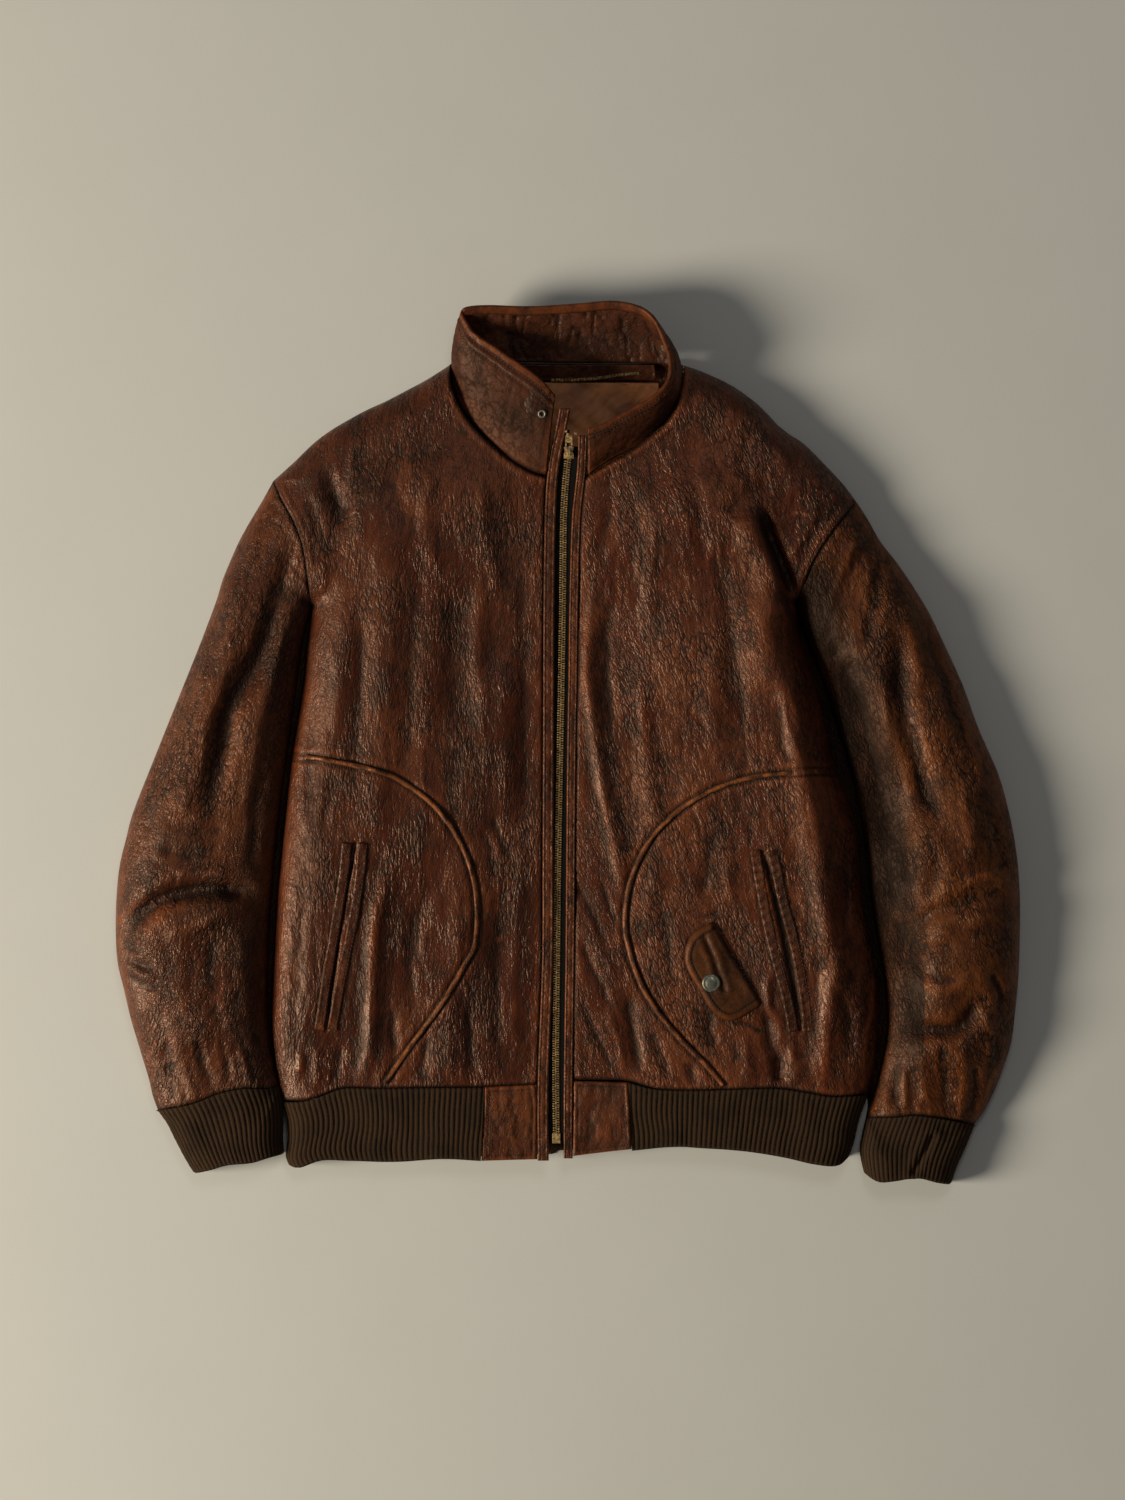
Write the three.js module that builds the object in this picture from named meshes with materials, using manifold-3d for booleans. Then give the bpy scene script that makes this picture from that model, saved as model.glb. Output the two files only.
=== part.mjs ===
// A worn leather jacket laid flat on a table, front up, zip closed, sleeves at its sides.
// Millimetres. +X is the wearer's left, +Y runs from hem to collar, +Z up. The table is z = 0.
// Every cloth piece is a thin wall: its outer face is a plan patch raised to one shared height
// field (crowns, rolled edges and the big folds), its inner face the same set back by the wall.
import * as THREE from 'three';
import Module from 'manifold-3d';
import { mergeVertices } from 'three/addons/utils/BufferGeometryUtils.js';

// ---- driving dimensions ----
const LEATHER = 2.0;        // wall of the body and sleeve leather
const KNIT = 2.6;           // wall of the double ribbed knit
const SEAM = 0.35;          // gap between two pieces along a seam
const EDGE_Z = 9.0;         // height at which a rolled edge is widest
const CURL = 8.0;           // how far under a rolled edge tucks before it lies flat
const ROLL_BODY = 38;       // breadth of the rounding along the body's sides
const ROLL_SHOULDER = 30;   // breadth of the rounding along the shoulders
const ROLL_SLEEVE = 46;     // breadth of the rounding along the sleeves
const CHAIN_W = 6.0;        // zip chain
const STRIP_R = 4.8, STRIP_L = 4.0;  // half widths of the two leather strips beside the zip
const TAPE = 1.0;           // zip tape
const SHIFT_X = -0.3265, SHIFT_Y = 0.15;   // puts the middle of the finished box on the origin

// ---- seam and edge lines in plan ----
const SHOULDER_R = [[-102.2,331.5],[-114.4,323.6],[-125.7,316.7],[-142.2,308.0],[-158.8,299.3],[-176.2,291.4],[
  -193.6,281.9],[-206.6,274.1],[-219.7,264.5],[-229.2,255.8],[-237.9,247.1],[-247.5,238.4],[
  -257.1,229.7]];
const SLEEVE_OUT_R = [[-257.1,229.7],[-266.7,212.3],[-277.1,194.9],[-286.7,177.5],[-294.5,160.1],[-301.5,142.7],[
  -306.7,125.3],[-319.7,90.5],[-333.6,55.7],[-347.6,20.9],[-361.5,-13.9],[-375.4,-48.7],[
  -381.5,-66.1],[-385.8,-83.5],[-390.2,-100.9],[-392.8,-118.3],[-394.5,-144.4],[-394.5,-170.5],[
  -392.8,-192.3],[-387.6,-214.0],[-381.5,-240.1],[-376.3,-257.5],[-371.1,-274.9],[-365.8,-292.3],[
  -362.4,-307.1],[-358.0,-319.3]];
const SLEEVE_IN_R = [[-223.2,120.1],[-231.9,90.5],[-237.9,47.0],[-245.8,-11.3],[-252.7,-66.1],[-258.8,-127.0],[
  -261.4,-172.3],[-262.3,-222.7],[-260.6,-257.5],[-257.1,-279.3],[-251.9,-298.4]];
const SIDE_R = [[-223.2,120.1],[-227.5,81.8],[-231.0,47.0],[-240.6,-11.3],[-246.6,-66.1],[-252.7,-127.9],[
  -255.3,-172.3],[-258.0,-222.7],[-258.0,-248.8],[-255.3,-276.7],[-252.7,-292.3],[-249.3,-310.6]];
const ARMHOLE_R = [[-257.1,229.7],[-247.9,210.8],[-238.4,194.0],[-231.0,174.2],[-227.5,154.9],[-224.9,134.0],[
  -223.2,120.1]];
const NECK_R = [[-18.3,231.9],[-28.3,234.9],[-39.6,240.1],[-55.2,250.6],[-71.3,264.9],[-87.4,283.0],[
  -97.0,300.1],[-102.2,316.7],[-102.2,331.5]];
const HEM_R = [[-21.3,-295.8],[-50.0,-297.1],[-72.6,-298.4],[-118.8,-298.8],[-164.0,-299.3],[-193.6,-299.3],[
  -211.8,-305.4],[-228.4,-310.6],[-249.3,-310.6]];
const SHOULDER_L = [[102.2,330.6],[115.3,326.2],[137.0,316.7],[150.1,308.9],[163.1,299.3],[173.6,289.7],[
  184.0,278.4],[195.3,269.7],[207.5,261.4],[229.2,239.7],[241.4,226.2],[251.9,212.3]];
const SLEEVE_OUT_L = [[251.9,212.3],[263.2,194.9],[273.6,176.6],[291.0,154.0],[312.8,120.1],[327.6,90.5],[
  345.0,52.2],[359.3,13.1],[376.3,-26.1],[385.8,-60.0],[391.9,-92.2],[394.5,-118.3],[
  395.4,-144.4],[395.0,-176.6],[393.7,-206.2],[391.1,-233.2],[387.6,-261.0],[379.8,-285.4],[
  373.7,-301.0],[365.8,-317.6],[355.4,-332.3]];
const SLEEVE_IN_L = [[199.7,122.7],[209.2,90.5],[223.2,55.7],[234.5,20.9],[245.8,-16.5],[253.6,-48.7],[
  261.4,-92.2],[265.8,-135.7],[272.7,-179.2],[278.0,-214.0],[279.7,-248.8],[275.4,-276.7],[
  269.3,-301.0],[261.4,-325.4]];
const SIDE_L = [[199.7,122.7],[203.1,90.5],[215.3,52.2],[224.9,20.0],[231.0,-16.5],[243.2,-46.1],[
  251.0,-70.5],[255.3,-107.0],[257.1,-138.3],[264.0,-176.6],[269.3,-206.2],[271.0,-225.3],[
  271.0,-252.3],[268.0,-280.1],[263.2,-304.5]];
const ARMHOLE_L = [[251.9,212.3],[233.2,187.9],[217.1,163.6],[205.8,140.1],[199.7,122.7]];
const NECK_L = [[17.0,232.3],[24.8,237.1],[33.5,242.3],[54.4,254.0],[70.0,265.4],[83.1,276.7],[92.7,291.0],[
  97.9,307.1],[102.2,330.6]];
const HEM_L = [[8.3,-292.3],[28.3,-292.3],[52.6,-293.2],[78.7,-300.1],[115.3,-301.0],[145.7,-300.1],[
  181.4,-299.3],[209.2,-302.8],[228.4,-306.2],[245.8,-306.2],[263.2,-304.5]];
const CUFF_SEAM_R = [[-358.0,-319.3],[-338.9,-315.8],[-322.3,-311.5],[-307.5,-305.4],[-294.5,-301.5],[
  -278.8,-299.3],[-264.0,-300.1],[-251.9,-298.4]];
const CUFF_END_R = [[-325.8,-375.0],[-310.2,-370.6],[-295.4,-366.3],[-275.4,-364.5],[-259.7,-360.2],[
  -247.5,-357.6]];
const CUFF_OUT_R = [[-358.0,-319.3],[-349.3,-331.5],[-342.3,-345.4],[-334.5,-360.2],[-325.8,-375.0]];
const CUFF_IN_R = [[-251.9,-298.4],[-249.3,-313.2],[-248.4,-331.5],[-248.8,-346.3],[-247.5,-357.6]];
const CUFF_SEAM_L = [[355.4,-332.3],[341.5,-328.9],[328.4,-326.2],[304.1,-322.8],[286.7,-324.5],[261.4,-325.4]];
const CUFF_END_L = [[334.5,-384.5],[322.3,-381.9],[304.1,-377.6],[284.9,-380.2],[271.0,-381.1],[259.7,-375.8]];
const CUFF_OUT_L = [[355.4,-332.3],[347.6,-351.5],[339.7,-368.9],[334.5,-384.5]];
const CUFF_IN_L = [[261.4,-325.4],[258.0,-340.2],[255.8,-355.8],[259.7,-375.8]];
const RIB_END_R = [[-75.3,-362.8],[-109.2,-361.1],[-149.2,-363.7],[-189.2,-362.8],[-213.6,-362.4],[
  -232.7,-368.9],[-242.3,-368.9]];
const RIB_SIDE_R = [[-249.3,-312.3],[-244.9,-328.0],[-244.0,-344.5],[-245.8,-360.2],[-242.3,-368.9]];
const RIB_END_L = [[56.1,-354.1],[90.9,-350.6],[115.3,-351.5],[152.7,-354.1],[186.6,-359.3],[213.6,-365.4],[
  233.6,-367.1],[244.9,-361.9]];
const RIB_SIDE_L = [[262.3,-306.2],[254.5,-327.1],[250.1,-346.3],[244.9,-361.9]];
const ZIP = [[-9.6,-347.1],[-10.2,-274.9],[-9.3,-187.9],[-8.3,-100.9],[-6.5,-5.2],[-5.3,55.7],[-4.2,125.3],[
  -3.4,194.9],[-1.3,229.7],[0.9,250.6],[2.0,264.5],[2.2,277.5]];
const PLACKET_R = [[-21.1,-362.8],[-21.3,-295.8],[-17.4,-187.9],[-17.0,-100.9],[-16.6,-5.2],[-16.4,55.7],[
  -16.1,125.3],[-15.0,194.9],[-13.1,231.4],[-8.7,259.3],[-4.3,278.4],[-2.2,290.6]];
const PLACKET_L = [[0.6,-361.1],[0.8,-292.3],[2.2,-187.9],[2.9,-100.9],[3.7,-5.2],[4.8,55.7],[5.7,125.3],[
  7.8,194.9],[11.7,231.4],[12.9,250.6],[13.5,268.0]];
const PIPING_R = [[-241.4,-11.3],[-227.5,-11.7],[-213.6,-13.1],[-186.6,-18.3],[-158.8,-25.2],[-138.8,-35.7],[
  -118.8,-50.5],[-104.0,-67.9],[-91.8,-87.9],[-83.1,-110.5],[-79.0,-133.1],[-78.5,-157.5],[
  -81.3,-177.5],[-90.9,-194.9],[-104.0,-217.5],[-121.4,-242.7],[-141.4,-269.7],[-158.8,-294.9]];
const PIPING_L = [[231.9,-24.4],[212.7,-23.8],[184.0,-25.8],[164.0,-28.3],[139.6,-34.4],[115.3,-45.2],[
  90.9,-62.6],[71.8,-83.5],[59.6,-106.1],[52.2,-130.5],[50.0,-157.5],[54.4,-181.8],[63.9,-208.8],[
  78.7,-233.2],[98.7,-257.5],[120.5,-279.3],[135.3,-296.7]];
const FLAP_L = [[125.7,-154.0],[107.0,-167.0],[101.8,-188.8],[114.2,-213.6],[126.6,-233.2],[143.6,-240.6],[
  169.2,-226.2]];
const POCKET_R = [[-184.4,-86.1],[-187.5,-118.3],[-193.6,-157.5],[-201.4,-201.0],[-209.2,-248.8]];
const POCKET_L = [[170.1,-92.2],[177.9,-133.1],[188.4,-177.5],[197.1,-215.8],[202.3,-249.7]];
const CROWN = [[-23.9,-292.3,24],[-110.9,-292.3,27],[-206.6,-296.7,26],[-23.9,-179.2,27],[-119.6,-179.2,33],[
  -215.3,-179.2,34],[-23.9,-48.7,29],[-119.6,-48.7,37],[-206.6,-48.7,38],[-23.9,81.8,31],[
  -119.6,81.8,40],[-189.2,81.8,40],[-19.6,194.9,35],[-102.2,212.3,42],[-163.1,194.9,41],[
  -215.3,212.3,34],[-128.3,281.9,33],[-206.6,255.8,30],[-232.7,221.0,32],[10.9,-292.3,24],[
  97.9,-292.3,28],[219.7,-296.7,28],[10.9,-179.2,28],[115.3,-179.2,34],[219.7,-179.2,38],[
  15.2,-48.7,31],[115.3,-48.7,40],[206.6,-48.7,44],[19.6,81.8,34],[115.3,81.8,44],[
  180.5,81.8,47],[28.3,194.9,38],[115.3,203.6,47],[63.1,247.1,38],[132.7,273.2,38],[
  202.3,238.4,36],[237.1,212.3,34],[-258.8,160.1,34],[-284.9,90.5,40],[-311.0,12.2,42],[
  -337.1,-66.1,44],[-328.4,-135.7,44],[-328.4,-222.7,40],[-306.7,-292.3,30],[-284.9,-66.1,38],[
  -284.9,-179.2,36],[254.5,160.1,36],[289.3,81.8,40],[315.4,3.5,42],[332.8,-83.5,46],[
  328.4,-170.5,46],[324.1,-248.8,42],[311.0,-318.4,30],[276.2,-48.7,34],[289.3,-179.2,36]];
const COLLAR = [[-18.3,231.9,38,-10.9,300.6,53],[-29.1,234.9,37.5,-17.0,308.0,54],[
  -43.1,241.9,36.5,-25.7,317.1,54],[-55.2,250.6,34.5,-36.1,324.9,53],[
  -68.3,261.9,32,-50.0,334.1,51],[-81.3,275.8,28,-65.7,345.0,48],[-92.7,291.4,23,-81.3,355.8,44],[
  -98.3,308.9,18,-89.2,367.1,40],[-100.0,322.8,14,-92.7,375.4,37],[
  -93.5,332.8,11.5,-86.6,379.5,36],[-74.4,334.1,10.4,-67.4,380.8,36],[
  -41.3,333.6,10.2,-32.6,379.7,37],[2.2,332.8,10.2,6.5,381.9,38],[41.3,332.8,10.2,39.6,384.2,41],[
  70.0,332.8,10.4,63.1,379.3,45],[88.3,331.5,12,76.1,368.9,50],[98.7,324.5,15.5,84.0,352.4,54],[
  98.7,309.7,20.5,90.0,332.3,58],[93.5,292.3,26,88.7,314.1,60],[81.3,274.9,30.5,76.1,299.3,60],[
  57.9,257.5,34.3,51.8,285.4,58],[35.2,244.5,36.9,30.9,274.9,56],[17.8,232.3,38,17.8,271.0,55]];
// big folds: panel, line, breadth to each side, height (+ ridge, - trough)
const FOLDS = [
  ['F',[[-211.4,242.7],[-197.1,191.4],[-216.2,157.0]],9,9,-7],
  ['F',[[-187.0,195.8],[-211.4,159.2],[-218.8,116.6]],8,8,4],
  ['F',[[-156.2,189.7],[-158.8,71.3],[-165.7,-50.5],[-170.1,-84.4]],14,14,3],
  ['F',[[-94.7,138.3],[-94.7,3.5]],16,16,-4],
  ['F',[[-54.8,82.7],[-54.8,-83.5]],12,12,2.5],
  ['F',[[-156.2,-112.2],[-166.6,-149.6],[-170.1,-200.1],[-172.7,-262.7],[-181.4,-292.3]],9,5,4],
  ['F',[[-95.3,-92.2],[-93.5,-187.9]],14,14,4],
  ['F',[[-102.2,-212.3],[-104.0,-294.9]],13,13,4],
  ['F',[[-221.4,48.7],[-222.3,4.3],[-225.8,-61.8]],6,6,-3],
  ['F',[[161.4,205.3],[164.0,186.2],[178.8,149.6],[191.0,117.5],[199.7,99.2]],5,18,6],
  ['F',[[170.1,201.0],[173.6,183.6],[188.4,148.8],[198.8,122.7]],8,6,-9],
  ['F',[[130.9,200.1],[144.4,207.1],[162.3,220.1],[182.3,227.1]],7,7,-4],
  ['F',[[151.8,198.4],[157.0,164.4]],11,11,4],
  ['F',[[167.5,131.4],[172.7,42.6]],15,15,4],
  ['F',[[196.2,64.4],[200.5,-13.1]],12,12,4],
  ['F',[[22.2,138.3],[20.1,108.8],[17.0,75.7],[17.8,49.6],[24.5,-1.7],[32.6,-48.7],[42.2,-94.0],[48.3,-133.1]],8,5,3.5],
  ['F',[[82.2,89.2],[99.6,75.7],[119.6,67.0]],6,6,-3],
  ['F',[[89.2,-1.7],[89.2,-67.9]],16,16,-3.5],
  ['F',[[51.8,-216.6],[59.6,-265.4],[63.9,-287.1]],6,6,-4],
  ['F',[[171.8,-226.2],[176.2,-257.5],[183.1,-272.3],[182.3,-300.1]],6,6,-5],
  ['F',[[240.2,-175.3],[231.0,-206.2],[226.6,-239.2],[221.4,-297.5]],9,9,4],
  ['F',[[257.1,-162.7],[237.6,-177.5],[213.2,-196.6]],6,6,-3],
  ['S',[[-238.3,183.6],[-250.5,127.9],[-270.1,74.0],[-294.5,30.4],[-301.7,-8.7],[-311.5,-57.4],[-315.4,-73.1]],10,10,-6],
  ['S',[[-270.1,191.4],[-289.3,147.0],[-309.3,74.0],[-333.6,13.1],[-345.8,-40.9]],14,14,3],
  ['S',[[-351.0,-66.1],[-295.4,-78.3]],6,6,-3],
  ['S',[[-390.2,-167.0],[-351.0,-134.0],[-290.1,-125.3],[-258.8,-139.2]],8,10,-9],
  ['S',[[-351.0,-172.3],[-315.4,-153.1],[-284.9,-141.8],[-265.8,-150.5]],9,9,4],
  ['S',[[254.5,166.2],[224.0,120.9]],7,7,-4],
  ['S',[[249.3,95.7],[226.6,80.0]],6,6,-3],
  ['S',[[215.3,103.5],[241.4,61.8],[264.9,27.0]],9,9,-5],
  ['S',[[285.8,100.9],[291.0,34.8],[302.3,-9.6],[312.8,-46.1],[327.6,-80.0]],9,9,-5],
  ['S',[[319.7,59.2],[331.0,3.5]],12,12,3],
  ['S',[[393.7,-140.1],[367.1,-129.6],[332.8,-140.1],[313.6,-149.6],[301.5,-167.9]],8,8,-6],
  ['S',[[281.4,-222.7],[275.4,-246.2],[304.1,-247.9],[338.0,-246.2],[354.5,-228.8],[367.1,-214.9]],8,8,-6],
  ['S',[[285.8,-251.4],[285.8,-318.4]],6,6,-6],
  ['S',[[366.7,-199.2],[378.9,-230.6]],6,6,-3]];

// ---- plan helpers ----
const len2 = (a, b) => Math.hypot(b[0] - a[0], b[1] - a[1]);
const lerp = (a, b, t) => a + (b - a) * t;
const mix = (p, q, t) => p.map((v, i) => lerp(v, q[i], t));
function at(poly, f) {                       // point at a fraction of the line's length
  let total = 0; for (let i = 1; i < poly.length; i++) total += len2(poly[i - 1], poly[i]);
  let s = Math.min(1, Math.max(0, f)) * total;
  for (let i = 1; i < poly.length; i++) {
    const d = len2(poly[i - 1], poly[i]);
    if (s <= d || i === poly.length - 1) return mix(poly[i - 1], poly[i], d ? Math.min(1, s / d) : 0);
    s -= d;
  }
}
const atX = (poly, y) => {                   // x of a near-vertical line at height y
  const p = [...poly].sort((a, b) => a[1] - b[1]);
  if (y <= p[0][1]) return p[0][0];
  for (let i = 1; i < p.length; i++) if (y <= p[i][1])
    return lerp(p[i - 1][0], p[i][0], (y - p[i - 1][1]) / (p[i][1] - p[i - 1][1]));
  return p[p.length - 1][0];
};
function near(x, y, poly) {                  // nearest point: distance, side, fraction
  let best = { d: 1e9 }, run = 0, total = 0;
  for (let i = 1; i < poly.length; i++) total += len2(poly[i - 1], poly[i]);
  for (let i = 1; i < poly.length; i++) {
    const [ax, ay] = poly[i - 1], [bx, by] = poly[i];
    const dx = bx - ax, dy = by - ay, L2 = dx * dx + dy * dy || 1e-9, L = Math.sqrt(L2);
    const t = Math.min(1, Math.max(0, ((x - ax) * dx + (y - ay) * dy) / L2));
    const px = ax + dx * t, py = ay + dy * t, d = Math.hypot(x - px, y - py);
    if (d < best.d) best = { d, px, py, side: Math.sign(dx * (y - ay) - dy * (x - ax)), f: (run + t * L) / total };
    run += L;
  }
  return best;
}
function coons(bottom, top, left, right, u, v) {      // all four given as functions of 0..1
  const b = bottom(u), t = top(u), l = left(v), r = right(v);
  const c00 = bottom(0), c10 = bottom(1), c01 = top(0), c11 = top(1);
  return [0, 1].map(k => (1 - v) * b[k] + v * t[k] + (1 - u) * l[k] + u * r[k]
    - ((1 - u) * (1 - v) * c00[k] + u * (1 - v) * c10[k] + (1 - u) * v * c01[k] + u * v * c11[k]));
}

// ---- the shared height field ----
const BACK_NECK = [SHOULDER_R[0], [-98, 333.4], [-60, 333], [0, 332], [60, 332], [90, 333.5], SHOULDER_L[0]];
const EDGES = [
  [SHOULDER_R, ROLL_SHOULDER, 'FSB'], [SHOULDER_L, ROLL_SHOULDER, 'FSB'],
  [SLEEVE_OUT_R, ROLL_SLEEVE, 'FSB'], [SLEEVE_OUT_L, ROLL_SLEEVE, 'FSB'],
  [SLEEVE_IN_R, ROLL_SLEEVE, 'S'], [SLEEVE_IN_L, ROLL_SLEEVE, 'S'],
  [SIDE_R, ROLL_BODY, 'FB'], [SIDE_L, ROLL_BODY, 'FB'],
  [BACK_NECK, ROLL_SHOULDER, 'B'], [RIB_SIDE_R, 26, 'FB'], [RIB_SIDE_L, 26, 'FB'],
  [CUFF_OUT_R, 24, 'S'], [CUFF_OUT_L, 24, 'S'], [CUFF_IN_R, 24, 'S'], [CUFF_IN_L, 24, 'S']];
function crown(x, y) {
  let w = 0, z = 0;
  for (const [cx, cy, cz] of CROWN) {
    const q = 1 / Math.pow((x - cx) ** 2 + (y - cy) ** 2 + 220, 1.7);
    w += q; z += q * cz;
  }
  return z / w;
}
function folds(x, y, panel) {
  let z = 0;
  for (const [p, poly, wl, wr, a] of FOLDS) {
    if (p !== panel) continue;
    const n = near(x, y, poly);
    if (n.d > 4 * Math.max(wl, wr)) continue;
    const w = n.side >= 0 ? wl : wr;
    const ends = Math.min(1, n.f / 0.18 + 0.15, (1 - n.f) / 0.18 + 0.15);
    z += a * ends * Math.exp(-((n.d / w) ** 2));
  }
  return z;
}
function edge(x, y, panel) {                 // nearest rolled edge of this panel
  let best = null;
  for (const [poly, R, who] of EDGES) {
    if (!who.includes(panel)) continue;
    const n = near(x, y, poly), q = n.d / R;
    if (!best || q < best.q) best = { ...n, R, q };
  }
  return best;
}
const dome = q => q >= 1 ? 1 : Math.sqrt(1 - (1 - q) ** 2);
function topPoint(x, y, panel) {             // outer point and outward direction of the top layer
  const e = edge(x, y, panel), g = dome(e.q);
  const c = crown(x, y) - EDGE_Z;
  const z = EDGE_Z + c * g + folds(x, y, panel) * g * g;
  let n = [0, 0, 1];
  if (e.q < 1) {
    const s = Math.max(1e-3, Math.sqrt(1 - (1 - e.q) ** 2)), slope = c * (1 - e.q) / s / e.R;
    let ex = x - e.px, ey = y - e.py, d = Math.hypot(ex, ey);
    if (d < 1e-3) { const h = inward(x, y, panel); ex = h[0]; ey = h[1]; d = 1; }
    const m = Math.hypot(slope, 1);
    n = [-ex / d * slope / m, -ey / d * slope / m, 1 / m];
  }
  return { p: [x, y, z], n };
}
const MIDS = { F: [[-125, -40], [125, -40]], S: null, B: [[0, 0]] };
const SPINE_R = [[-245, 170], [-300, 20], [-325, -110], [-312, -260], [-290, -370]];
const SPINE_L = [[265, 175], [315, 40], [345, -110], [330, -250], [300, -375]];
function inward(x, y, panel) {               // plan direction from a rolled edge into its panel
  let t;
  if (panel === 'S') t = near(x, y, x < 0 ? SPINE_R : SPINE_L);
  else t = { px: Math.max(-150, Math.min(150, x)) * 0.9, py: Math.max(-260, Math.min(180, y)) };
  const dx = t.px - x, dy = t.py - y, d = Math.hypot(dx, dy) || 1;
  return [dx / d, dy / d];
}
function underPoint(x, y, panel) {           // outer point and direction of the layer on the table
  const e = edge(x, y, panel), h = EDGE_Z - SEAM;
  if (e.d >= CURL) return { p: [x, y, 0], n: [0, 0, -1] };
  const q = e.d / CURL, s = Math.sqrt(1 - (1 - q) ** 2);
  let ex = x - e.px, ey = y - e.py, d = Math.hypot(ex, ey);
  if (d < 1e-3) { const i = inward(x, y, panel); ex = i[0]; ey = i[1]; d = 1; }
  const slope = h / CURL * (1 - q) / Math.max(1e-3, s), m = Math.hypot(slope, 1);
  return { p: [x, y, h * (1 - s)], n: [-ex / d * slope / m, -ey / d * slope / m, -1 / m] };
}
const along = (s, t) => { const a = s.p.map((v, i) => v - s.n[i] * t); return a; };

// ---- solids ----
const parts = new THREE.Group();
function add(name, tris, colour, roughness, metalness = 0) {
  const g = new THREE.BufferGeometry();
  g.setAttribute('position', new THREE.Float32BufferAttribute(tris.flat(2), 3));
  const mesh = new THREE.Mesh(mergeVertices(g, 1e-3),
    new THREE.MeshStandardMaterial({ color: colour, roughness, metalness, side: THREE.DoubleSide }));
  mesh.name = name; mesh.position.set(SHIFT_X, SHIFT_Y, 0); parts.add(mesh);
}
function volume(tris) {
  let v = 0;
  for (const [a, b, c] of tris) v += a[0] * (b[1] * c[2] - b[2] * c[1]) - a[1] * (b[0] * c[2] - b[2] * c[0]) + a[2] * (b[0] * c[1] - b[1] * c[0]);
  return v / 6;
}
function shell(outer, inner, wrap = false) { // rows x columns; wrap closes the columns into a ring
  const R = outer.length, C = outer[0].length, t = [];
  const quad = (a, b, c, d) => { t.push([a, b, c], [a, c, d]); };
  const last = wrap ? C : C - 1, nx = j => (j + 1) % C;
  for (let i = 0; i < R - 1; i++) for (let j = 0; j < last; j++) {
    quad(outer[i][j], outer[i][nx(j)], outer[i + 1][nx(j)], outer[i + 1][j]);
    quad(inner[i][j], inner[i + 1][j], inner[i + 1][nx(j)], inner[i][nx(j)]);
  }
  for (let j = 0; j < last; j++) {
    quad(outer[0][nx(j)], outer[0][j], inner[0][j], inner[0][nx(j)]);
    quad(outer[R - 1][j], outer[R - 1][nx(j)], inner[R - 1][nx(j)], inner[R - 1][j]);
  }
  if (!wrap) for (let i = 0; i < R - 1; i++) {
    quad(outer[i][0], outer[i + 1][0], inner[i + 1][0], inner[i][0]);
    quad(outer[i + 1][C - 1], outer[i][C - 1], inner[i][C - 1], inner[i + 1][C - 1]);
  }
  return volume(t) < 0 ? t.map(([a, b, c]) => [a, c, b]) : t;
}
const grid = (R, C, f) => R.map(v => C.map(u => f(u, v)));
const steps = n => Array.from({ length: n + 1 }, (_, i) => i / n);
const fromSamples = (g, t) => [g.map(r => r.map(s => s.p)), g.map(r => r.map(s => along(s, t)))];

// ---- cut lines ----
const ARM = [0, .02, .07, .16, .28, .39, .5, .61, .72, .84, .93, .98, 1];      // round the armhole, top layer
const ARM_UNDER = [0, .02, .07, .28, .5, .72, .93, .98, 1];                    // under layer: a subset
const ACROSS = [0, .1, .2, .3, .4, .5, .6, .7, .79, .87, .93, .97, .99, 1];    // zip to side seam
const zipEdge = (y, right) => right ? [atX(PLACKET_R, y) - STRIP_R - SEAM, y] : [atX(PLACKET_L, y) + STRIP_L + SEAM, y];
const sides = { R: { side: SIDE_R, arm: ARMHOLE_R, neck: NECK_R, shoulder: SHOULDER_R, hem: HEM_R },
                L: { side: SIDE_L, arm: ARMHOLE_L, neck: NECK_L, shoulder: SHOULDER_L, hem: HEM_L } };
// neck lines run from the zip to the shoulder
const inset = (p, q, s) => [p[0] + q[0] * s, p[1] + q[1] * s];
function armholeEdge(S, f, gap) {            // the armhole pulled into the body by the seam gap
  const arm = S.arm, a = at(arm, Math.max(0, f - .02)), b = at(arm, Math.min(1, f + .02));
  const d = len2(a, b), nx = (b[1] - a[1]) / d, ny = -(b[0] - a[0]) / d, p = at(arm, f);
  const s = Math.sign((0 - p[0]) * nx + (0 - p[1]) * ny) || 1;
  return [p[0] + nx * s * gap, p[1] + ny * s * gap];
}
function frontGrid(key) {
  const S = sides[key], rows = [];
  const sideUp = [...S.side].reverse();                     // hem to underarm
  const hemLine = key === 'R' ? S.hem : S.hem;              // zip to side
  const nS = 12, hemY = S.hem[0][1], neckY = S.neck[0][1], z0 = zipEdge(hemY + SEAM, key === 'R'), zN = zipEdge(neckY, key === 'R');
  const total = nS + ARM.length - 1, fr = i => i <= nS ? 0.76 * i / nS : 0.76 + 0.24 * (1 - ARM[ARM.length - 1 - (i - nS)]);
  const neckPts = key === 'R' ? [zN, ...S.neck.slice(1)] : [zN, ...S.neck.slice(1)];
  const leftAt = v => v <= 0.76 ? (() => { const y = lerp(hemY + SEAM, neckY, v / 0.76); return zipEdge(y, key === 'R'); })() : at(neckPts, (v - 0.76) / 0.24);
  const rightAt = v => v <= 0.76 ? at(sideUp, v / 0.76) : armholeEdge(S, 1 - (v - 0.76) / 0.24, SEAM);
  const c0 = leftAt(0), c1 = rightAt(0), t0 = leftAt(1), t1 = rightAt(1);
  const hem = [...S.hem]; hem[0] = c0; hem[hem.length - 1] = c1;
  const sh = [t0, ...S.shoulder.slice(1, -1), t1];
  for (let i = 0; i <= total; i++) {
    const v = fr(i);
    rows.push(ACROSS.map(u => {
      const p = coons(k => at(hem, k), k => at(sh, k), leftAt, rightAt, u, v);
      return topPoint(p[0], p[1], 'F');
    }));
  }
  return rows;
}

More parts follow.
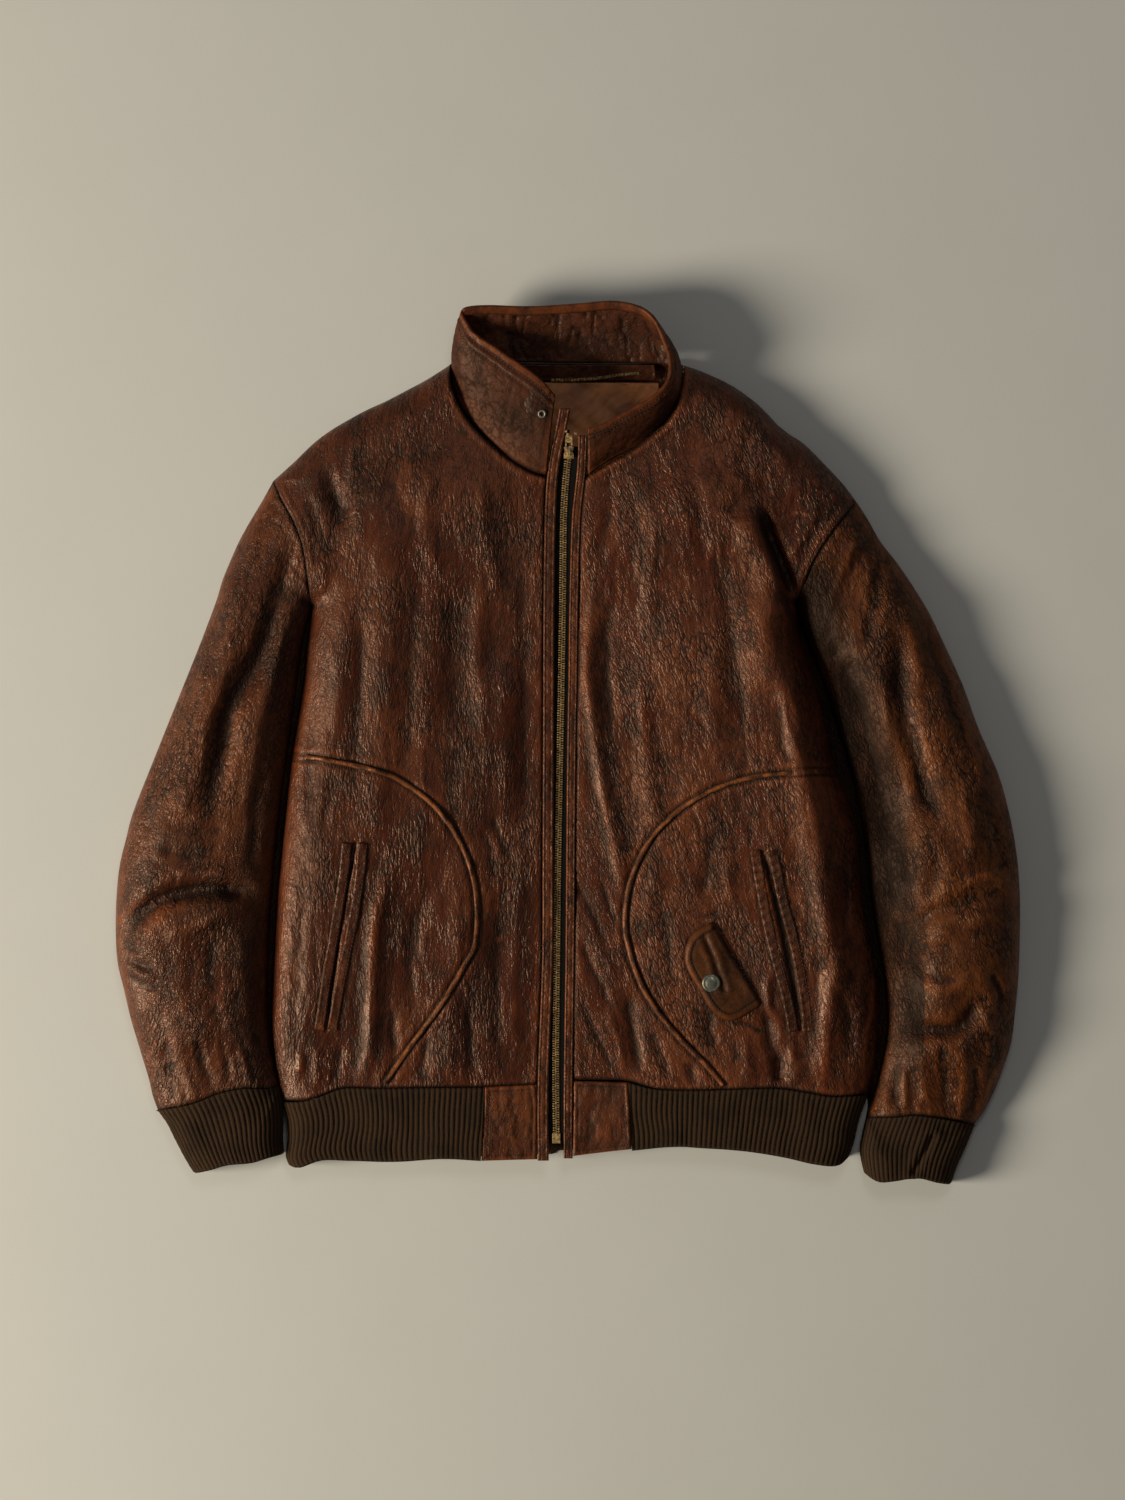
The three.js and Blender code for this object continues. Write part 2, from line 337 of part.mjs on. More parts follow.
// height of a front's own faceted face, so that what lies on it follows it
const FACE = {};
function onFront(x, y) {
  const G = FACE[x < 0 ? 'R' : 'L'];
  for (let i = 0; i < G.length - 1; i++) for (let j = 0; j < G[0].length - 1; j++) {
    const q = [G[i][j], G[i][j + 1], G[i + 1][j + 1], G[i + 1][j]];
    for (const [a, b, c] of [[q[0], q[1], q[2]], [q[0], q[2], q[3]]]) {
      const D = (b[0] - a[0]) * (c[1] - a[1]) - (c[0] - a[0]) * (b[1] - a[1]);
      if (Math.abs(D) < 1e-9) continue;
      const s = ((x - a[0]) * (c[1] - a[1]) - (c[0] - a[0]) * (y - a[1])) / D;
      const t = ((b[0] - a[0]) * (y - a[1]) - (x - a[0]) * (b[1] - a[1])) / D;
      if (s > -1e-6 && t > -1e-6 && s + t < 1 + 1e-6) return a[2] + s * (b[2] - a[2]) + t * (c[2] - a[2]);
    }
  }
  return topPoint(x, y, 'F').p[2];
}
function settle(pts, gap) {                  // rows of plan points laid on the front, chords kept clear
  const z = pts.map(r => r.map(p => onFront(p[0], p[1]) + gap));
  const link = (i, j, k, l) => {
    for (const f of [.2, .4, .6, .8]) {
      const p = mix(pts[i][j], pts[k][l], f), miss = onFront(p[0], p[1]) + gap - lerp(z[i][j], z[k][l], f);
      if (miss > 0) { z[i][j] += miss; z[k][l] += miss; }
    }
  };
  for (let i = 0; i < pts.length; i++) for (let j = 0; j < pts[0].length; j++) {
    if (i + 1 < pts.length) link(i, j, i + 1, j);
    if (j + 1 < pts[0].length) link(i, j, i, j + 1);
    if (i + 1 < pts.length && j + 1 < pts[0].length) { link(i, j, i + 1, j + 1); link(i, j + 1, i + 1, j); }
  }
  return z;
}

// ---- body ----
const BROWN = 0x5a3020, DARK = 0x3a1f14, TAN = 0x8a5230, KNITC = 0x2a2219, BRASS = 0x8a744a, SATIN = 0x4a2b1a;
for (const [key, name] of [['R', 'front_right'], ['L', 'front_left']]) {
  const g = frontGrid(key);
  FACE[key] = g.map(r => r.map(s => s.p));
  add(name, shell(...fromSamples(g, LEATHER)), BROWN, 0.5);
}
// the back lies on the table; its sides and shoulders curl up to meet the fronts
{
  const back = [0, .25, .5, .72, .86, .94, 1].map(t => 0.76 * t).concat(ARM_UNDER.slice(0, -1).reverse().map(f => 0.76 + 0.24 * (1 - f)));
  const rise = k => v => v <= 0.76 ? at([...sides[k].side].reverse(), v / 0.76) : armholeEdge(sides[k], 1 - (v - 0.76) / 0.24, SEAM);
  const L = rise('R'), R = rise('L');
  const top = [L(1), ...[...SHOULDER_R].reverse().slice(1, -1), ...BACK_NECK, ...SHOULDER_L.slice(1, -1), R(1)];
  const bottom = [L(0), R(0)].map(p => [p[0], p[1] + SEAM]);
  const cols = [0, .008, .022, .05, .17, .32, .41, .5, .59, .672, .83, .95, .978, .992, 1];
  const g = grid(back, cols, (u, v) => {
    const p = coons(k => at(bottom, k), k => at(top, k), L, R, u, v);
    return underPoint(p[0], p[1], 'B');
  });
  add('back', shell(...fromSamples(g, LEATHER)), BROWN, 0.55);
}
// ---- sleeves and cuffs: closed tubes, open at both ends ----
const ROUND = ARM, ROUND_UNDER = [.98, .93, .72, .5, .28, .07, .02];
function tube(name, head, tail, outer, inner, rows, wall, colour, rough) {
  const g = rows.map(v => {
    const ring = [];
    for (const u of ROUND) { const p = coons(k => at(head, k), k => at(tail, k), k => at(outer, k), k => at(inner, k), u, v); ring.push(topPoint(p[0], p[1], 'S')); }
    for (const u of ROUND_UNDER) { const p = coons(k => at(head, k), k => at(tail, k), k => at(outer, k), k => at(inner, k), u, v); ring.push(underPoint(p[0], p[1], 'S')); }
    return ring;
  });
  add(name, shell(...fromSamples(g, wall), true), colour, rough);
}
const sleeveRows = [0, .06, .15, .25, .35, .45, .53, .59, .64, .69, .76, .84, .92, 1];
tube('sleeve_right', ARMHOLE_R, CUFF_SEAM_R, SLEEVE_OUT_R, SLEEVE_IN_R, sleeveRows, LEATHER, BROWN, 0.5);
tube('sleeve_left', ARMHOLE_L, CUFF_SEAM_L, SLEEVE_OUT_L, SLEEVE_IN_L, sleeveRows, LEATHER, BROWN, 0.5);
const drop = (poly, dy) => poly.map(p => [p[0], p[1] - dy]);
function cuff(name, seam, end, out, inn) {
  const s = drop(seam, SEAM), o = [s[0], ...out.slice(1)], i = [s[s.length - 1], ...inn.slice(1)];
  tube(name, s, end, o, i, [0, .3, .65, 1], KNIT, KNITC, 0.9);
}
cuff('cuff_right', CUFF_SEAM_R, CUFF_END_R, CUFF_OUT_R, CUFF_IN_R);
cuff('cuff_left', CUFF_SEAM_L, CUFF_END_L, CUFF_OUT_L, CUFF_IN_L);
// ---- hem: one ribbed band from tab to tab round the back ----
const TAB_R = [[-72.3, -298.2], RIB_END_R[0]], TAB_L = [[53, -294], RIB_END_L[0]];   // the inner ends of the tabs
{
  const seamR = [[-72.3, -298.5], ...HEM_R.slice(3)].map(p => [p[0], p[1] - SEAM]), seamL = [[53, -294.2], ...HEM_L.slice(3)].map(p => [p[0], p[1] - SEAM]);
  seamR[seamR.length - 1] = RIB_SIDE_R[0]; seamL[seamL.length - 1] = RIB_SIDE_L[0];
  const endR = RIB_END_R, endL = RIB_END_L;
  const topU = [0, .15, .3, .45, .6, .74, .85, .93, .975, 1], under = [.01, .035, .25, .5, .75, .965, .99];
  const row = v => {
    const A = u => coons(k => inset(at(seamR, k), [0, -1], SEAM), k => at(endR, k),
      k => mix(inset(seamR[0], [0, -1], SEAM), endR[0], k), k => at(RIB_SIDE_R, k), u, v);
    const B = u => coons(k => inset(at(seamL, k), [0, -1], SEAM), k => at(endL, k),
      k => mix(inset(seamL[0], [0, -1], SEAM), endL[0], k), k => at(RIB_SIDE_L, k), u, v);
    const a = topU.map(u => { const p = A(u); return topPoint(p[0], p[1], 'F'); });
    const b = topU.map(u => { const p = B(u); return topPoint(p[0], p[1], 'F'); });
    const E = A(1), F = B(1);
    const lo = under.map(u => { const p = mix(E, F, u); return underPoint(p[0], p[1], 'B'); });
    return [...a, ...lo, ...b.reverse()];
  };
  const g = [0, .25, .6, 1].map(row);
  add('hem_rib', shell(...fromSamples(g, KNIT)), KNITC, 0.9);
}
// ---- leather tabs that close the hem beside the zip ----
function patch(name, bl, br, tr, tl, nu, nv, wall, colour, rough, lift = 0) {
  const g = grid(steps(nv), steps(nu), (u, v) => {
    const p = mix(mix(bl, br, u), mix(tl, tr, u), v), s = topPoint(p[0], p[1], 'F');
    return { p: along(s, -lift), n: s.n };
  });
  add(name, shell(...fromSamples(g, wall)), colour, rough);
}
const zr = y => atX(PLACKET_R, y) - STRIP_R - SEAM, zl = y => atX(PLACKET_L, y) + STRIP_L + SEAM;
patch('hem_tab_right', [TAB_R[1][0] + SEAM, TAB_R[1][1]], [zr(-361), -361.5], [zr(-296.5), -296.4], [TAB_R[0][0] + SEAM, -298.4], 5, 4, LEATHER, BROWN, 0.5);
patch('hem_tab_left', [zl(-358), -358.6], [TAB_L[1][0] - SEAM, -352.5], [TAB_L[0][0] - SEAM, -294.3], [zl(-293), -293.4], 5, 4, LEATHER, BROWN, 0.5);
// ---- strips that lie on a panel: their points are the panel's, moved out ----
function ribbon(name, line, half, wall, lift, n, colour, rough, metal = 0, panel = 'F', zOf = null) {
  const pts = zOf ? line : Array.from({ length: n + 1 }, (_, i) => at(line, i / n));
  const plan = pts.map((p, i) => {
    const a = pts[Math.max(0, i - 1)], b = pts[Math.min(pts.length - 1, i + 1)], d = len2(a, b);
    const nx = zOf ? 1 : -(b[1] - a[1]) / d, ny = zOf ? 0 : (b[0] - a[0]) / d;
    return [-1, 1].map(s => [p[0] + nx * half * s, p[1] + ny * half * s]);
  });
  const z = zOf ? plan.map(r => r.map(p => zOf(p[1]) + lift)) : settle(plan, lift);
  const outer = plan.map((r, i) => r.map((p, j) => [p[0], p[1], z[i][j] + wall]));
  const inner = plan.map((r, i) => r.map((p, j) => [p[0], p[1], z[i][j]]));
  add(name, shell(outer, inner), colour, rough, metal);
}
// the front edge rises with the collar above the neckline; strips, tapes and chain share its profile
const NECK_Y = 226, TOP_Y = 290.6;
const zipX = y => atX(ZIP, y);
const zNeck = topPoint(zipX(NECK_Y), NECK_Y, 'F').p[2];
const edgeZ = y => y <= NECK_Y ? topPoint(zipX(y), y, 'F').p[2] : lerp(zNeck, 53, Math.min(1, (y - NECK_Y) / (TOP_Y - NECK_Y)));
const KNOTS = [-362.5, -345, -340, -320, -296, -270, -240, -210, -180, -150, -120, -90, -60, -30, 0, 30, 60, 90, 120, 150, 180, 205, 226, 244, 258, 272, 290];
const knots = (y0, y1) => [y0, ...KNOTS.filter(y => y > y0 + 1 && y < y1 - 1), y1];
const stripLine = (L, y0, y1, dx) => knots(y0, y1).map(y => [atX(L, y) + dx, y]);
const profile = y => {                        // straight between the knots, as the faceted pieces are
  let i = 1; while (i < KNOTS.length - 1 && KNOTS[i] < y) i++;
  return lerp(edgeZ(KNOTS[i - 1]), edgeZ(KNOTS[i]), (y - KNOTS[i - 1]) / (KNOTS[i] - KNOTS[i - 1]));
};
ribbon('zip_strip_right', stripLine(PLACKET_R, -362.5, 290, 0), STRIP_R, LEATHER, -LEATHER, 26, BROWN, 0.5, 0, 'F', profile);
ribbon('zip_strip_left', stripLine(PLACKET_L, -360.5, 267, 0), STRIP_L, LEATHER, -LEATHER, 26, BROWN, 0.5, 0, 'F', profile);
const tapeDrop = -LEATHER - SEAM - TAPE;
ribbon('zip_tape_right', stripLine(ZIP, -345, 272, -6.4), 6, TAPE, tapeDrop, 20, 0x15110d, 0.95, 0, 'F', profile);
ribbon('zip_tape_left', stripLine(ZIP, -345, 258, 6.4), 6, TAPE, tapeDrop, 20, 0x15110d, 0.95, 0, 'F', profile);
const chainLift = tapeDrop + TAPE + 0.3, frontZ = (x, y) => profile(y);
ribbon('zip_chain', stripLine(ZIP, -340, 244, 0), CHAIN_W / 2, 2.0, chainLift, 26, BRASS, 0.4, 1, 'F', profile);
// slider: a waisted brass body with a bridge over its middle, on the chain
const SLIDER_Y = 252.2, sx = zipX(SLIDER_Y), sz = frontZ(sx, SLIDER_Y) + chainLift;
const PULL_AXIS = [sx, SLIDER_Y + 2.2, sz + 4.9];
function extruded(points, depth, place) {    // outline in plan raised by depth
  const s = new THREE.Shape(points.map(p => new THREE.Vector2(p[0], p[1])));
  const g = new THREE.ExtrudeGeometry(s, { depth, bevelEnabled: false }); g.applyMatrix4(place);
  g.deleteAttribute('normal'); g.deleteAttribute('uv'); return mergeVertices(g, 1e-4);
}
function addGeometry(name, g, colour, rough, metal) {
  const m = new THREE.Mesh(g, new THREE.MeshStandardMaterial({ color: colour, roughness: rough, metalness: metal }));
  m.name = name; m.position.set(SHIFT_X, SHIFT_Y, 0); parts.add(m);
}
const M = (x, y, z, rx = 0, ry = 0, rz = 0) => new THREE.Matrix4().compose(new THREE.Vector3(x, y, z),
  new THREE.Quaternion().setFromEuler(new THREE.Euler(rx, ry, rz)), new THREE.Vector3(1, 1, 1));
const wasm = await Module(); wasm.setup();
const solid = g => new wasm.Manifold(new wasm.Mesh({ numProp: 3, vertProperties: Float32Array.from(g.attributes.position.array), triVerts: Uint32Array.from(g.index.array) }));
function back3(man) {
  const m = man.getMesh(), g = new THREE.BufferGeometry();
  g.setAttribute('position', new THREE.BufferAttribute(Float32Array.from(m.vertProperties), 3));
  g.setIndex([...m.triVerts]); return mergeVertices(g, 1e-4);
}
{
  const body = extruded([[-4.2, -1], [-4.2, -5], [4.2, -5], [4.2, -1], [3.6, 1], [4.2, 4.6], [1.6, 5.4], [-1.6, 5.4], [-4.2, 4.6], [-3.6, 1]], 2.6, M(sx, SLIDER_Y, sz + 1.5));
  const post = extruded([[-1, -2.6], [1, -2.6], [1, 3.8], [-1, 3.8]], 2.8, M(sx, SLIDER_Y, sz + 3.9));
  const hole = extruded([[-3, -0.95], [3, -0.95], [3, 0.95], [-3, 0.95]], 1.9, M(sx, PULL_AXIS[1], PULL_AXIS[2] - 0.95));
  addGeometry('zip_slider', back3(solid(body).add(solid(post)).subtract(solid(hole))), BRASS, 0.35, 1);
  // pull: a flat frame hung on a crossbar through the bridge, lying towards the collar
  const frameG = extruded([[-3.2, 0], [3.2, 0], [3.0, 12.5], [1.6, 14], [-1.6, 14], [-3.0, 12.5]], 1.0, M(sx, PULL_AXIS[1] - 0.5, PULL_AXIS[2] - 0.5));
  const windowG = extruded([[-1.9, 1.0], [1.9, 1.0], [1.9, 7.0], [-1.9, 7.0]], 4, M(sx, PULL_AXIS[1] - 0.5, PULL_AXIS[2] - 1.6));
  addGeometry('zip_pull', back3(solid(frameG).subtract(solid(windowG))), BRASS, 0.35, 1);
}
// ---- curved piping over the two welt pockets ----
ribbon('piping_right', PIPING_R.slice(1), 1.9, 1.5, 0.35, 28, 0x8a4a28, 0.5);
ribbon('piping_left', PIPING_L.slice(1), 1.9, 1.5, 0.35, 27, 0x8a4a28, 0.5);
// ---- welts: two leather lips along each pocket mouth ----
const shiftLine = (L, d0, d1, d2) => L.map((p, i) => { const f = i / (L.length - 1); const b = f < .5 ? lerp(d0, d1, f * 2) : lerp(d1, d2, f * 2 - 1); return [p[0] + b, p[1]]; });
ribbon('welt_right_outer', shiftLine(POCKET_R, -7, -7.6, -6.5), 4.4, 1.2, 0.35, 14, BROWN, 0.5);
ribbon('welt_right_inner', shiftLine(POCKET_R, 7, 6.8, 4.6), 4.4, 1.2, 0.35, 14, BROWN, 0.5);
ribbon('welt_left_outer', shiftLine(POCKET_L, 7.5, 9.5, 7), 4.6, 1.2, 0.35, 14, BROWN, 0.5);
ribbon('welt_left_inner', shiftLine(POCKET_L, -7.5, -9.5, -5.8), 4.6, 1.2, 0.35, 14, BROWN, 0.5);
// ---- coin pocket flap and its snap ----
{
  const hinge = [[125.7, -154], [148, -191], [169.2, -226.2]];           // sewn edge
  const plan = grid(steps(5), steps(7), (u, v) => mix(at(hinge, u * 0.98 + 0.01), at(FLAP_L, u * 0.98 + 0.01), v * 0.98 + 0.01));
  const z = settle(plan, 0.35 + 1.6);
  const g = plan.map((r, i) => r.map((p, j) => ({ p: [p[0], p[1], z[i][j]], n: [0, 0, 1] })));
  add('coin_flap', shell(...fromSamples(g, 1.6)), TAN, 0.5);
  const cx = 124.7, cy = -207.5, cz = Math.max(...z.flatMap((r, i) => r.filter((_, j) => len2(plan[i][j], [cx, cy]) < 16)));
  const cap = new THREE.LatheGeometry([[0, 0], [7.6, 0], [7.9, 0.7], [6.8, 1.6], [4, 2.3], [0, 2.5]].map(p => new THREE.Vector2(p[0], p[1])), 18);
  cap.applyMatrix4(M(cx, cy, cz + 0.3, Math.PI / 2)); cap.deleteAttribute('normal'); cap.deleteAttribute('uv');
  addGeometry('flap_snap', mergeVertices(cap, 1e-4), 0x76725e, 0.4, 1);
}
// ---- collar: a leather band leaning in over the neck, faced inside ----
{
  const at2 = (i, t) => { const c = COLLAR[i]; return [0, 1, 2].map(k => lerp(c[k], c[k + 3], t)); };
  const N = COLLAR.length, tt = [0.02, .35, .7, 1];
  const S = tt.map(t => COLLAR.map((_, i) => {
    const p = at2(i, t), a = at2(Math.max(0, i - 1), t), b = at2(Math.min(N - 1, i + 1), t), c0 = at2(i, 0), c1 = at2(i, 1);
    const e = b.map((v, k) => v - a[k]), u = c1.map((v, k) => v - c0[k]);
    let n = [e[1] * u[2] - e[2] * u[1], e[2] * u[0] - e[0] * u[2], e[0] * u[1] - e[1] * u[0]];
    const L = Math.hypot(...n); n = n.map(v => v / L);
    n = n.map(v => -v);                      // away from the neck: up at the front, down at the back
    const bulge = 4.0 * Math.sin(Math.PI * t);
    return { p: p.map((v, k) => v + n[k] * bulge), n };
  }));
  const outer = S.map(r => r.map(s => s.p)), mid2 = S.map(r => r.map(s => along(s, LEATHER)));
  add('collar', shell(outer, mid2), BROWN, 0.5);
  const T = S.map((r, k) => r.map(s => ({ p: along(s, LEATHER + SEAM), n: s.n })));
  add('collar_facing', shell(...fromSamples(T, 1.4)), DARK, 0.6);
  // press-stud socket near the front end of the band, square to the leather
  const s = S[2][1], stud = new THREE.LatheGeometry([[1.6, 0], [3.7, 0], [3.7, 0.6], [3.0, 1.3], [2.1, 1.3], [1.6, 0.5], [1.6, 0]].map(p => new THREE.Vector2(p[0], p[1])), 16);
  const q = new THREE.Quaternion().setFromUnitVectors(new THREE.Vector3(0, 1, 0), new THREE.Vector3(...s.n));
  stud.applyMatrix4(new THREE.Matrix4().compose(new THREE.Vector3(...along(s, -0.7)), q, new THREE.Vector3(1, 1, 1)));
  stud.deleteAttribute('normal'); stud.deleteAttribute('uv');
  addGeometry('collar_snap', mergeVertices(stud, 1e-4), 0xb0ac90, 0.4, 1);
}
// ---- what shows through the neck: satin lining and the leather band with the liner's zip ----
const flat = (name, bl, br, tr, tl, nu, nv, z, wall, colour, rough) => {
  const g = grid(steps(nv), steps(nu), (u, v) => { const p = mix(mix(bl, br, u), mix(tl, tr, u), v); return { p: [p[0], p[1], z(p[1])], n: [0, 0, 1] }; });
  add(name, shell(...fromSamples(g, wall)), colour, rough);
};
flat('neck_lining', [-70, 235], [88, 235], [80, 316], [-78, 316], 8, 2, () => 3.6, 1.2, SATIN, 0.45);
const slope = y => 5.4 + (y - 318) * 0.5;     // the band leans up against the curled neck edge of the back
flat('neck_band', [-76, 318], [78, 318], [76, 331], [-74, 331], 6, 1, slope, 1.5, DARK, 0.6);

export default parts;
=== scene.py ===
"""A worn leather jacket laid flat, front up: the looks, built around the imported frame.
Plan tables are in millimetres in the part's own plan, +X the wearer's left, +Y towards the collar."""
import math
import numpy as np
import bpy
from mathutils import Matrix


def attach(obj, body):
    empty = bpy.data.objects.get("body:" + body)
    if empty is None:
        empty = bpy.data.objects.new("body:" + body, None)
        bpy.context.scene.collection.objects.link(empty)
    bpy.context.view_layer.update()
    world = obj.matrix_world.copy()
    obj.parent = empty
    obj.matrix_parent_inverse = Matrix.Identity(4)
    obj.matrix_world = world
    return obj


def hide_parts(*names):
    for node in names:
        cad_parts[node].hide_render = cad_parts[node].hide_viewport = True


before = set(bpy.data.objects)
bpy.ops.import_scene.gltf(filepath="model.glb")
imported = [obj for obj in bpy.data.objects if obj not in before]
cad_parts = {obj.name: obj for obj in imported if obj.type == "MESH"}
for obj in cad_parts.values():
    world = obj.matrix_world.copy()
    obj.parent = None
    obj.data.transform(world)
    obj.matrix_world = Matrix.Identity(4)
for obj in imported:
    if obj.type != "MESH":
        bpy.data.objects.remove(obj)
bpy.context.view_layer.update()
SHIFT_X, SHIFT_Y = -0.3265, 0.15        # the part's plan to the row frame, mm
LEATHER, KNIT, SEAM = 2.0, 2.6, 0.35
EDGE_Z, CURL = 9.0, 8.0
ROLL_BODY, ROLL_SHOULDER, ROLL_SLEEVE = 38, 30, 46
STRIP_R, STRIP_L = 4.8, 4.0
CELL = 1.65       # spacing of the fine cloth grids, mm

# ---- seam and edge lines in plan ----
SHOULDER_R = [[-102.2,331.5],[-114.4,323.6],[-125.7,316.7],[-142.2,308.0],[-158.8,299.3],[-176.2,291.4],[
    -193.6,281.9],[-206.6,274.1],[-219.7,264.5],[-229.2,255.8],[-237.9,247.1],[-247.5,238.4],[
    -257.1,229.7]]
SLEEVE_OUT_R = [[-257.1,229.7],[-266.7,212.3],[-277.1,194.9],[-286.7,177.5],[-294.5,160.1],[-301.5,142.7],[
    -306.7,125.3],[-319.7,90.5],[-333.6,55.7],[-347.6,20.9],[-361.5,-13.9],[-375.4,-48.7],[
    -381.5,-66.1],[-385.8,-83.5],[-390.2,-100.9],[-392.8,-118.3],[-394.5,-144.4],[-394.5,-170.5],[
    -392.8,-192.3],[-387.6,-214.0],[-381.5,-240.1],[-376.3,-257.5],[-371.1,-274.9],[-365.8,-292.3],[
    -362.4,-307.1],[-358.0,-319.3]]
SLEEVE_IN_R = [[-223.2,120.1],[-231.9,90.5],[-237.9,47.0],[-245.8,-11.3],[-252.7,-66.1],[-258.8,-127.0],[
    -261.4,-172.3],[-262.3,-222.7],[-260.6,-257.5],[-257.1,-279.3],[-251.9,-298.4]]
SIDE_R = [[-223.2,120.1],[-227.5,81.8],[-231.0,47.0],[-240.6,-11.3],[-246.6,-66.1],[-252.7,-127.9],[
    -255.3,-172.3],[-258.0,-222.7],[-258.0,-248.8],[-255.3,-276.7],[-252.7,-292.3],[-249.3,-310.6]]
ARMHOLE_R = [[-257.1,229.7],[-247.9,210.8],[-238.4,194.0],[-231.0,174.2],[-227.5,154.9],[-224.9,134.0],[
    -223.2,120.1]]
NECK_R = [[-18.3,231.9],[-28.3,234.9],[-39.6,240.1],[-55.2,250.6],[-71.3,264.9],[-87.4,283.0],[
    -97.0,300.1],[-102.2,316.7],[-102.2,331.5]]
HEM_R = [[-21.3,-295.8],[-50.0,-297.1],[-72.6,-298.4],[-118.8,-298.8],[-164.0,-299.3],[-193.6,-299.3],[
    -211.8,-305.4],[-228.4,-310.6],[-249.3,-310.6]]
SHOULDER_L = [[102.2,330.6],[115.3,326.2],[137.0,316.7],[150.1,308.9],[163.1,299.3],[173.6,289.7],[
    184.0,278.4],[195.3,269.7],[207.5,261.4],[229.2,239.7],[241.4,226.2],[251.9,212.3]]
SLEEVE_OUT_L = [[251.9,212.3],[263.2,194.9],[273.6,176.6],[291.0,154.0],[312.8,120.1],[327.6,90.5],[
    345.0,52.2],[359.3,13.1],[376.3,-26.1],[385.8,-60.0],[391.9,-92.2],[394.5,-118.3],[
    395.4,-144.4],[395.0,-176.6],[393.7,-206.2],[391.1,-233.2],[387.6,-261.0],[379.8,-285.4],[
    373.7,-301.0],[365.8,-317.6],[355.4,-332.3]]
SLEEVE_IN_L = [[199.7,122.7],[209.2,90.5],[223.2,55.7],[234.5,20.9],[245.8,-16.5],[253.6,-48.7],[
    261.4,-92.2],[265.8,-135.7],[272.7,-179.2],[278.0,-214.0],[279.7,-248.8],[275.4,-276.7],[
    269.3,-301.0],[261.4,-325.4]]
SIDE_L = [[199.7,122.7],[203.1,90.5],[215.3,52.2],[224.9,20.0],[231.0,-16.5],[243.2,-46.1],[
    251.0,-70.5],[255.3,-107.0],[257.1,-138.3],[264.0,-176.6],[269.3,-206.2],[271.0,-225.3],[
    271.0,-252.3],[268.0,-280.1],[263.2,-304.5]]
ARMHOLE_L = [[251.9,212.3],[233.2,187.9],[217.1,163.6],[205.8,140.1],[199.7,122.7]]
NECK_L = [[17.0,232.3],[24.8,237.1],[33.5,242.3],[54.4,254.0],[70.0,265.4],[83.1,276.7],[92.7,291.0],[
    97.9,307.1],[102.2,330.6]]
HEM_L = [[8.3,-292.3],[28.3,-292.3],[52.6,-293.2],[78.7,-300.1],[115.3,-301.0],[145.7,-300.1],[
    181.4,-299.3],[209.2,-302.8],[228.4,-306.2],[245.8,-306.2],[263.2,-304.5]]
CUFF_SEAM_R = [[-358.0,-319.3],[-338.9,-315.8],[-322.3,-311.5],[-307.5,-305.4],[-294.5,-301.5],[
    -278.8,-299.3],[-264.0,-300.1],[-251.9,-298.4]]
CUFF_END_R = [[-325.8,-375.0],[-310.2,-370.6],[-295.4,-366.3],[-275.4,-364.5],[-259.7,-360.2],[
    -247.5,-357.6]]
CUFF_OUT_R = [[-358.0,-319.3],[-349.3,-331.5],[-342.3,-345.4],[-334.5,-360.2],[-325.8,-375.0]]
CUFF_IN_R = [[-251.9,-298.4],[-249.3,-313.2],[-248.4,-331.5],[-248.8,-346.3],[-247.5,-357.6]]
CUFF_SEAM_L = [[355.4,-332.3],[341.5,-328.9],[328.4,-326.2],[304.1,-322.8],[286.7,-324.5],[261.4,-325.4]]
CUFF_END_L = [[334.5,-384.5],[322.3,-381.9],[304.1,-377.6],[284.9,-380.2],[271.0,-381.1],[259.7,-375.8]]
CUFF_OUT_L = [[355.4,-332.3],[347.6,-351.5],[339.7,-368.9],[334.5,-384.5]]
CUFF_IN_L = [[261.4,-325.4],[258.0,-340.2],[255.8,-355.8],[259.7,-375.8]]
RIB_END_R = [[-75.3,-362.8],[-109.2,-361.1],[-149.2,-363.7],[-189.2,-362.8],[-213.6,-362.4],[
    -232.7,-368.9],[-242.3,-368.9]]
RIB_SIDE_R = [[-249.3,-312.3],[-244.9,-328.0],[-244.0,-344.5],[-245.8,-360.2],[-242.3,-368.9]]
RIB_END_L = [[56.1,-354.1],[90.9,-350.6],[115.3,-351.5],[152.7,-354.1],[186.6,-359.3],[213.6,-365.4],[
    233.6,-367.1],[244.9,-361.9]]
RIB_SIDE_L = [[262.3,-306.2],[254.5,-327.1],[250.1,-346.3],[244.9,-361.9]]
ZIP = [[-9.6,-347.1],[-10.2,-274.9],[-9.3,-187.9],[-8.3,-100.9],[-6.5,-5.2],[-5.3,55.7],[-4.2,125.3],[
    -3.4,194.9],[-1.3,229.7],[0.9,250.6],[2.0,264.5],[2.2,277.5]]
PLACKET_R = [[-21.1,-362.8],[-21.3,-295.8],[-17.4,-187.9],[-17.0,-100.9],[-16.6,-5.2],[-16.4,55.7],[
    -16.1,125.3],[-15.0,194.9],[-13.1,231.4],[-8.7,259.3],[-4.3,278.4],[-2.2,290.6]]
PLACKET_L = [[0.6,-361.1],[0.8,-292.3],[2.2,-187.9],[2.9,-100.9],[3.7,-5.2],[4.8,55.7],[5.7,125.3],[
    7.8,194.9],[11.7,231.4],[12.9,250.6],[13.5,268.0]]
PIPING_R = [[-241.4,-11.3],[-227.5,-11.7],[-213.6,-13.1],[-186.6,-18.3],[-158.8,-25.2],[-138.8,-35.7],[
    -118.8,-50.5],[-104.0,-67.9],[-91.8,-87.9],[-83.1,-110.5],[-79.0,-133.1],[-78.5,-157.5],[
    -81.3,-177.5],[-90.9,-194.9],[-104.0,-217.5],[-121.4,-242.7],[-141.4,-269.7],[-158.8,-294.9]]
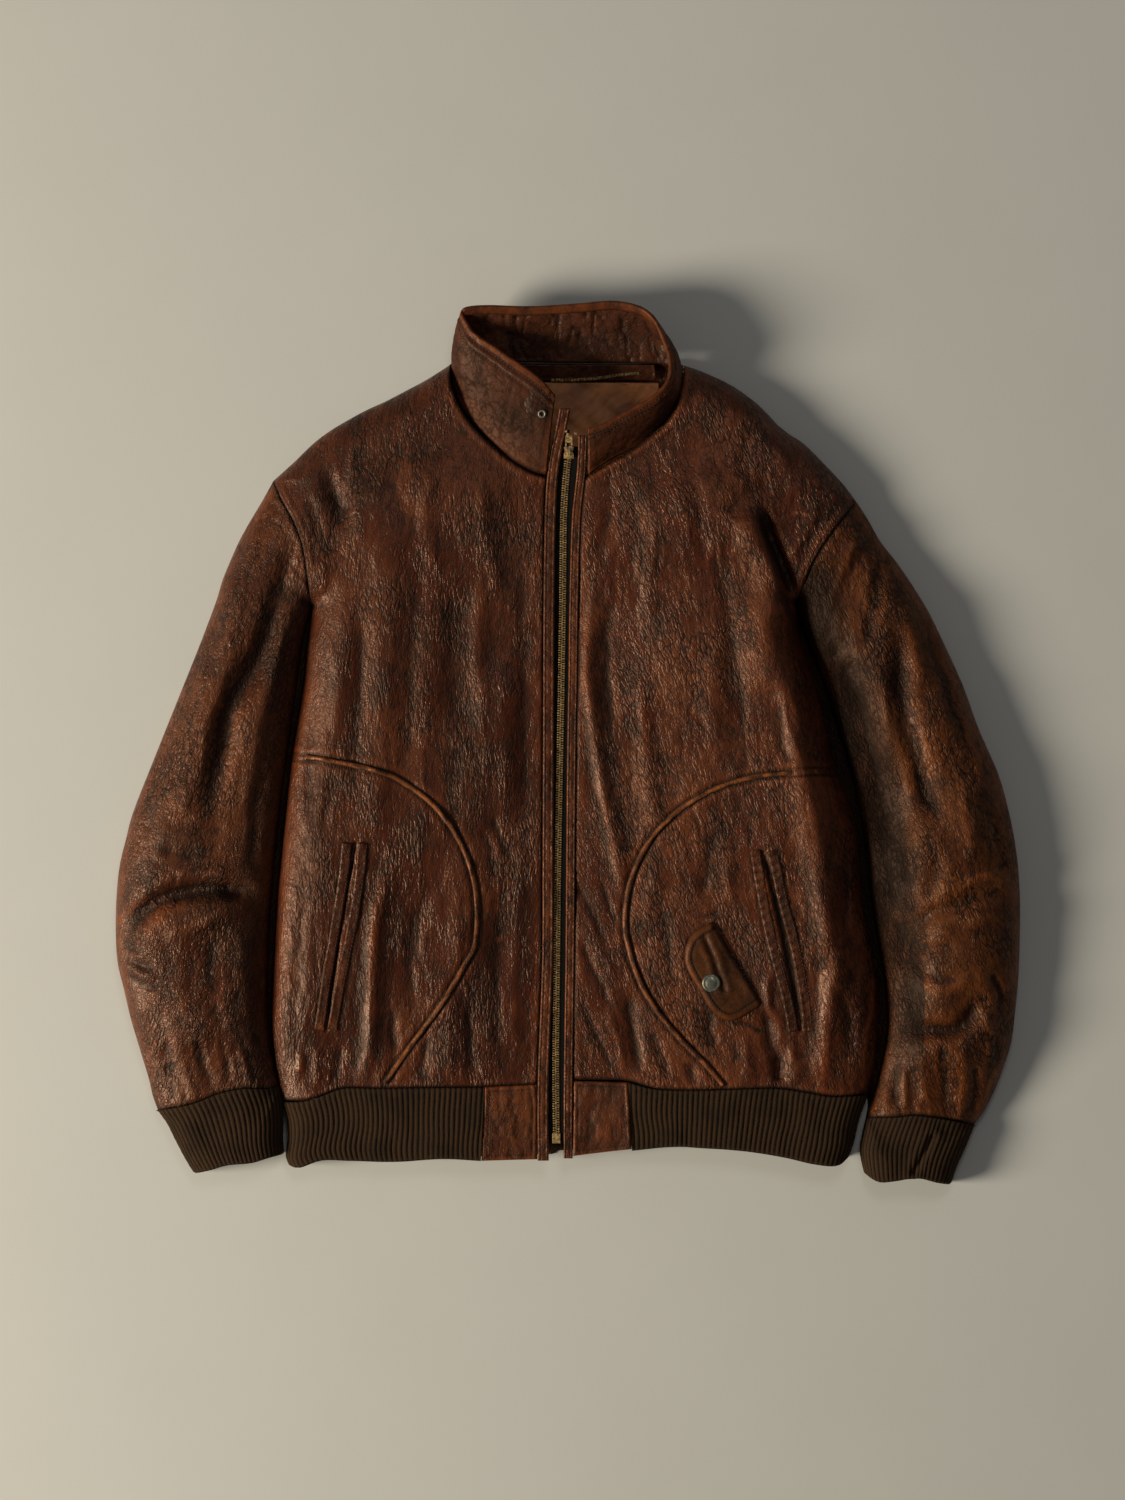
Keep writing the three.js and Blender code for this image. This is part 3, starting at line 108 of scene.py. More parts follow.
PIPING_L = [[231.9,-24.4],[212.7,-23.8],[184.0,-25.8],[164.0,-28.3],[139.6,-34.4],[115.3,-45.2],[
    90.9,-62.6],[71.8,-83.5],[59.6,-106.1],[52.2,-130.5],[50.0,-157.5],[54.4,-181.8],[63.9,-208.8],[
    78.7,-233.2],[98.7,-257.5],[120.5,-279.3],[135.3,-296.7]]
FLAP_L = [[125.7,-154.0],[107.0,-167.0],[101.8,-188.8],[114.2,-213.6],[126.6,-233.2],[143.6,-240.6],[
    169.2,-226.2]]
POCKET_R = [[-184.4,-86.1],[-187.5,-118.3],[-193.6,-157.5],[-201.4,-201.0],[-209.2,-248.8]]
POCKET_L = [[170.1,-92.2],[177.9,-133.1],[188.4,-177.5],[197.1,-215.8],[202.3,-249.7]]
CROWN = [[-23.9,-292.3,24],[-110.9,-292.3,27],[-206.6,-296.7,26],[-23.9,-179.2,27],[-119.6,-179.2,33],[
    -215.3,-179.2,34],[-23.9,-48.7,29],[-119.6,-48.7,37],[-206.6,-48.7,38],[-23.9,81.8,31],[
    -119.6,81.8,40],[-189.2,81.8,40],[-19.6,194.9,35],[-102.2,212.3,42],[-163.1,194.9,41],[
    -215.3,212.3,34],[-128.3,281.9,33],[-206.6,255.8,30],[-232.7,221.0,32],[10.9,-292.3,24],[
    97.9,-292.3,28],[219.7,-296.7,28],[10.9,-179.2,28],[115.3,-179.2,34],[219.7,-179.2,38],[
    15.2,-48.7,31],[115.3,-48.7,40],[206.6,-48.7,44],[19.6,81.8,34],[115.3,81.8,44],[
    180.5,81.8,47],[28.3,194.9,38],[115.3,203.6,47],[63.1,247.1,38],[132.7,273.2,38],[
    202.3,238.4,36],[237.1,212.3,34],[-258.8,160.1,34],[-284.9,90.5,40],[-311.0,12.2,42],[
    -337.1,-66.1,44],[-328.4,-135.7,44],[-328.4,-222.7,40],[-306.7,-292.3,30],[-284.9,-66.1,38],[
    -284.9,-179.2,36],[254.5,160.1,36],[289.3,81.8,40],[315.4,3.5,42],[332.8,-83.5,46],[
    328.4,-170.5,46],[324.1,-248.8,42],[311.0,-318.4,30],[276.2,-48.7,34],[289.3,-179.2,36]]
COLLAR = [[-18.3,231.9,38,-10.9,300.6,53],[-29.1,234.9,37.5,-17.0,308.0,54],[
    -43.1,241.9,36.5,-25.7,317.1,54],[-55.2,250.6,34.5,-36.1,324.9,53],[
    -68.3,261.9,32,-50.0,334.1,51],[-81.3,275.8,28,-65.7,345.0,48],[-92.7,291.4,23,-81.3,355.8,44],[
    -98.3,308.9,18,-89.2,367.1,40],[-100.0,322.8,14,-92.7,375.4,37],[
    -93.5,332.8,11.5,-86.6,379.5,36],[-74.4,334.1,10.4,-67.4,380.8,36],[
    -41.3,333.6,10.2,-32.6,379.7,37],[2.2,332.8,10.2,6.5,381.9,38],[41.3,332.8,10.2,39.6,384.2,41],[
    70.0,332.8,10.4,63.1,379.3,45],[88.3,331.5,12,76.1,368.9,50],[98.7,324.5,15.5,84.0,352.4,54],[
    98.7,309.7,20.5,90.0,332.3,58],[93.5,292.3,26,88.7,314.1,60],[81.3,274.9,30.5,76.1,299.3,60],[
    57.9,257.5,34.3,51.8,285.4,58],[35.2,244.5,36.9,30.9,274.9,56],[17.8,232.3,38,17.8,271.0,55]]
FOLDS = [
    ['F',[[-211.4,242.7],[-197.1,191.4],[-216.2,157.0]],9,9,-7],
    ['F',[[-187.0,195.8],[-211.4,159.2],[-218.8,116.6]],8,8,4],
    ['F',[[-156.2,189.7],[-158.8,71.3],[-165.7,-50.5],[-170.1,-84.4]],14,14,3],
    ['F',[[-94.7,138.3],[-94.7,3.5]],16,16,-4],
    ['F',[[-54.8,82.7],[-54.8,-83.5]],12,12,2.5],
    ['F',[[-156.2,-112.2],[-166.6,-149.6],[-170.1,-200.1],[-172.7,-262.7],[-181.4,-292.3]],9,5,4],
    ['F',[[-95.3,-92.2],[-93.5,-187.9]],14,14,4],
    ['F',[[-102.2,-212.3],[-104.0,-294.9]],13,13,4],
    ['F',[[-221.4,48.7],[-222.3,4.3],[-225.8,-61.8]],6,6,-3],
    ['F',[[161.4,205.3],[164.0,186.2],[178.8,149.6],[191.0,117.5],[199.7,99.2]],5,18,6],
    ['F',[[170.1,201.0],[173.6,183.6],[188.4,148.8],[198.8,122.7]],8,6,-9],
    ['F',[[130.9,200.1],[144.4,207.1],[162.3,220.1],[182.3,227.1]],7,7,-4],
    ['F',[[151.8,198.4],[157.0,164.4]],11,11,4],
    ['F',[[167.5,131.4],[172.7,42.6]],15,15,4],
    ['F',[[196.2,64.4],[200.5,-13.1]],12,12,4],
    ['F',[[22.2,138.3],[20.1,108.8],[17.0,75.7],[17.8,49.6],[24.5,-1.7],[32.6,-48.7],[42.2,-94.0],[48.3,-133.1]],8,5,3.5],
    ['F',[[82.2,89.2],[99.6,75.7],[119.6,67.0]],6,6,-3],
    ['F',[[89.2,-1.7],[89.2,-67.9]],16,16,-3.5],
    ['F',[[51.8,-216.6],[59.6,-265.4],[63.9,-287.1]],6,6,-4],
    ['F',[[171.8,-226.2],[176.2,-257.5],[183.1,-272.3],[182.3,-300.1]],6,6,-5],
    ['F',[[240.2,-175.3],[231.0,-206.2],[226.6,-239.2],[221.4,-297.5]],9,9,4],
    ['F',[[257.1,-162.7],[237.6,-177.5],[213.2,-196.6]],6,6,-3],
    ['S',[[-238.3,183.6],[-250.5,127.9],[-270.1,74.0],[-294.5,30.4],[-301.7,-8.7],[-311.5,-57.4],[-315.4,-73.1]],10,10,-6],
    ['S',[[-270.1,191.4],[-289.3,147.0],[-309.3,74.0],[-333.6,13.1],[-345.8,-40.9]],14,14,3],
    ['S',[[-351.0,-66.1],[-295.4,-78.3]],6,6,-3],
    ['S',[[-390.2,-167.0],[-351.0,-134.0],[-290.1,-125.3],[-258.8,-139.2]],8,10,-9],
    ['S',[[-351.0,-172.3],[-315.4,-153.1],[-284.9,-141.8],[-265.8,-150.5]],9,9,4],
    ['S',[[254.5,166.2],[224.0,120.9]],7,7,-4],
    ['S',[[249.3,95.7],[226.6,80.0]],6,6,-3],
    ['S',[[215.3,103.5],[241.4,61.8],[264.9,27.0]],9,9,-5],
    ['S',[[285.8,100.9],[291.0,34.8],[302.3,-9.6],[312.8,-46.1],[327.6,-80.0]],9,9,-5],
    ['S',[[319.7,59.2],[331.0,3.5]],12,12,3],
    ['S',[[393.7,-140.1],[367.1,-129.6],[332.8,-140.1],[313.6,-149.6],[301.5,-167.9]],8,8,-6],
    ['S',[[281.4,-222.7],[275.4,-246.2],[304.1,-247.9],[338.0,-246.2],[354.5,-228.8],[367.1,-214.9]],8,8,-6],
    ['S',[[285.8,-251.4],[285.8,-318.4]],6,6,-6],
    ['S',[[366.7,-199.2],[378.9,-230.6]],6,6,-3]]
CREASES = [
    ('F',[(-221.4,106.1),(-225.8,57.4),(-235.3,-4.3),(-239.7,-28.7),(-244.9,-77.4),(-249.3,-150.5),(-251.9,-212.3),(-250.1,-282.8)],4,4,1.2),
    ('F',[(-95.3,1.7),(-100.5,-40.0),(-97.9,-79.2)],7,7,-1.2),
    ('F',[(-128.3,160.1),(-133.5,90.5),(-137.0,20.9),(-142.2,-40.0)],8,8,-1.5),
    ('F',[(-76.1,160.1),(-77.9,90.5),(-72.6,20.9),(-70.0,-48.7)],6,6,1.3),
    ('F',[(-41.3,160.1),(-37.8,90.5),(-37.0,20.9),(-36.1,-74.8)],6,6,-1.0),
    ('F',[(-193.6,125.3),(-197.9,55.7),(-203.1,3.5)],9,9,1.6),
    ('F',[(-178.8,107.9),(-180.5,38.3),(-187.5,-40.0)],6,6,-1.4),
    ('F',[(-119.6,238.4),(-123.1,194.9),(-114.4,142.7)],7,7,1.6),
    ('F',[(-76.1,229.7),(-70.9,177.5),(-58.7,125.3)],8,8,1.5),
    ('F',[(-145.7,264.5),(-149.2,229.7),(-142.2,194.9)],7,7,-1.4),
    ('F',[(-65.7,-61.8),(-57.0,-83.5),(-50.0,-101.8)],3.5,3.5,-1.2),
    ('F',[(-76.1,-73.1),(-67.4,-92.2),(-61.3,-118.3)],3.5,3.5,-1.0),
    ('F',[(-54.4,-109.6),(-58.7,-170.5),(-61.3,-222.7),(-58.7,-283.6)],6,6,-1.3),
    ('F',[(-41.3,-100.9),(-43.9,-170.5),(-46.5,-231.4),(-43.1,-288.0)],5,5,1.0),
    ('F',[(-128.3,-135.7),(-135.3,-187.9),(-133.5,-231.4)],6,6,-1.6),
    ('F',[(-114.4,-127.0),(-110.9,-161.8)],5,5,1.0),
    ('F',[(-121.4,-248.8),(-128.3,-292.3)],4,4,-1.4),
    ('F',[(-84.8,-222.7),(-81.3,-292.3)],4,4,-1.5),
    ('F',[(-154.4,-231.4),(-150.9,-261.9),(-156.2,-294.9)],4,4,-1.5),
    ('F',[(-197.9,-261.9),(-199.7,-294.9)],4,4,-1.4),
    ('F',[(-217.1,-261.9),(-218.8,-296.7)],4,4,1.0),
    ('F',[(-231.9,-265.4),(-233.6,-287.1)],3.5,3.5,1.4),
    ('F',[(-227.5,-100.9),(-232.7,-161.8),(-236.2,-222.7),(-237.9,-266.2)],5,5,-1.2),
    ('F',[(-201.4,-22.6),(-206.6,-48.7),(-213.6,-74.8)],5,5,-1.0),
    ('F',[(-206.6,221.0),(-199.7,207.9),(-187.5,201.8)],4,4,-1.3),
    ('F',[(-228.4,212.3),(-218.8,199.2),(-213.6,177.5)],4.5,4.5,-1.6),
    ('F',[(-180.5,273.2),(-187.5,251.4),(-184.9,229.7)],5,5,1.3),
    ('F',[(38.7,238.4),(33.5,194.9),(30.0,151.4)],6,6,-1.3),
    ('F',[(63.1,238.4),(73.5,194.9),(71.8,142.7),(68.3,90.5)],9,9,1.6),
    ('F',[(97.9,264.5),(106.6,229.7),(115.3,194.9),(118.8,142.7)],8,8,-1.8),
    ('F',[(38.7,125.3),(33.5,73.1),(38.7,12.2)],5,5,-1.4),
    ('F',[(63.1,73.1),(66.6,20.9),(71.8,-40.0),(73.5,-83.5)],8,8,1.6),
    ('F',[(132.7,160.1),(139.6,107.9),(148.3,47.0),(151.8,-5.2)],8,8,-2.0),
    ('F',[(180.5,38.3),(186.6,3.5),(193.6,-18.3)],5,5,-1.6),
    ('F',[(128.3,90.5),(125.7,38.3),(130.9,-13.9)],8,8,1.6),
    ('F',[(8.3,-118.3),(21.3,-148.8),(31.8,-177.5)],3.5,3.5,-1.1),
    ('F',[(10.9,-170.5),(24.8,-201.0),(37.0,-227.1)],3.5,3.5,-1.2),
    ('F',[(12.6,-222.7),(26.5,-253.2),(38.7,-285.4)],3.5,3.5,-1.2),
    ('F',[(16.1,-144.4),(28.3,-174.9),(42.2,-205.3)],3.5,3.5,0.9),
    ('F',[(28.3,-118.3),(38.7,-144.4),(43.9,-161.8)],3,3,-0.9),
    ('F',[(35.2,-231.4),(43.9,-257.5),(50.9,-288.0)],3.5,3.5,1.0),
    ('F',[(71.8,-248.8),(82.2,-270.6),(87.4,-292.3)],4,4,-1.4),
    ('F',[(106.6,-274.9),(110.1,-297.5)],4,4,-1.3),
    ('F',[(76.1,-109.6),(70.0,-135.7),(68.3,-161.8)],6,6,1.2),
    ('F',[(84.8,-135.7),(87.4,-179.2),(94.4,-214.0)],6,6,-1.4),
    ('F',[(120.5,-230.6),(124.0,-248.8),(130.1,-265.4)],3.5,3.5,-1.6),
    ('F',[(106.6,-227.1),(110.1,-248.8),(118.8,-266.2)],4,4,1.0),
    ('F',[(144.0,-241.9),(158.8,-245.3),(171.8,-251.4)],3,3,-1.6),
    ('F',[(118.8,-150.5),(132.7,-145.3)],2.2,2.2,-1.0),
    ('F',[(176.2,-196.6),(173.6,-223.6),(180.5,-243.6)],3.5,3.5,1.8),
    ('F',[(182.3,-272.3),(184.0,-292.3)],4,4,-2.2),
    ('F',[(195.3,-261.9),(198.8,-296.7)],4,4,1.6),
    ('F',[(154.4,-257.5),(157.0,-296.7)],5,5,1.4),
    ('F',[(141.4,-92.2),(139.6,-118.3),(146.6,-140.1)],6,6,1.4),
    ('F',[(128.3,-74.8),(122.2,-109.6),(115.3,-140.1)],5,5,-1.3),
    ('F',[(212.7,-109.6),(223.2,-153.1),(224.9,-179.2)],6,6,1.6),
    ('F',[(241.4,-100.9),(242.3,-135.7),(238.8,-166.2)],5,5,-1.4),
    ('F',[(190.1,38.3),(202.3,3.5),(219.7,-20.9)],5,5,-1.5),
    ('F',[(217.9,212.3),(207.5,186.2),(193.6,160.1)],5,5,1.4),
    ('F',[(181.4,264.5),(190.1,238.4),(202.3,212.3)],7,7,1.6),
    ('F',[(158.8,281.9),(157.0,255.8),(150.1,229.7)],7,7,-1.4),
    ('F',[(231.9,-209.7),(244.0,-240.1),(245.8,-274.9)],5,5,-1.8),
    ('S',[(-250.1,207.9),(-265.8,173.1),(-283.2,134.0)],5,5,-1.6),
    ('S',[(-278.0,160.1),(-297.1,116.6),(-313.6,73.1)],6,6,-1.6),
    ('S',[(-300.6,90.5),(-321.5,38.3),(-337.1,-5.2)],6,6,-1.8),
    ('S',[(-241.4,125.3),(-253.6,73.1),(-265.8,20.9),(-274.5,-31.3),(-279.7,-83.5)],6,6,1.8),
    ('S',[(-286.7,90.5),(-304.1,38.3),(-316.2,-5.2),(-323.2,-48.7)],5,5,1.4),
    ('S',[(-354.5,-13.9),(-363.2,-48.7),(-366.7,-83.5)],6,6,-1.4),
    ('S',[(-328.4,-31.3),(-333.6,-61.8)],6,6,1.4),
    ('S',[(-265.8,-13.9),(-272.7,-66.1),(-276.2,-109.6)],6,6,-1.6),
    ('S',[(-300.6,-87.9),(-328.4,-94.0),(-354.5,-88.7)],5,5,-1.5),
    ('S',[(-345.8,-107.9),(-319.7,-113.1),(-291.9,-109.6)],6,6,1.8),
    ('S',[(-390.2,-170.5),(-382.4,-177.5),(-373.7,-174.0)],6,6,-3.0),
    ('S',[(-300.6,-121.8),(-293.6,-130.5),(-283.2,-129.6)],5,5,-3.0),
    ('S',[(-392.8,-180.1),(-377.1,-189.7),(-358.0,-193.1)],4,4,-2.0),
    ('S',[(-385.8,-201.0),(-366.7,-209.7),(-347.6,-208.8)],4,4,-1.4),
    ('S',[(-389.3,-189.7),(-373.7,-199.2),(-354.5,-201.0)],4,4,1.2),
    ('S',[(-331.9,-166.2),(-337.1,-201.0),(-331.9,-240.1)],8,8,1.6),
    ('S',[(-307.5,-161.8),(-309.3,-205.3),(-302.3,-248.8)],7,7,-1.8),
    ('S',[(-284.9,-157.5),(-281.4,-205.3),(-276.2,-248.8)],6,6,1.5),
    ('S',[(-269.3,-166.2),(-265.8,-214.0),(-264.0,-248.8)],4,4,-1.5),
    ('S',[(-361.5,-222.7),(-351.0,-257.5),(-344.1,-292.3)],6,6,-1.5),
    ('S',[(-323.2,-257.5),(-314.5,-283.6),(-309.3,-304.5)],5,5,-1.6),
    ('S',[(-298.8,-268.0),(-295.4,-285.4),(-291.9,-299.3)],3.5,3.5,-1.8),
    ('S',[(-284.9,-262.7),(-279.7,-281.9),(-276.2,-297.5)],3.5,3.5,1.5),
    ('S',[(-273.6,-250.6),(-265.8,-261.9),(-257.1,-274.9)],3.5,3.5,-1.8),
    ('S',[(-271.0,-268.0),(-262.3,-280.1),(-257.1,-292.3)],3,3,-1.5),
    ('S',[(-335.4,-274.9),(-328.4,-296.7),(-324.9,-309.7)],4,4,1.3),
    ('S',[(256.2,186.2),(237.1,147.0),(224.9,116.6)],5,5,1.8),
    ('S',[(271.9,160.1),(264.9,116.6),(259.7,81.8)],6,6,-2.0),
    ('S',[(293.6,134.0),(299.7,90.5),(310.2,47.0)],7,7,1.8),
    ('S',[(311.0,103.5),(327.6,55.7),(343.2,7.8)],6,6,-1.6),
    ('S',[(331.0,64.4),(350.2,7.8),(365.8,-44.4)],6,6,1.4),
    ('S',[(271.9,73.1),(275.4,20.9),(280.6,-31.3)],7,7,1.8),
    ('S',[(252.7,47.0),(264.9,-5.2),(271.9,-48.7)],5,5,-1.5),
    ('S',[(293.6,-13.9),(299.7,-57.4),(303.2,-100.9)],7,7,1.8),
    ('S',[(341.5,-40.0),(348.4,-74.8),(351.9,-109.6)],7,7,1.8),
    ('S',[(363.2,-48.7),(372.8,-83.5),(376.3,-118.3)],6,6,-1.6),
    ('S',[(320.6,-92.2),(317.1,-118.3),(310.2,-140.1)],6,6,-2.4),
    ('S',[(285.8,-92.2),(289.3,-127.0),(291.0,-157.5)],6,6,2.0),
    ('S',[(386.7,-118.3),(363.2,-114.8),(339.7,-121.8)],5,5,1.8),
    ('S',[(391.9,-157.5),(367.6,-151.4),(343.2,-160.1)],7,7,2.0),
    ('S',[(298.0,-174.9),(315.4,-179.2),(337.1,-174.0)],6,6,-2.0),
    ('S',[(293.6,-192.3),(311.0,-209.7),(332.8,-214.0),(351.9,-201.0)],7,7,2.4),
    ('S',[(366.7,-199.2),(375.4,-214.0),(378.9,-230.6)],4,4,-2.0),
    ('S',[(363.2,-246.2),(371.1,-261.0),(374.5,-276.7)],4,4,-1.8),
    ('S',[(355.4,-222.7),(367.6,-248.8),(365.8,-274.9)],5,5,1.6),
    ('S',[(306.7,-261.9),(310.2,-292.3),(308.4,-316.7)],5,5,1.6),
    ('S',[(322.3,-257.5),(327.6,-292.3),(327.6,-320.2)],5,5,-1.8),
    ('S',[(339.7,-261.9),(343.2,-296.7),(341.5,-325.4)],5,5,1.4),
    ('S',[(351.9,-274.9),(355.4,-301.0),(351.9,-325.4)],4,4,-1.6),
    ('S',[(271.9,-276.7),(275.4,-301.0),(275.4,-320.2)],5,5,2.2),
    ('S',[(292.8,-276.7),(292.8,-318.4)],4,4,2.4)]
SNAG_S = [(-270.1,196.1),(-264.0,197.5)]
SNAG_F = [(197.1,200.7),(206.1,199.0)]
NICKS = [(-59.1,-170.1),(55.6,39.1)]
SLIT_R = [(-184.4,-86.1),(-197.9,-147.9),(-204.9,-197.5),(-210.1,-248.8)]
WELT_R_OUT = [(-194.4,-84.0),(-207.5,-142.7),(-218.8,-200.1),(-224.0,-247.9)]
WELT_R_IN = [(-174.4,-83.5),(-184.0,-137.5),(-193.9,-185.3),(-197.9,-227.1),(-206.6,-248.8)]
SLIT_L = [(168.3,-93.1),(176.2,-115.7),(184.0,-146.2),(190.1,-172.3),(194.9,-199.2),(200.3,-232.3),(202.9,-248.8)]
WELT_L_IN = [(157.6,-93.1),(158.8,-99.2),(164.0,-130.1),(172.3,-159.2),(177.6,-186.2),(180.3,-209.7),(186.6,-236.6),(194.9,-252.3)]
WELT_L_OUT = [(177.6,-87.0),(183.1,-100.9),(194.9,-130.1),(202.3,-161.8),(206.2,-186.2),(208.4,-212.3),(211.0,-246.2)]
SIDE_RUB_AND_HIGHLIGHT_L = [(266.2,-206.2),(264.0,-236.6),(259.7,-248.8),(256.2,-298.4)]
SLEEVE_SEAM_L = [(372.8,-283.6),(365.0,-303.6),(355.4,-326.2)]

# ---- lines ----
def smooth(poly, step=5.0):
    """a Catmull-Rom line through the points, as points about a step apart"""
    p = np.asarray(poly, float)
    if len(p) < 3:
        n = max(2, int(np.hypot(*(p[1] - p[0])[:2]) / step) + 1)
        return p[0] + (p[1] - p[0]) * np.linspace(0, 1, n)[:, None]
    q = np.vstack([2 * p[0] - p[1], p, 2 * p[-1] - p[-2]])
    out = []
    for i in range(1, len(q) - 2):
        a, b, c, d = q[i - 1], q[i], q[i + 1], q[i + 2]
        n = max(2, int(np.linalg.norm(c - b) / step) + 1)
        t = np.linspace(0, 1, n, endpoint=False)[:, None]
        m1 = (c - a) * 0.5
        m2 = (d - b) * 0.5
        out.append((2 * t**3 - 3 * t**2 + 1) * b + (t**3 - 2 * t**2 + t) * m1 + (-2 * t**3 + 3 * t**2) * c + (t**3 - t**2) * m2)
    out.append(p[-1:])
    return np.vstack(out)


def at(line, f):
    """points at fractions f of a line's length"""
    line = np.asarray(line, float)
    d = np.linalg.norm(np.diff(line[:, :2], axis=0), axis=1)
    s = np.concatenate([[0], np.cumsum(d)])
    f = np.clip(np.asarray(f, float), 0, 1) * s[-1]
    return np.stack([np.interp(f, s, line[:, k]) for k in range(line.shape[1])], -1)


def at_x(line, y):
    line = np.asarray(line, float)
    o = np.argsort(line[:, 1])
    return np.interp(y, line[o, 1], line[o, 0])


def near(X, Y, line):
    """distance to a line, the side it is on, the nearest point and its fraction"""
    p = np.asarray(line, float)
    seg = np.diff(p[:, :2], axis=0)
    L = np.hypot(seg[:, 0], seg[:, 1])
    tot, run = L.sum(), 0.0
    best = np.full(X.shape, 1e9)
    side, f, px, py = (np.zeros(X.shape) for _ in range(4))
    for i in range(len(seg)):
        dx, dy = seg[i]
        l2 = dx * dx + dy * dy + 1e-12
        t = np.clip(((X - p[i, 0]) * dx + (Y - p[i, 1]) * dy) / l2, 0, 1)
        qx, qy = p[i, 0] + dx * t, p[i, 1] + dy * t
        d = np.hypot(X - qx, Y - qy)
        m = d < best
        best = np.where(m, d, best)
        side = np.where(m, np.sign(dx * (Y - p[i, 1]) - dy * (X - p[i, 0])), side)
        f = np.where(m, (run + t * L[i]) / tot, f)
        px, py = np.where(m, qx, px), np.where(m, qy, py)
        run += L[i]
    return best, side, f, px, py


def dist(X, Y, line, reach=60.0):
    """distance to a line, worked out only where it matters"""
    X, Y = np.asarray(X, float), np.asarray(Y, float)
    p = np.asarray(line, float)
    out = np.full(X.shape, 1e3)
    m = (X > p[:, 0].min() - reach) & (X < p[:, 0].max() + reach) & (Y > p[:, 1].min() - reach) & (Y < p[:, 1].max() + reach)
    if m.any():
        out[m] = near(X[m], Y[m], p)[0]
    return out


def coons(bottom, top, left, right, U, V):
    """plan points of a patch between four lines; U runs left to right, V bottom to top"""
    u, v = U[0], V[:, 0]
    b, t, l, r = at(bottom, u)[None], at(top, u)[None], left(v)[:, None], right(v)[:, None]
    U, V = U[..., None], V[..., None]
    (b0, b1), (t0, t1) = at(bottom, [0, 1]), at(top, [0, 1])
    return (1 - V) * b + V * t + (1 - U) * l + U * r - (
        (1 - U) * (1 - V) * b0 + U * (1 - V) * b1 + (1 - U) * V * t0 + U * V * t1)


# ---- noise ----
def _hash(i, j, seed):
    n = (i * 374761393 + j * 668265263 + seed * 974634777) & 0xFFFFFFFF
    n = ((n ^ (n >> 13)) * 1274126177) & 0xFFFFFFFF
    return ((n ^ (n >> 16)) & 0xFFFF) / 32767.5 - 1.0


def noise(x, y, seed=0):
    xi, yi = np.floor(x).astype(np.int64), np.floor(y).astype(np.int64)
    u, v = x - xi, y - yi
    u, v = u * u * u * (u * (u * 6 - 15) + 10), v * v * v * (v * (v * 6 - 15) + 10)
    return ((_hash(xi, yi, seed) * (1 - u) + _hash(xi + 1, yi, seed) * u) * (1 - v)
            + (_hash(xi, yi + 1, seed) * (1 - u) + _hash(xi + 1, yi + 1, seed) * u) * v)


def fbm(x, y, seed=0, octaves=3):
    z, a = 0.0, 1.0
    for k in range(octaves):
        z = z + a * noise(x * 2**k + 17.3 * k, y * 2**k - 9.1 * k, seed + k)
        a *= 0.5
    return z


def creased(x, y, seed=0):
    """soft mounds between narrow valleys: -1 in a valley, towards 1 on a mound"""
    n = np.abs(noise(x, y, seed) + 0.35 * noise(x * 2.1, y * 2.1, seed + 5))
    return 2 * np.clip(n * 2.6, 0, 1) ** 0.6 - 1.3


def step01(x, a, b):
    t = np.clip((x - a) / (b - a), 0, 1)
    return t * t * (3 - 2 * t)


# ---- smoothed seam lines ----
L = {k: smooth(v) for k, v in dict(
    SHOULDER_R=SHOULDER_R, SHOULDER_L=SHOULDER_L, SLEEVE_OUT_R=SLEEVE_OUT_R, SLEEVE_OUT_L=SLEEVE_OUT_L,
    SLEEVE_IN_R=SLEEVE_IN_R, SLEEVE_IN_L=SLEEVE_IN_L, SIDE_R=SIDE_R, SIDE_L=SIDE_L, ARMHOLE_R=ARMHOLE_R,
    ARMHOLE_L=ARMHOLE_L, NECK_R=NECK_R, NECK_L=NECK_L, HEM_R=HEM_R, HEM_L=HEM_L, CUFF_SEAM_R=CUFF_SEAM_R,
    CUFF_SEAM_L=CUFF_SEAM_L, CUFF_END_R=CUFF_END_R, CUFF_END_L=CUFF_END_L, CUFF_OUT_R=CUFF_OUT_R,
    CUFF_OUT_L=CUFF_OUT_L, CUFF_IN_R=CUFF_IN_R, CUFF_IN_L=CUFF_IN_L, RIB_END_R=RIB_END_R, RIB_END_L=RIB_END_L,
    RIB_SIDE_R=RIB_SIDE_R, RIB_SIDE_L=RIB_SIDE_L, ZIP=ZIP, PLACKET_R=PLACKET_R, PLACKET_L=PLACKET_L,
    PIPING_R=PIPING_R, PIPING_L=PIPING_L, FLAP_L=FLAP_L).items()}
L["BACK_NECK"] = smooth([SHOULDER_R[0], [-98, 333.4], [-60, 333], [0, 332], [60, 332], [90, 333.5], SHOULDER_L[0]])
EDGES = [("SHOULDER_R", ROLL_SHOULDER, "FSB"), ("SHOULDER_L", ROLL_SHOULDER, "FSB"),
         ("SLEEVE_OUT_R", ROLL_SLEEVE, "FSB"), ("SLEEVE_OUT_L", ROLL_SLEEVE, "FSB"),
         ("SLEEVE_IN_R", ROLL_SLEEVE, "S"), ("SLEEVE_IN_L", ROLL_SLEEVE, "S"),
         ("SIDE_R", ROLL_BODY, "FB"), ("SIDE_L", ROLL_BODY, "FB"), ("BACK_NECK", ROLL_SHOULDER, "B"),
         ("RIB_SIDE_R", 26, "FB"), ("RIB_SIDE_L", 26, "FB"),
         ("CUFF_OUT_R", 24, "S"), ("CUFF_OUT_L", 24, "S"), ("CUFF_IN_R", 24, "S"), ("CUFF_IN_L", 24, "S")]


# the cloth stands sharper than its solid: folds deeper, the sleeves' crests higher
def _sharper(p, q, a, b, c):
    long_ = sum(math.dist(q[i], q[i + 1]) for i in range(len(q) - 1))
    k = 1.12 if p == "S" else 1.2
    return [p, q, a, b, c * k * (1.0 if long_ > 110 else 0.62 if long_ > 60 else 0.36)]


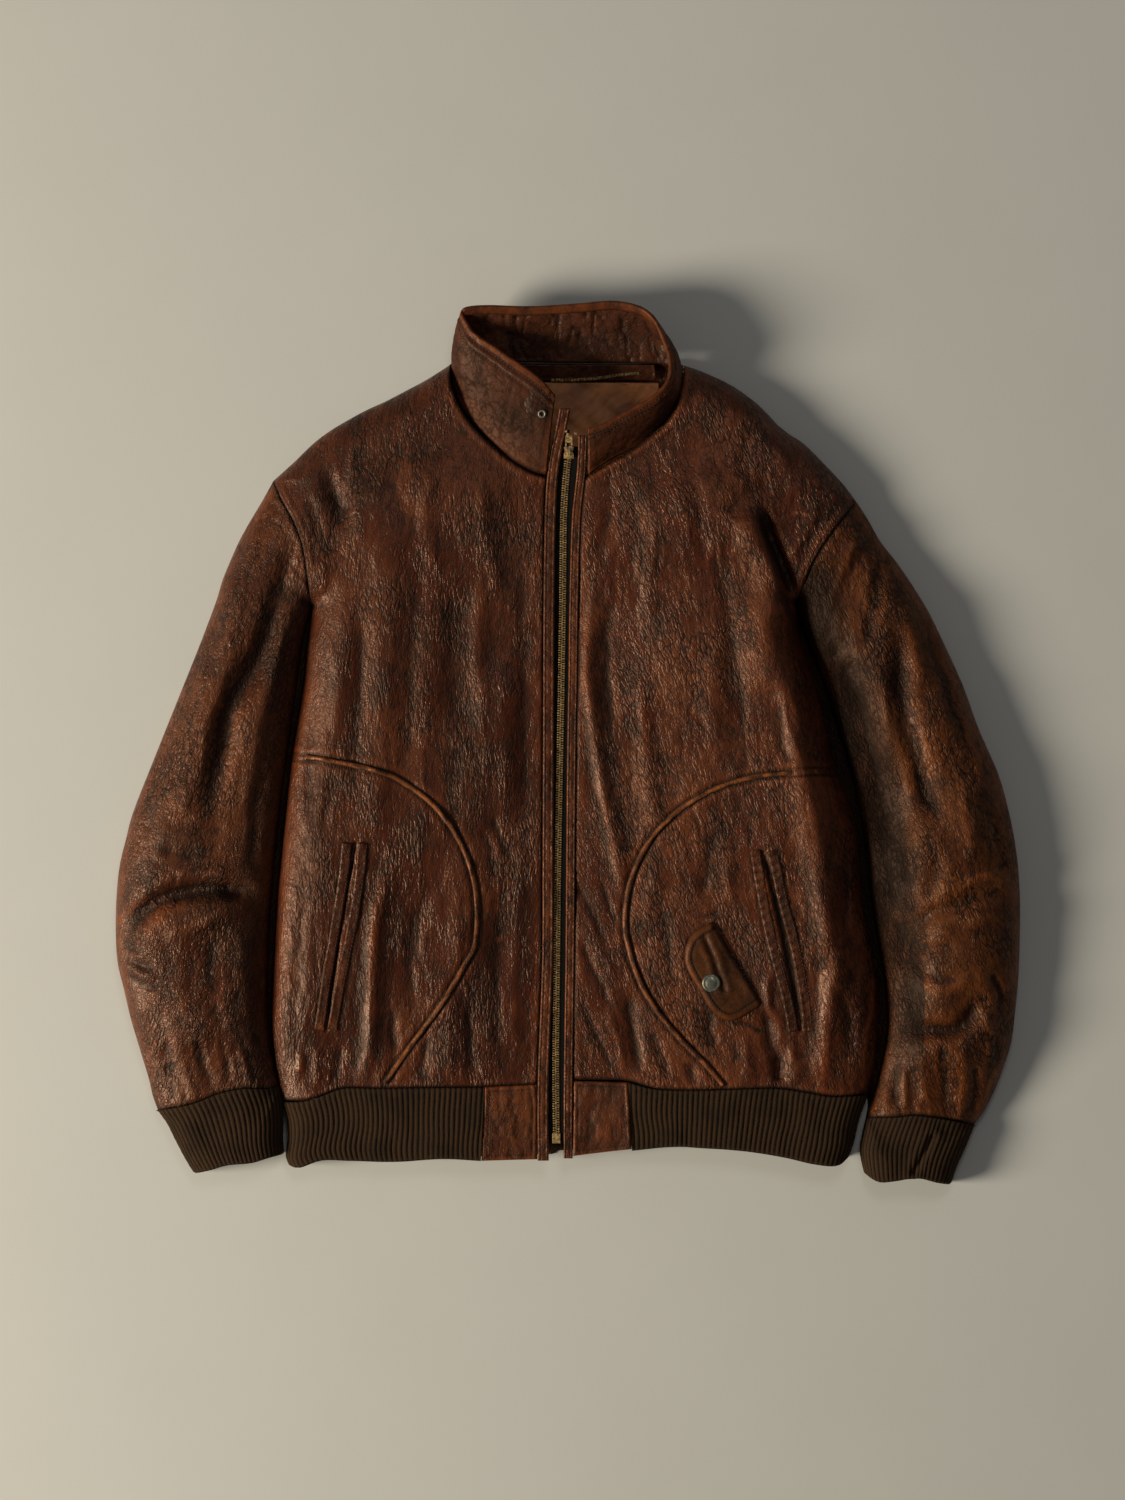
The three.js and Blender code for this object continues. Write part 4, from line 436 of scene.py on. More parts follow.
MORE_FOLDS = [_sharper(*f) for f in FOLDS] + [
    ["S", [[-262, 196], [-285, 146], [-304, 92], [-322, 40], [-334, -6]], 13, 7, 4.0],
    ["S", [[-246, 120], [-268, 70], [-292, 20], [-300, -30]], 12, 12, -4.5],
    ["S", [[206, 112], [226, 70], [248, 20], [262, -40], [276, -110], [288, -190], [288, -240]], 22, 24, -15.0],
    ["F", [[172, 116], [192, 50], [204, -20], [216, -90], [228, -160], [232, -230]], 14, 13, 5.5],
    ["F", [[172, 203], [177, 183], [190, 150], [202, 118]], 3, 7, -5.0]]


def crown(X, Y):
    w = np.zeros(X.shape)
    z = np.zeros(X.shape)
    for cx, cy, cz in CROWN:
        q = ((X - cx) ** 2 + (Y - cy) ** 2 + 220.0) ** -1.7
        w += q
        z += q * cz
    return z / w


def strokes(X, Y, panel, table, soft=0.0):
    z = np.zeros(X.shape)
    for p, poly, wl, wr, a in table:
        if p != panel:
            continue
        line = smooth(poly, 4.0)
        r = 3.2 * max(wl, wr)
        m = (X > line[:, 0].min() - r) & (X < line[:, 0].max() + r) & (Y > line[:, 1].min() - r) & (Y < line[:, 1].max() + r)
        if not m.any():
            continue
        x, y = X[m], Y[m]
        if soft:                                   # small creases wander a little
            x = x + soft * noise(x / 14, y / 14, 91)
            y = y + soft * noise(x / 14, y / 14, 92)
        d, side, f, _, _ = near(x, y, line)
        w = np.where(side >= 0, wl, wr)
        ends = np.minimum(1, np.minimum(f / 0.2 + 0.1, (1 - f) / 0.2 + 0.1))
        z[m] += a * ends * np.exp(-((d / w) ** 2))
    return z


def rolled(X, Y, panel):
    """nearest rolled edge: distance over its rounding, the distance, and the way out to it"""
    best = np.full(X.shape, 1e9)
    d0, ex, ey = (np.zeros(X.shape) for _ in range(3))
    for name, R, who in EDGES:
        if panel not in who:
            continue
        line = L[name]
        r = R + 5
        m = (X > line[:, 0].min() - r) & (X < line[:, 0].max() + r) & (Y > line[:, 1].min() - r) & (Y < line[:, 1].max() + r)
        if not m.any():
            continue
        d, _, _, px, py = near(X[m], Y[m], line)
        q = d / R
        k = q < best[m]
        idx = np.flatnonzero(m.ravel())[k.ravel() if k.ndim > 1 else k]
        for arr, val in ((best, q), (d0, d), (ex, px - X[m]), (ey, py - Y[m])):
            arr.ravel()[idx] = val[k]
    return best, d0, ex, ey


def dome(q):
    return np.sqrt(np.clip(1 - (1 - np.clip(q, 0, 1)) ** 2, 0, 1))


TILT_R, TILT_L = math.atan2(80, 280), -math.atan2(95, 260)


def wrinkles(X, Y, panel):
    """the leather's own creasing, a few millimetres apart, mostly lengthways"""
    if panel == "F":
        # the fronts crease down the body; low on the wearer's left they lean towards the hem corner
        lean = 0.45 * step01(-Y, 60, 190) * step01(X, -5, 40) * (1 - step01(X, 95, 170))
        lean = lean + 0.10 * noise(X / 120, Y / 150, 3)
        x, y = X * np.cos(lean) + Y * np.sin(lean), -X * np.sin(lean) + Y * np.cos(lean)
        x = x + 2.2 * noise(X / 24, Y / 46, 7)
        z = 0.22 * creased(x / 10, y / 52, 11) + 0.24 * creased(x / 5.6, y / 26, 23) + 0.15 * creased(x / 3.9, y / 15, 31)
        z = z * (0.65 + 0.5 * noise(X / 70, Y / 90, 41))
        z = z + 0.8 * noise(X / 34, Y / 95, 51)
    else:
        a = np.where(X < 0, TILT_R, TILT_L)
        x, y = X * np.cos(a) - Y * np.sin(a), X * np.sin(a) + Y * np.cos(a)
        x = x + 3.0 * noise(X / 30, Y / 40, 8)
        y = y + 3.0 * noise(X / 30, Y / 40, 9)
        z = 0.26 * creased(x / 11, y / 34, 61) + 0.26 * creased(x / 6.5, y / 15, 67) + 0.16 * creased(x / 4.2, y / 7.5, 71)
        z = z * (0.7 + 0.5 * noise(X / 60, Y / 60, 81)) + 0.9 * noise(X / 40, Y / 60, 85)
    return z


def seam_lip(d, width=9.0, high=0.7, sink=1.1):
    """how a turned and stitched edge stands: sunk at the seam, proud beside it"""
    return -sink * np.exp(-((d / 1.3) ** 2)) + high * np.exp(-(((d - width * 0.45) / (width * 0.42)) ** 2)) \
        - 0.38 * np.exp(-(((d - width * 0.36) / 0.75) ** 2)) - 0.38 * np.exp(-(((d - width * 0.92) / 0.75) ** 2))


def top_z(X, Y, panel, detail=True):
    """height of the top layer above the surface, mm"""
    X, Y = np.asarray(X, float), np.asarray(Y, float)
    q, _, _, _ = rolled(X, Y, panel)
    g = dome(q)
    z = EDGE_Z + (crown(X, Y) - EDGE_Z) * g + strokes(X, Y, panel, MORE_FOLDS if detail else FOLDS) * g * g
    if not detail:
        return z
    fine = strokes(X, Y, panel, CREASES, 1.6) * 1.15 + wrinkles(X, Y, panel)
    if panel == "F":
        for side in "RL":
            arm = dist(X, Y, L["ARMHOLE_" + side], 24)
            fine += seam_lip(arm, 9.5, 0.8)
            hem = dist(X, Y, L["HEM_" + side], 24)
            fine += -1.4 * np.exp(-((hem / 1.6) ** 2)) + 0.5 * np.exp(-(((hem - 6) / 4) ** 2)) * noise(X / 6, Y / 40, 101)
            neck = dist(X, Y, L["NECK_" + side], 24)
            fine += -1.2 * np.exp(-((neck / 1.5) ** 2)) + 0.7 * np.exp(-(((neck - 4) / 3) ** 2))
            pipe = dist(X, Y, L["PIPING_" + side], 16)
            fine += -0.9 * np.exp(-(((pipe - 2.6) / 1.3) ** 2)) + 0.45 * np.exp(-(((pipe - 7) / 4) ** 2)) * (0.6 + noise(X / 9, Y / 9, 103))
        zip_r = np.abs(X - at_x(L["PLACKET_R"], Y) + STRIP_R)
        zip_l = np.abs(X - at_x(L["PLACKET_L"], Y) - STRIP_L)
        for d in (zip_r, zip_l):
            fine += -0.9 * np.exp(-((d / 1.4) ** 2)) + 0.35 * np.exp(-(((d - 4) / 3) ** 2)) * noise(X / 30, Y / 7, 107)
    else:
        for side in "RL":
            arm = dist(X, Y, L["ARMHOLE_" + side], 40)
            fine += -1.1 * np.exp(-((arm / 1.3) ** 2)) + 0.9 * np.exp(-arm / 10) * noise((X + Y) / 7, (X - Y) / 60, 111)
            cuff = dist(X, Y, L["CUFF_SEAM_" + side], 50)
            fine += -1.6 * np.exp(-((cuff / 1.8) ** 2)) + 2.0 * np.exp(-cuff / 13) * noise(X / 7.5, Y / 60, 113)
    edge = np.clip(q * 3.0, 0, 1)
    return z + fine * edge


def under_z(X, Y, panel):
    """the layer on the table: flat, curling up to its rolled edges"""
    q, d, _, _ = rolled(X, Y, panel)
    d = np.where(q > 1e8, 1e3, d)
    h = EDGE_Z - SEAM
    return np.where(d >= CURL, 0.0, h * (1 - dome(d / CURL)))


# ---- meshes ----
def normals_of(P, wrap=False):
    if wrap:
        Q = np.concatenate([P[:, -1:], P, P[:, :1]], 1)
        du = Q[:, 2:] - Q[:, :-2]
    else:
        du = np.gradient(P, axis=1)
    dv = np.gradient(P, axis=0)
    n = np.cross(du, dv)
    n /= np.linalg.norm(n, axis=-1, keepdims=True) + 1e-12
    return n


def blur(Z, k):
    for ax in (0, 1):
        n = Z.shape[ax]
        kk = min(k, max(1, n // 2 - 1))
        pad = [(0, 0), (0, 0)]
        pad[ax] = (kk + 1, kk)
        c = np.cumsum(np.pad(Z, pad, mode="edge"), axis=ax)
        hi = np.take(c, range(2 * kk + 1, n + 2 * kk + 1), axis=ax)
        lo = np.take(c, range(0, n), axis=ax)
        Z = (hi - lo) / (2 * kk + 1)
    return Z


def zipper(a, fa, b, fb, flip=False):
    """triangles between two chains of vertices"""
    out, i, j = [], 0, 0
    while i < len(a) - 1 or j < len(b) - 1:
        if j == len(b) - 1 or (i < len(a) - 1 and fa[i + 1] <= fb[j + 1]):
            t = (a[i], a[i + 1], b[j])
            i += 1
        else:
            t = (a[i], b[j + 1], b[j])
            j += 1
        out.append(t[::-1] if flip else t)
    return out


def mesh_object(name, verts, faces, smooth_count=None, attrs=None):
    me = bpy.data.meshes.new(name)
    v = np.asarray(verts, float).reshape(-1, 3).copy()
    v[:, 0] += SHIFT_X
    v[:, 1] += SHIFT_Y
    me.from_pydata((v / 1000.0).tolist(), [], [tuple(int(i) for i in f) for f in faces])
    flags = np.ones(len(me.polygons), bool)
    if smooth_count is not None:
        flags[smooth_count:] = False
    me.polygons.foreach_set("use_smooth", flags)
    for key, values in (attrs or {}).items():
        a = me.attributes.new(key, "FLOAT", "POINT")
        a.data.foreach_set("value", np.asarray(values, np.float32))
    me.update()
    me.validate()
    ob = bpy.data.objects.new(name, me)
    bpy.context.scene.collection.objects.link(ob)
    return ob


def cloth(name, P, thick, wrap=False, coarse=4, attrs=None, outward=None):
    """a closed thin shell: P is the fine outer face (rows x columns, mm), its inner face is coarser"""
    R, C = P.shape[:2]
    N = normals_of(P, wrap)
    if isinstance(outward, str):
        if outward == "radial":
            sign = (N * (P - P.mean(axis=1, keepdims=True))).sum()
        elif outward == "band":
            sign = (N[..., 2] * (P[..., 2] - 12)).sum()
        else:                                  # the collar faces away from the neck, its facing towards it
            mid = P[R // 2].mean(axis=0)
            sign = (N[R // 2] * (P[R // 2] - mid)).sum() * (1 if outward == "collar" else -1)
        N = N if sign > 0 else -N
    elif outward is not None and (N * outward).sum() < 0:
        N = -N
    ri = list(range(0, R - 1, coarse)) + [R - 1]
    ci = list(range(0, C, coarse)) if wrap else list(range(0, C - 1, coarse)) + [C - 1]
    S = np.dstack([blur(P[..., k], 2) for k in range(3)]) if not wrap else P
    Q = (S - N * thick)[np.ix_(ri, ci)]
    verts = np.vstack([P.reshape(-1, 3), Q.reshape(-1, 3)])
    idx = np.arange(R * C).reshape(R, C)
    jdx = R * C + np.arange(len(ri) * len(ci)).reshape(len(ri), len(ci))
    du = P[R // 2, (C // 2 + 1) % C] - P[R // 2, C // 2]
    dv = P[min(R // 2 + 1, R - 1), C // 2] - P[R // 2, C // 2]
    ccw = float(np.dot(np.cross(du, dv), N[R // 2, C // 2])) > 0

    def quads(g):
        h = np.concatenate([g, g[:, :1]], 1) if wrap else g
        return np.stack([h[:-1, :-1], h[:-1, 1:], h[1:, 1:], h[1:, :-1]], -1).reshape(-1, 4)
    out, inn = quads(idx), quads(jdx)
    if not ccw:
        out = out[:, ::-1]
    else:
        inn = inn[:, ::-1]
    rim = []
    fa, fb = np.arange(C), np.array(ci)
    ends = ((idx[0], jdx[0], True), (idx[-1], jdx[-1], False))
    for a, b, flip in ends:
        a, b, x, y = list(a), list(b), list(fa), list(fb)
        if wrap:
            a, b, x, y = a + a[:1], b + b[:1], x + [C], y + [C]
        rim += zipper(a, x, b, y, flip == ccw)
    if not wrap:
        fa, fb = np.arange(R), np.array(ri)
        rim += zipper(list(idx[:, 0]), list(fa), list(jdx[:, 0]), list(fb), not ccw)
        rim += zipper(list(idx[:, -1]), list(fa), list(jdx[:, -1]), list(fb), ccw)
    faces = out.tolist() + inn.tolist() + rim
    full = {}
    for key, val in (attrs or {}).items():
        full[key] = np.concatenate([val.ravel(), val[np.ix_(ri, ci)].ravel()])
    return mesh_object(name, verts, faces, len(out), full)


def cavities(P, k1=3, k2=9):
    """ridge (+) and valley (-) of a face, from its height against its surroundings"""
    Z = P[..., 2]
    return np.clip((Z - blur(Z, k1)) / 0.55, -1, 1), np.clip((Z - blur(Z, k2)) / 2.2, -1, 1)

# ---- materials ----
def material(name):
    m = bpy.data.materials.new(name)
    m.use_nodes = True
    nt = m.node_tree
    nt.nodes.clear()
    out = nt.nodes.new("ShaderNodeOutputMaterial")
    b = nt.nodes.new("ShaderNodeBsdfPrincipled")
    nt.links.new(b.outputs[0], out.inputs[0])
    return m, nt, b


class Net:
    """short hand for building node trees"""
    def __init__(self, nt):
        self.nt = nt
        self.obj = self.node("ShaderNodeTexCoord").outputs["Object"]

    def node(self, kind, **kw):
        n = self.nt.nodes.new(kind)
        for k, v in kw.items():
            setattr(n, k, v)
        return n

    def put(self, sock, v):
        if isinstance(v, bpy.types.NodeSocket):
            self.nt.links.new(v, sock)
        else:
            sock.default_value = v

    def coords(self, cells_mm, angle=0.0, warp=None):
        """object coordinates turned by angle, then one unit for each cell (x, y, z in mm)"""
        v = self.obj
        if warp:
            n = self.node("ShaderNodeTexNoise")
            n.inputs["Scale"].default_value = 1000.0 / warp[0]
            n.inputs["Detail"].default_value = 1.0
            sub = self.node("ShaderNodeVectorMath", operation="SUBTRACT")
            self.put(sub.inputs[0], n.outputs["Color"])
            sub.inputs[1].default_value = (0.5, 0.5, 0.5)
            self.put(n.inputs["Vector"], self.obj)
            sc = self.node("ShaderNodeVectorMath", operation="SCALE")
            self.put(sc.inputs[0], sub.outputs[0])
            sc.inputs["Scale"].default_value = warp[1] / 1000.0
            add = self.node("ShaderNodeVectorMath", operation="ADD")
            self.put(add.inputs[0], v)
            self.put(add.inputs[1], sc.outputs[0])
            v = add.outputs[0]
        r = self.node("ShaderNodeVectorRotate", rotation_type="Z_AXIS")
        self.put(r.inputs["Vector"], v)
        r.inputs["Angle"].default_value = angle
        m = self.node("ShaderNodeMapping")
        self.put(m.inputs["Vector"], r.outputs[0])
        m.inputs["Scale"].default_value = tuple(1000.0 / c for c in cells_mm)
        return m.outputs[0]

    def noise(self, vec, scale=1.0, detail=3.0, rough=0.55, distort=0.0):
        n = self.node("ShaderNodeTexNoise")
        self.put(n.inputs["Vector"], vec)
        n.inputs["Scale"].default_value = scale
        n.inputs["Detail"].default_value = detail
        n.inputs["Roughness"].default_value = rough
        n.inputs["Distortion"].default_value = distort
        return n.outputs["Fac"]

    def cells(self, vec, feature="DISTANCE_TO_EDGE", jitter=1.0):
        n = self.node("ShaderNodeTexVoronoi", feature=feature)
        self.put(n.inputs["Vector"], vec)
        n.inputs["Scale"].default_value = 1.0
        n.inputs["Randomness"].default_value = jitter
        return n.outputs["Distance"]

    def math(self, op, a, b=None, c=None, clamp=False):
        n = self.node("ShaderNodeMath", operation=op, use_clamp=clamp)
        self.put(n.inputs[0], a)
        if b is not None:
            self.put(n.inputs[1], b)
        if c is not None:
            self.put(n.inputs[2], c)
        return n.outputs[0]

    def span(self, v, lo, hi, to_lo=0.0, to_hi=1.0, smooth=True):
        n = self.node("ShaderNodeMapRange", interpolation_type="SMOOTHSTEP" if smooth else "LINEAR")
        self.put(n.inputs[0], v)
        for i, x in zip((1, 2, 3, 4), (lo, hi, to_lo, to_hi)):
            n.inputs[i].default_value = x
        return n.outputs[0]

    def attr(self, name):
        return self.node("ShaderNodeAttribute", attribute_name=name).outputs["Fac"]

    def mix(self, f, a, b, mode="MIX"):
        n = self.node("ShaderNodeMix", data_type="RGBA", blend_type=mode)
        self.put(n.inputs[0], f)
        for i, v in ((6, a), (7, b)):
            self.put(n.inputs[i], v if isinstance(v, bpy.types.NodeSocket) else (*v, 1.0) if len(v) == 3 else v)
        return n.outputs[2]

    def bump(self, h, mm, strength=1.0, normal=None):
        n = self.node("ShaderNodeBump")
        self.put(n.inputs["Height"], h)
        n.inputs["Strength"].default_value = strength
        n.inputs["Distance"].default_value = mm / 1000.0
        if normal is not None:
            self.put(n.inputs["Normal"], normal)
        return n.outputs[0]


def valley(net, v, width):
    """1 on the mounds, 0 in a narrow valley wherever a noise crosses its middle"""
    a = net.math("ABSOLUTE", net.math("SUBTRACT", v, 0.5))
    return net.span(a, 0.0, width)


def leather(name, base, dark, light, grain=(3.4, 17.0), angle=0.0, crackle=0.5, rough=0.345, worn_and_highlit=1.0, bump=1.0, specular=0.46, net_=1.0):
    m, nt, b = material(name)
    net = Net(nt)
    # creases: soft ridges at two sizes, then a net of short cracks, pebbles and pores
    c1 = net.coords((grain[0] * 2.3, grain[1] * 1.9, 9), angle, (40, 12))
    c2 = net.coords((grain[0], grain[1], 5), angle, (18, 7.0))
    c3 = net.coords((2.6, 3.4, 2.6), angle, (8, 2.6))
    c4 = net.coords((grain[0] * 0.80, grain[1] * 0.92, 5), angle, (11, 5.5))
    mesh = net.span(net.cells(c4), 0.0, 0.20)
    n1 = net.noise(c1, 1, 3.0, 0.5)
    n2 = net.noise(c2, 1, 2.0, 0.5)
    v1, v2 = valley(net, n1, 0.045), valley(net, n2, 0.060)
    crack = net.span(net.cells(c3), 0.0, 0.14)
    pebble = net.noise(net.coords((1.7, 2.4, 1.7), angle), 1, 2, 0.55)
    pores = net.noise(net.coords((0.8, 0.8, 0.8)), 1, 2, 0.6)
    where = net.span(net.noise(net.coords((46, 64, 46)), 1, 2.0, 0.6), 0.40, 0.62)
    amount = net.math("MULTIPLY", where, crackle)
    keep = net.math("SUBTRACT", 1.0, amount)
    crack = net.math("ADD", net.math("MULTIPLY", crack, amount), keep)
    cav, cav2 = net.attr("ridge"), net.attr("fold")
    wear_and_highlight, shade_and_dark_marks = net.attr("wear_and_highlight"), net.attr("dark")
    # where the hide is creased most
    busy = net.span(net.noise(net.coords((34, 70, 40), angle), 1, 2.0, 0.6), 0.38, 0.64, 0.16, 1.0)
    # height
    h = net.math("ADD", net.math("MULTIPLY", n1, 1.3), net.math("MULTIPLY", net.math("MULTIPLY", n2, busy), 0.75))
    h = net.math("ADD", h, net.math("MULTIPLY", net.math("MULTIPLY", mesh, busy), 0.38 * net_))
    h = net.math("ADD", h, net.math("MULTIPLY", net.math("MULTIPLY", v2, busy), 0.16))
    h = net.math("ADD", h, net.math("MULTIPLY", v1, 0.14))
    h = net.math("ADD", h, net.math("MULTIPLY", crack, 0.22))
    h = net.math("ADD", h, net.math("MULTIPLY", pebble, 0.42))
    h = net.math("ADD", h, net.math("MULTIPLY", pores, 0.05))
    net.put(b.inputs["Normal"], net.bump(h, 1.0 * bump, 1.0))
    # colour: the grain's valleys keep darker dye; the geometry's valleys and folds are painted shade; mounds and ridges
    # are lighter, partly rubbed wear and partly painted highlight
    tone = net.noise(net.coords((58, 84, 58), angle), 1, 4.0, 0.6)
    cloud = net.noise(net.coords((24, 40, 24), angle, (20, 8)), 1, 4.0, 0.65)
    top = net.span(net.math("MULTIPLY", v1, v2), 0.0, 1.0, 0.62, 1.0)
    top = net.math("MULTIPLY", top, net.span(crack, 0.2, 1.0, 0.72, 1.0))
    top = net.math("MULTIPLY", top, net.span(net.math("ADD", mesh, net.math("SUBTRACT", 1.0, busy)), 0.0, 1.0, 1 - 0.58 * net_, 1.0))
    # painted shade: darker in the geometry's valleys and big folds (ridge and fold attributes)
    top = net.math("MULTIPLY", top, net.span(cav, -1.0, 0.0, 0.60, 1.0))
    top = net.math("MULTIPLY", top, net.span(cav2, -1.0, 0.0, 0.85, 1.0))
    top = net.math("MULTIPLY", top, net.span(cloud, 0.32, 0.58, 0.62, 1.0))
    top = net.span(top, 0.18, 1.0)
    col = net.mix(top, dark, base)
    lift = net.math("MULTIPLY", net.span(tone, 0.42, 0.66), top)
    col = net.mix(net.math("MULTIPLY", lift, 0.80 * worn_and_highlit), col, light)
    # lighter on the geometry's ridges: rubbed wear and painted highlight
    rub_and_highlight = net.math("MULTIPLY", net.span(cav, 0.25, 1.0), net.span(cloud, 0.42, 0.66))
    col = net.mix(net.math("MULTIPLY", rub_and_highlight, 0.40 * worn_and_highlit), col, light)
    # the wear attribute: rubbed wear, and in places a painted highlight on lit edges and crests
    rubbed_and_highlit = (min(1, light[0] * 1.50), light[1] * 1.28, light[2] * 0.95)
    patchy = net.span(net.noise(net.coords((3, 6, 5), angle, (8, 2)), 1, 3, 0.65), 0.30, 0.60, 0.25, 1.0)
    wv = net.math("MULTIPLY", wear_and_highlight, patchy, clamp=True)
    col = net.mix(wv, col, rubbed_and_highlit)
    # the dark attribute: dark seams and marks, and painted shade in slots, folds and between parts
    col = net.mix(net.math("MULTIPLY", shade_and_dark_marks, 0.92), col, (dark[0] * .35, dark[1] * .35, dark[2] * .35))
    net.put(b.inputs["Base Color"], col)
    r = net.math("ADD", net.math("ADD", net.span(top, 0.0, 1.0, rough + 0.20, rough), net.math("MULTIPLY", shade_and_dark_marks, 0.25)), net.math("MULTIPLY", net.math("SUBTRACT", tone, 0.5), 0.30), clamp=True)
    net.put(b.inputs["Roughness"], r)
    b.inputs["Specular IOR Level"].default_value = specular
    b.inputs["Specular Tint"].default_value = (1.0, 0.64, 0.44, 1.0)
    return m


def knit(name, base, dark):
    """wool rib: the ribs are modelled, the stitches on them are v shaped bumps"""
    m, nt, b = material(name)
    net = Net(nt)
    fuzz = net.noise(net.coords((0.8, 1.6, 0.8)), 1, 3, 0.7)
    loops = net.node("ShaderNodeTexWave", wave_type="BANDS", bands_direction="Y", wave_profile="SIN")
    net.put(loops.inputs["Vector"], net.coords((1, 1, 1)))
    loops.inputs["Scale"].default_value = 0.62
    loops.inputs["Distortion"].default_value = 2.2
    loops.inputs["Detail"].default_value = 1.0
    h = net.math("ADD", net.math("MULTIPLY", loops.outputs["Fac"], 0.5), fuzz)
    net.put(b.inputs["Normal"], net.bump(h, 0.45, 1.0))
    tone = net.noise(net.coords((30, 30, 30)), 1, 3, 0.6)
    # darker in the ribs' troughs: painted shade
    col = net.mix(net.span(net.attr("ridge"), -0.4, 0.6), dark, base)
    col = net.mix(net.math("MULTIPLY", net.span(fuzz, 0.35, 0.7), 0.35), col, tuple(c * 1.7 for c in base))
    col = net.mix(net.math("MULTIPLY", net.span(tone, 0.45, 0.7), 0.35), col, dark)
    net.put(b.inputs["Base Color"], col)
    b.inputs["Roughness"].default_value = 0.92
    b.inputs["Specular IOR Level"].default_value = 0.2
    return m


def satin(name, base, dark):
    m, nt, b = material(name)
    net = Net(nt)
    weave = net.noise(net.coords((0.5, 3.0, 1.0), 0.9), 1, 2, 0.5)
    soft = net.noise(net.coords((26, 60, 30), 0.9, (30, 8)), 1, 3, 0.6)
    net.put(b.inputs["Normal"], net.bump(net.math("ADD", net.math("MULTIPLY", soft, 4.0), net.math("MULTIPLY", weave, 0.25)), 0.8, 0.8))
    # darker where the bump's soft folds lie low: painted shade
    col = net.mix(net.span(soft, 0.35, 0.65), dark, base)
    net.put(b.inputs["Base Color"], col)
    b.inputs["Roughness"].default_value = 0.5
    b.inputs["Specular IOR Level"].default_value = 0.25
    return m


def brass(name, base, dark, rough=0.36, metal=1.0):
    m, nt, b = material(name)
    net = Net(nt)
    n = net.noise(net.coords((2.2, 2.2, 2.2)), 1, 4, 0.65)
    fine = net.noise(net.coords((0.4, 0.4, 0.4)), 1, 2, 0.6)
    net.put(b.inputs["Base Color"], net.mix(net.span(n, 0.38, 0.66), dark, base))
    net.put(b.inputs["Roughness"], net.span(n, 0.3, 0.7, rough + 0.22, rough - 0.06))
    net.put(b.inputs["Normal"], net.bump(fine, 0.06, 0.6))
    b.inputs["Metallic"].default_value = metal
    return m


def tape(name, base):
    m, nt, b = material(name)
    net = Net(nt)
    w = net.noise(net.coords((0.7, 1.1, 0.9)), 1, 2, 0.6)
    net.put(b.inputs["Base Color"], net.mix(net.span(w, 0.3, 0.7), tuple(c * 0.5 for c in base), base))
    net.put(b.inputs["Normal"], net.bump(w, 0.3, 0.9))
    b.inputs["Roughness"].default_value = 0.9
    b.inputs["Specular IOR Level"].default_value = 0.1
    return m


def thread(name, base):
    m, nt, b = material(name)
    net = Net(nt)
    w = net.noise(net.coords((0.5, 0.5, 0.5)), 1, 2, 0.6)
    t = net.noise(net.coords((22, 22, 22)), 1, 2, 0.6)
    c = net.mix(net.span(w, 0.3, 0.7), tuple(c * 0.55 for c in base), base)
    net.put(b.inputs["Base Color"], net.mix(net.math("MULTIPLY", net.span(t, 0.4, 0.65), 0.6), c, tuple(c * 0.35 for c in base)))
    net.put(b.inputs["Normal"], net.bump(w, 0.12, 0.8))
    b.inputs["Roughness"].default_value = 0.7
    return m


BASE, DARKB, LIGHT = (0.058, 0.0118, 0.0043), (0.008, 0.0025, 0.0014), (0.110, 0.0285, 0.0090)
M_FRONT = leather("front leather", BASE, DARKB, LIGHT, (4.4, 16), 0.0, 0.35)
M_FRONT_L = leather("front leather left", (0.080, 0.0165, 0.0056), DARKB, (0.138, 0.0365, 0.0110), (4.4, 13), -0.35, 0.5)
M_SLEEVE_R = leather("sleeve leather right", (0.074, 0.0180, 0.0062), DARKB, (0.130, 0.0375, 0.0120), (5.0, 12), TILT_R, 0.95, bump=1.2)
M_SLEEVE_L = leather("sleeve leather left", (0.084, 0.0215, 0.0058), DARKB, (0.155, 0.0460, 0.0115), (5.0, 13), TILT_L, 0.7, bump=1.1, specular=0.33)
M_COLLAR = leather("collar leather", (0.056, 0.0135, 0.0045), DARKB, (0.100, 0.0275, 0.0085), (9, 11), 0.6, 0.2, 0.50, bump=0.55, specular=0.28, net_=0.15)
M_FACING = leather("facing leather", (0.060, 0.0170, 0.0075), (0.010, 0.004, 0.003), (0.105, 0.032, 0.014), (8, 8), 0.3, 0.35, 0.36, net_=0.3)
M_STRIP = leather("strip leather", (0.060, 0.0135, 0.0045), DARKB, (0.150, 0.0400, 0.0110), (5, 8), 0.2, 0.3, 0.38, bump=0.8, net_=0.3)
M_TAN = leather("flap leather", (0.056, 0.0155, 0.0035), (0.014, 0.0045, 0.002), (0.100, 0.0300, 0.0070), (10, 10), 0.5, 0.2, 0.42, 0.9, 0.45, specular=0.32, net_=0.1)
M_PIPE = leather("piping leather", (0.115, 0.0330, 0.010), (0.020, 0.006, 0.003), (0.200, 0.064, 0.020), (3, 3), 0.5, 0.3, 0.38, 1.0, 0.4)
M_BACK = leather("back leather", BASE, DARKB, LIGHT, (5, 20), 0.0, 0.35)
M_KNIT = knit("rib knit", (0.050, 0.0235, 0.0078), (0.006, 0.0032, 0.0018))
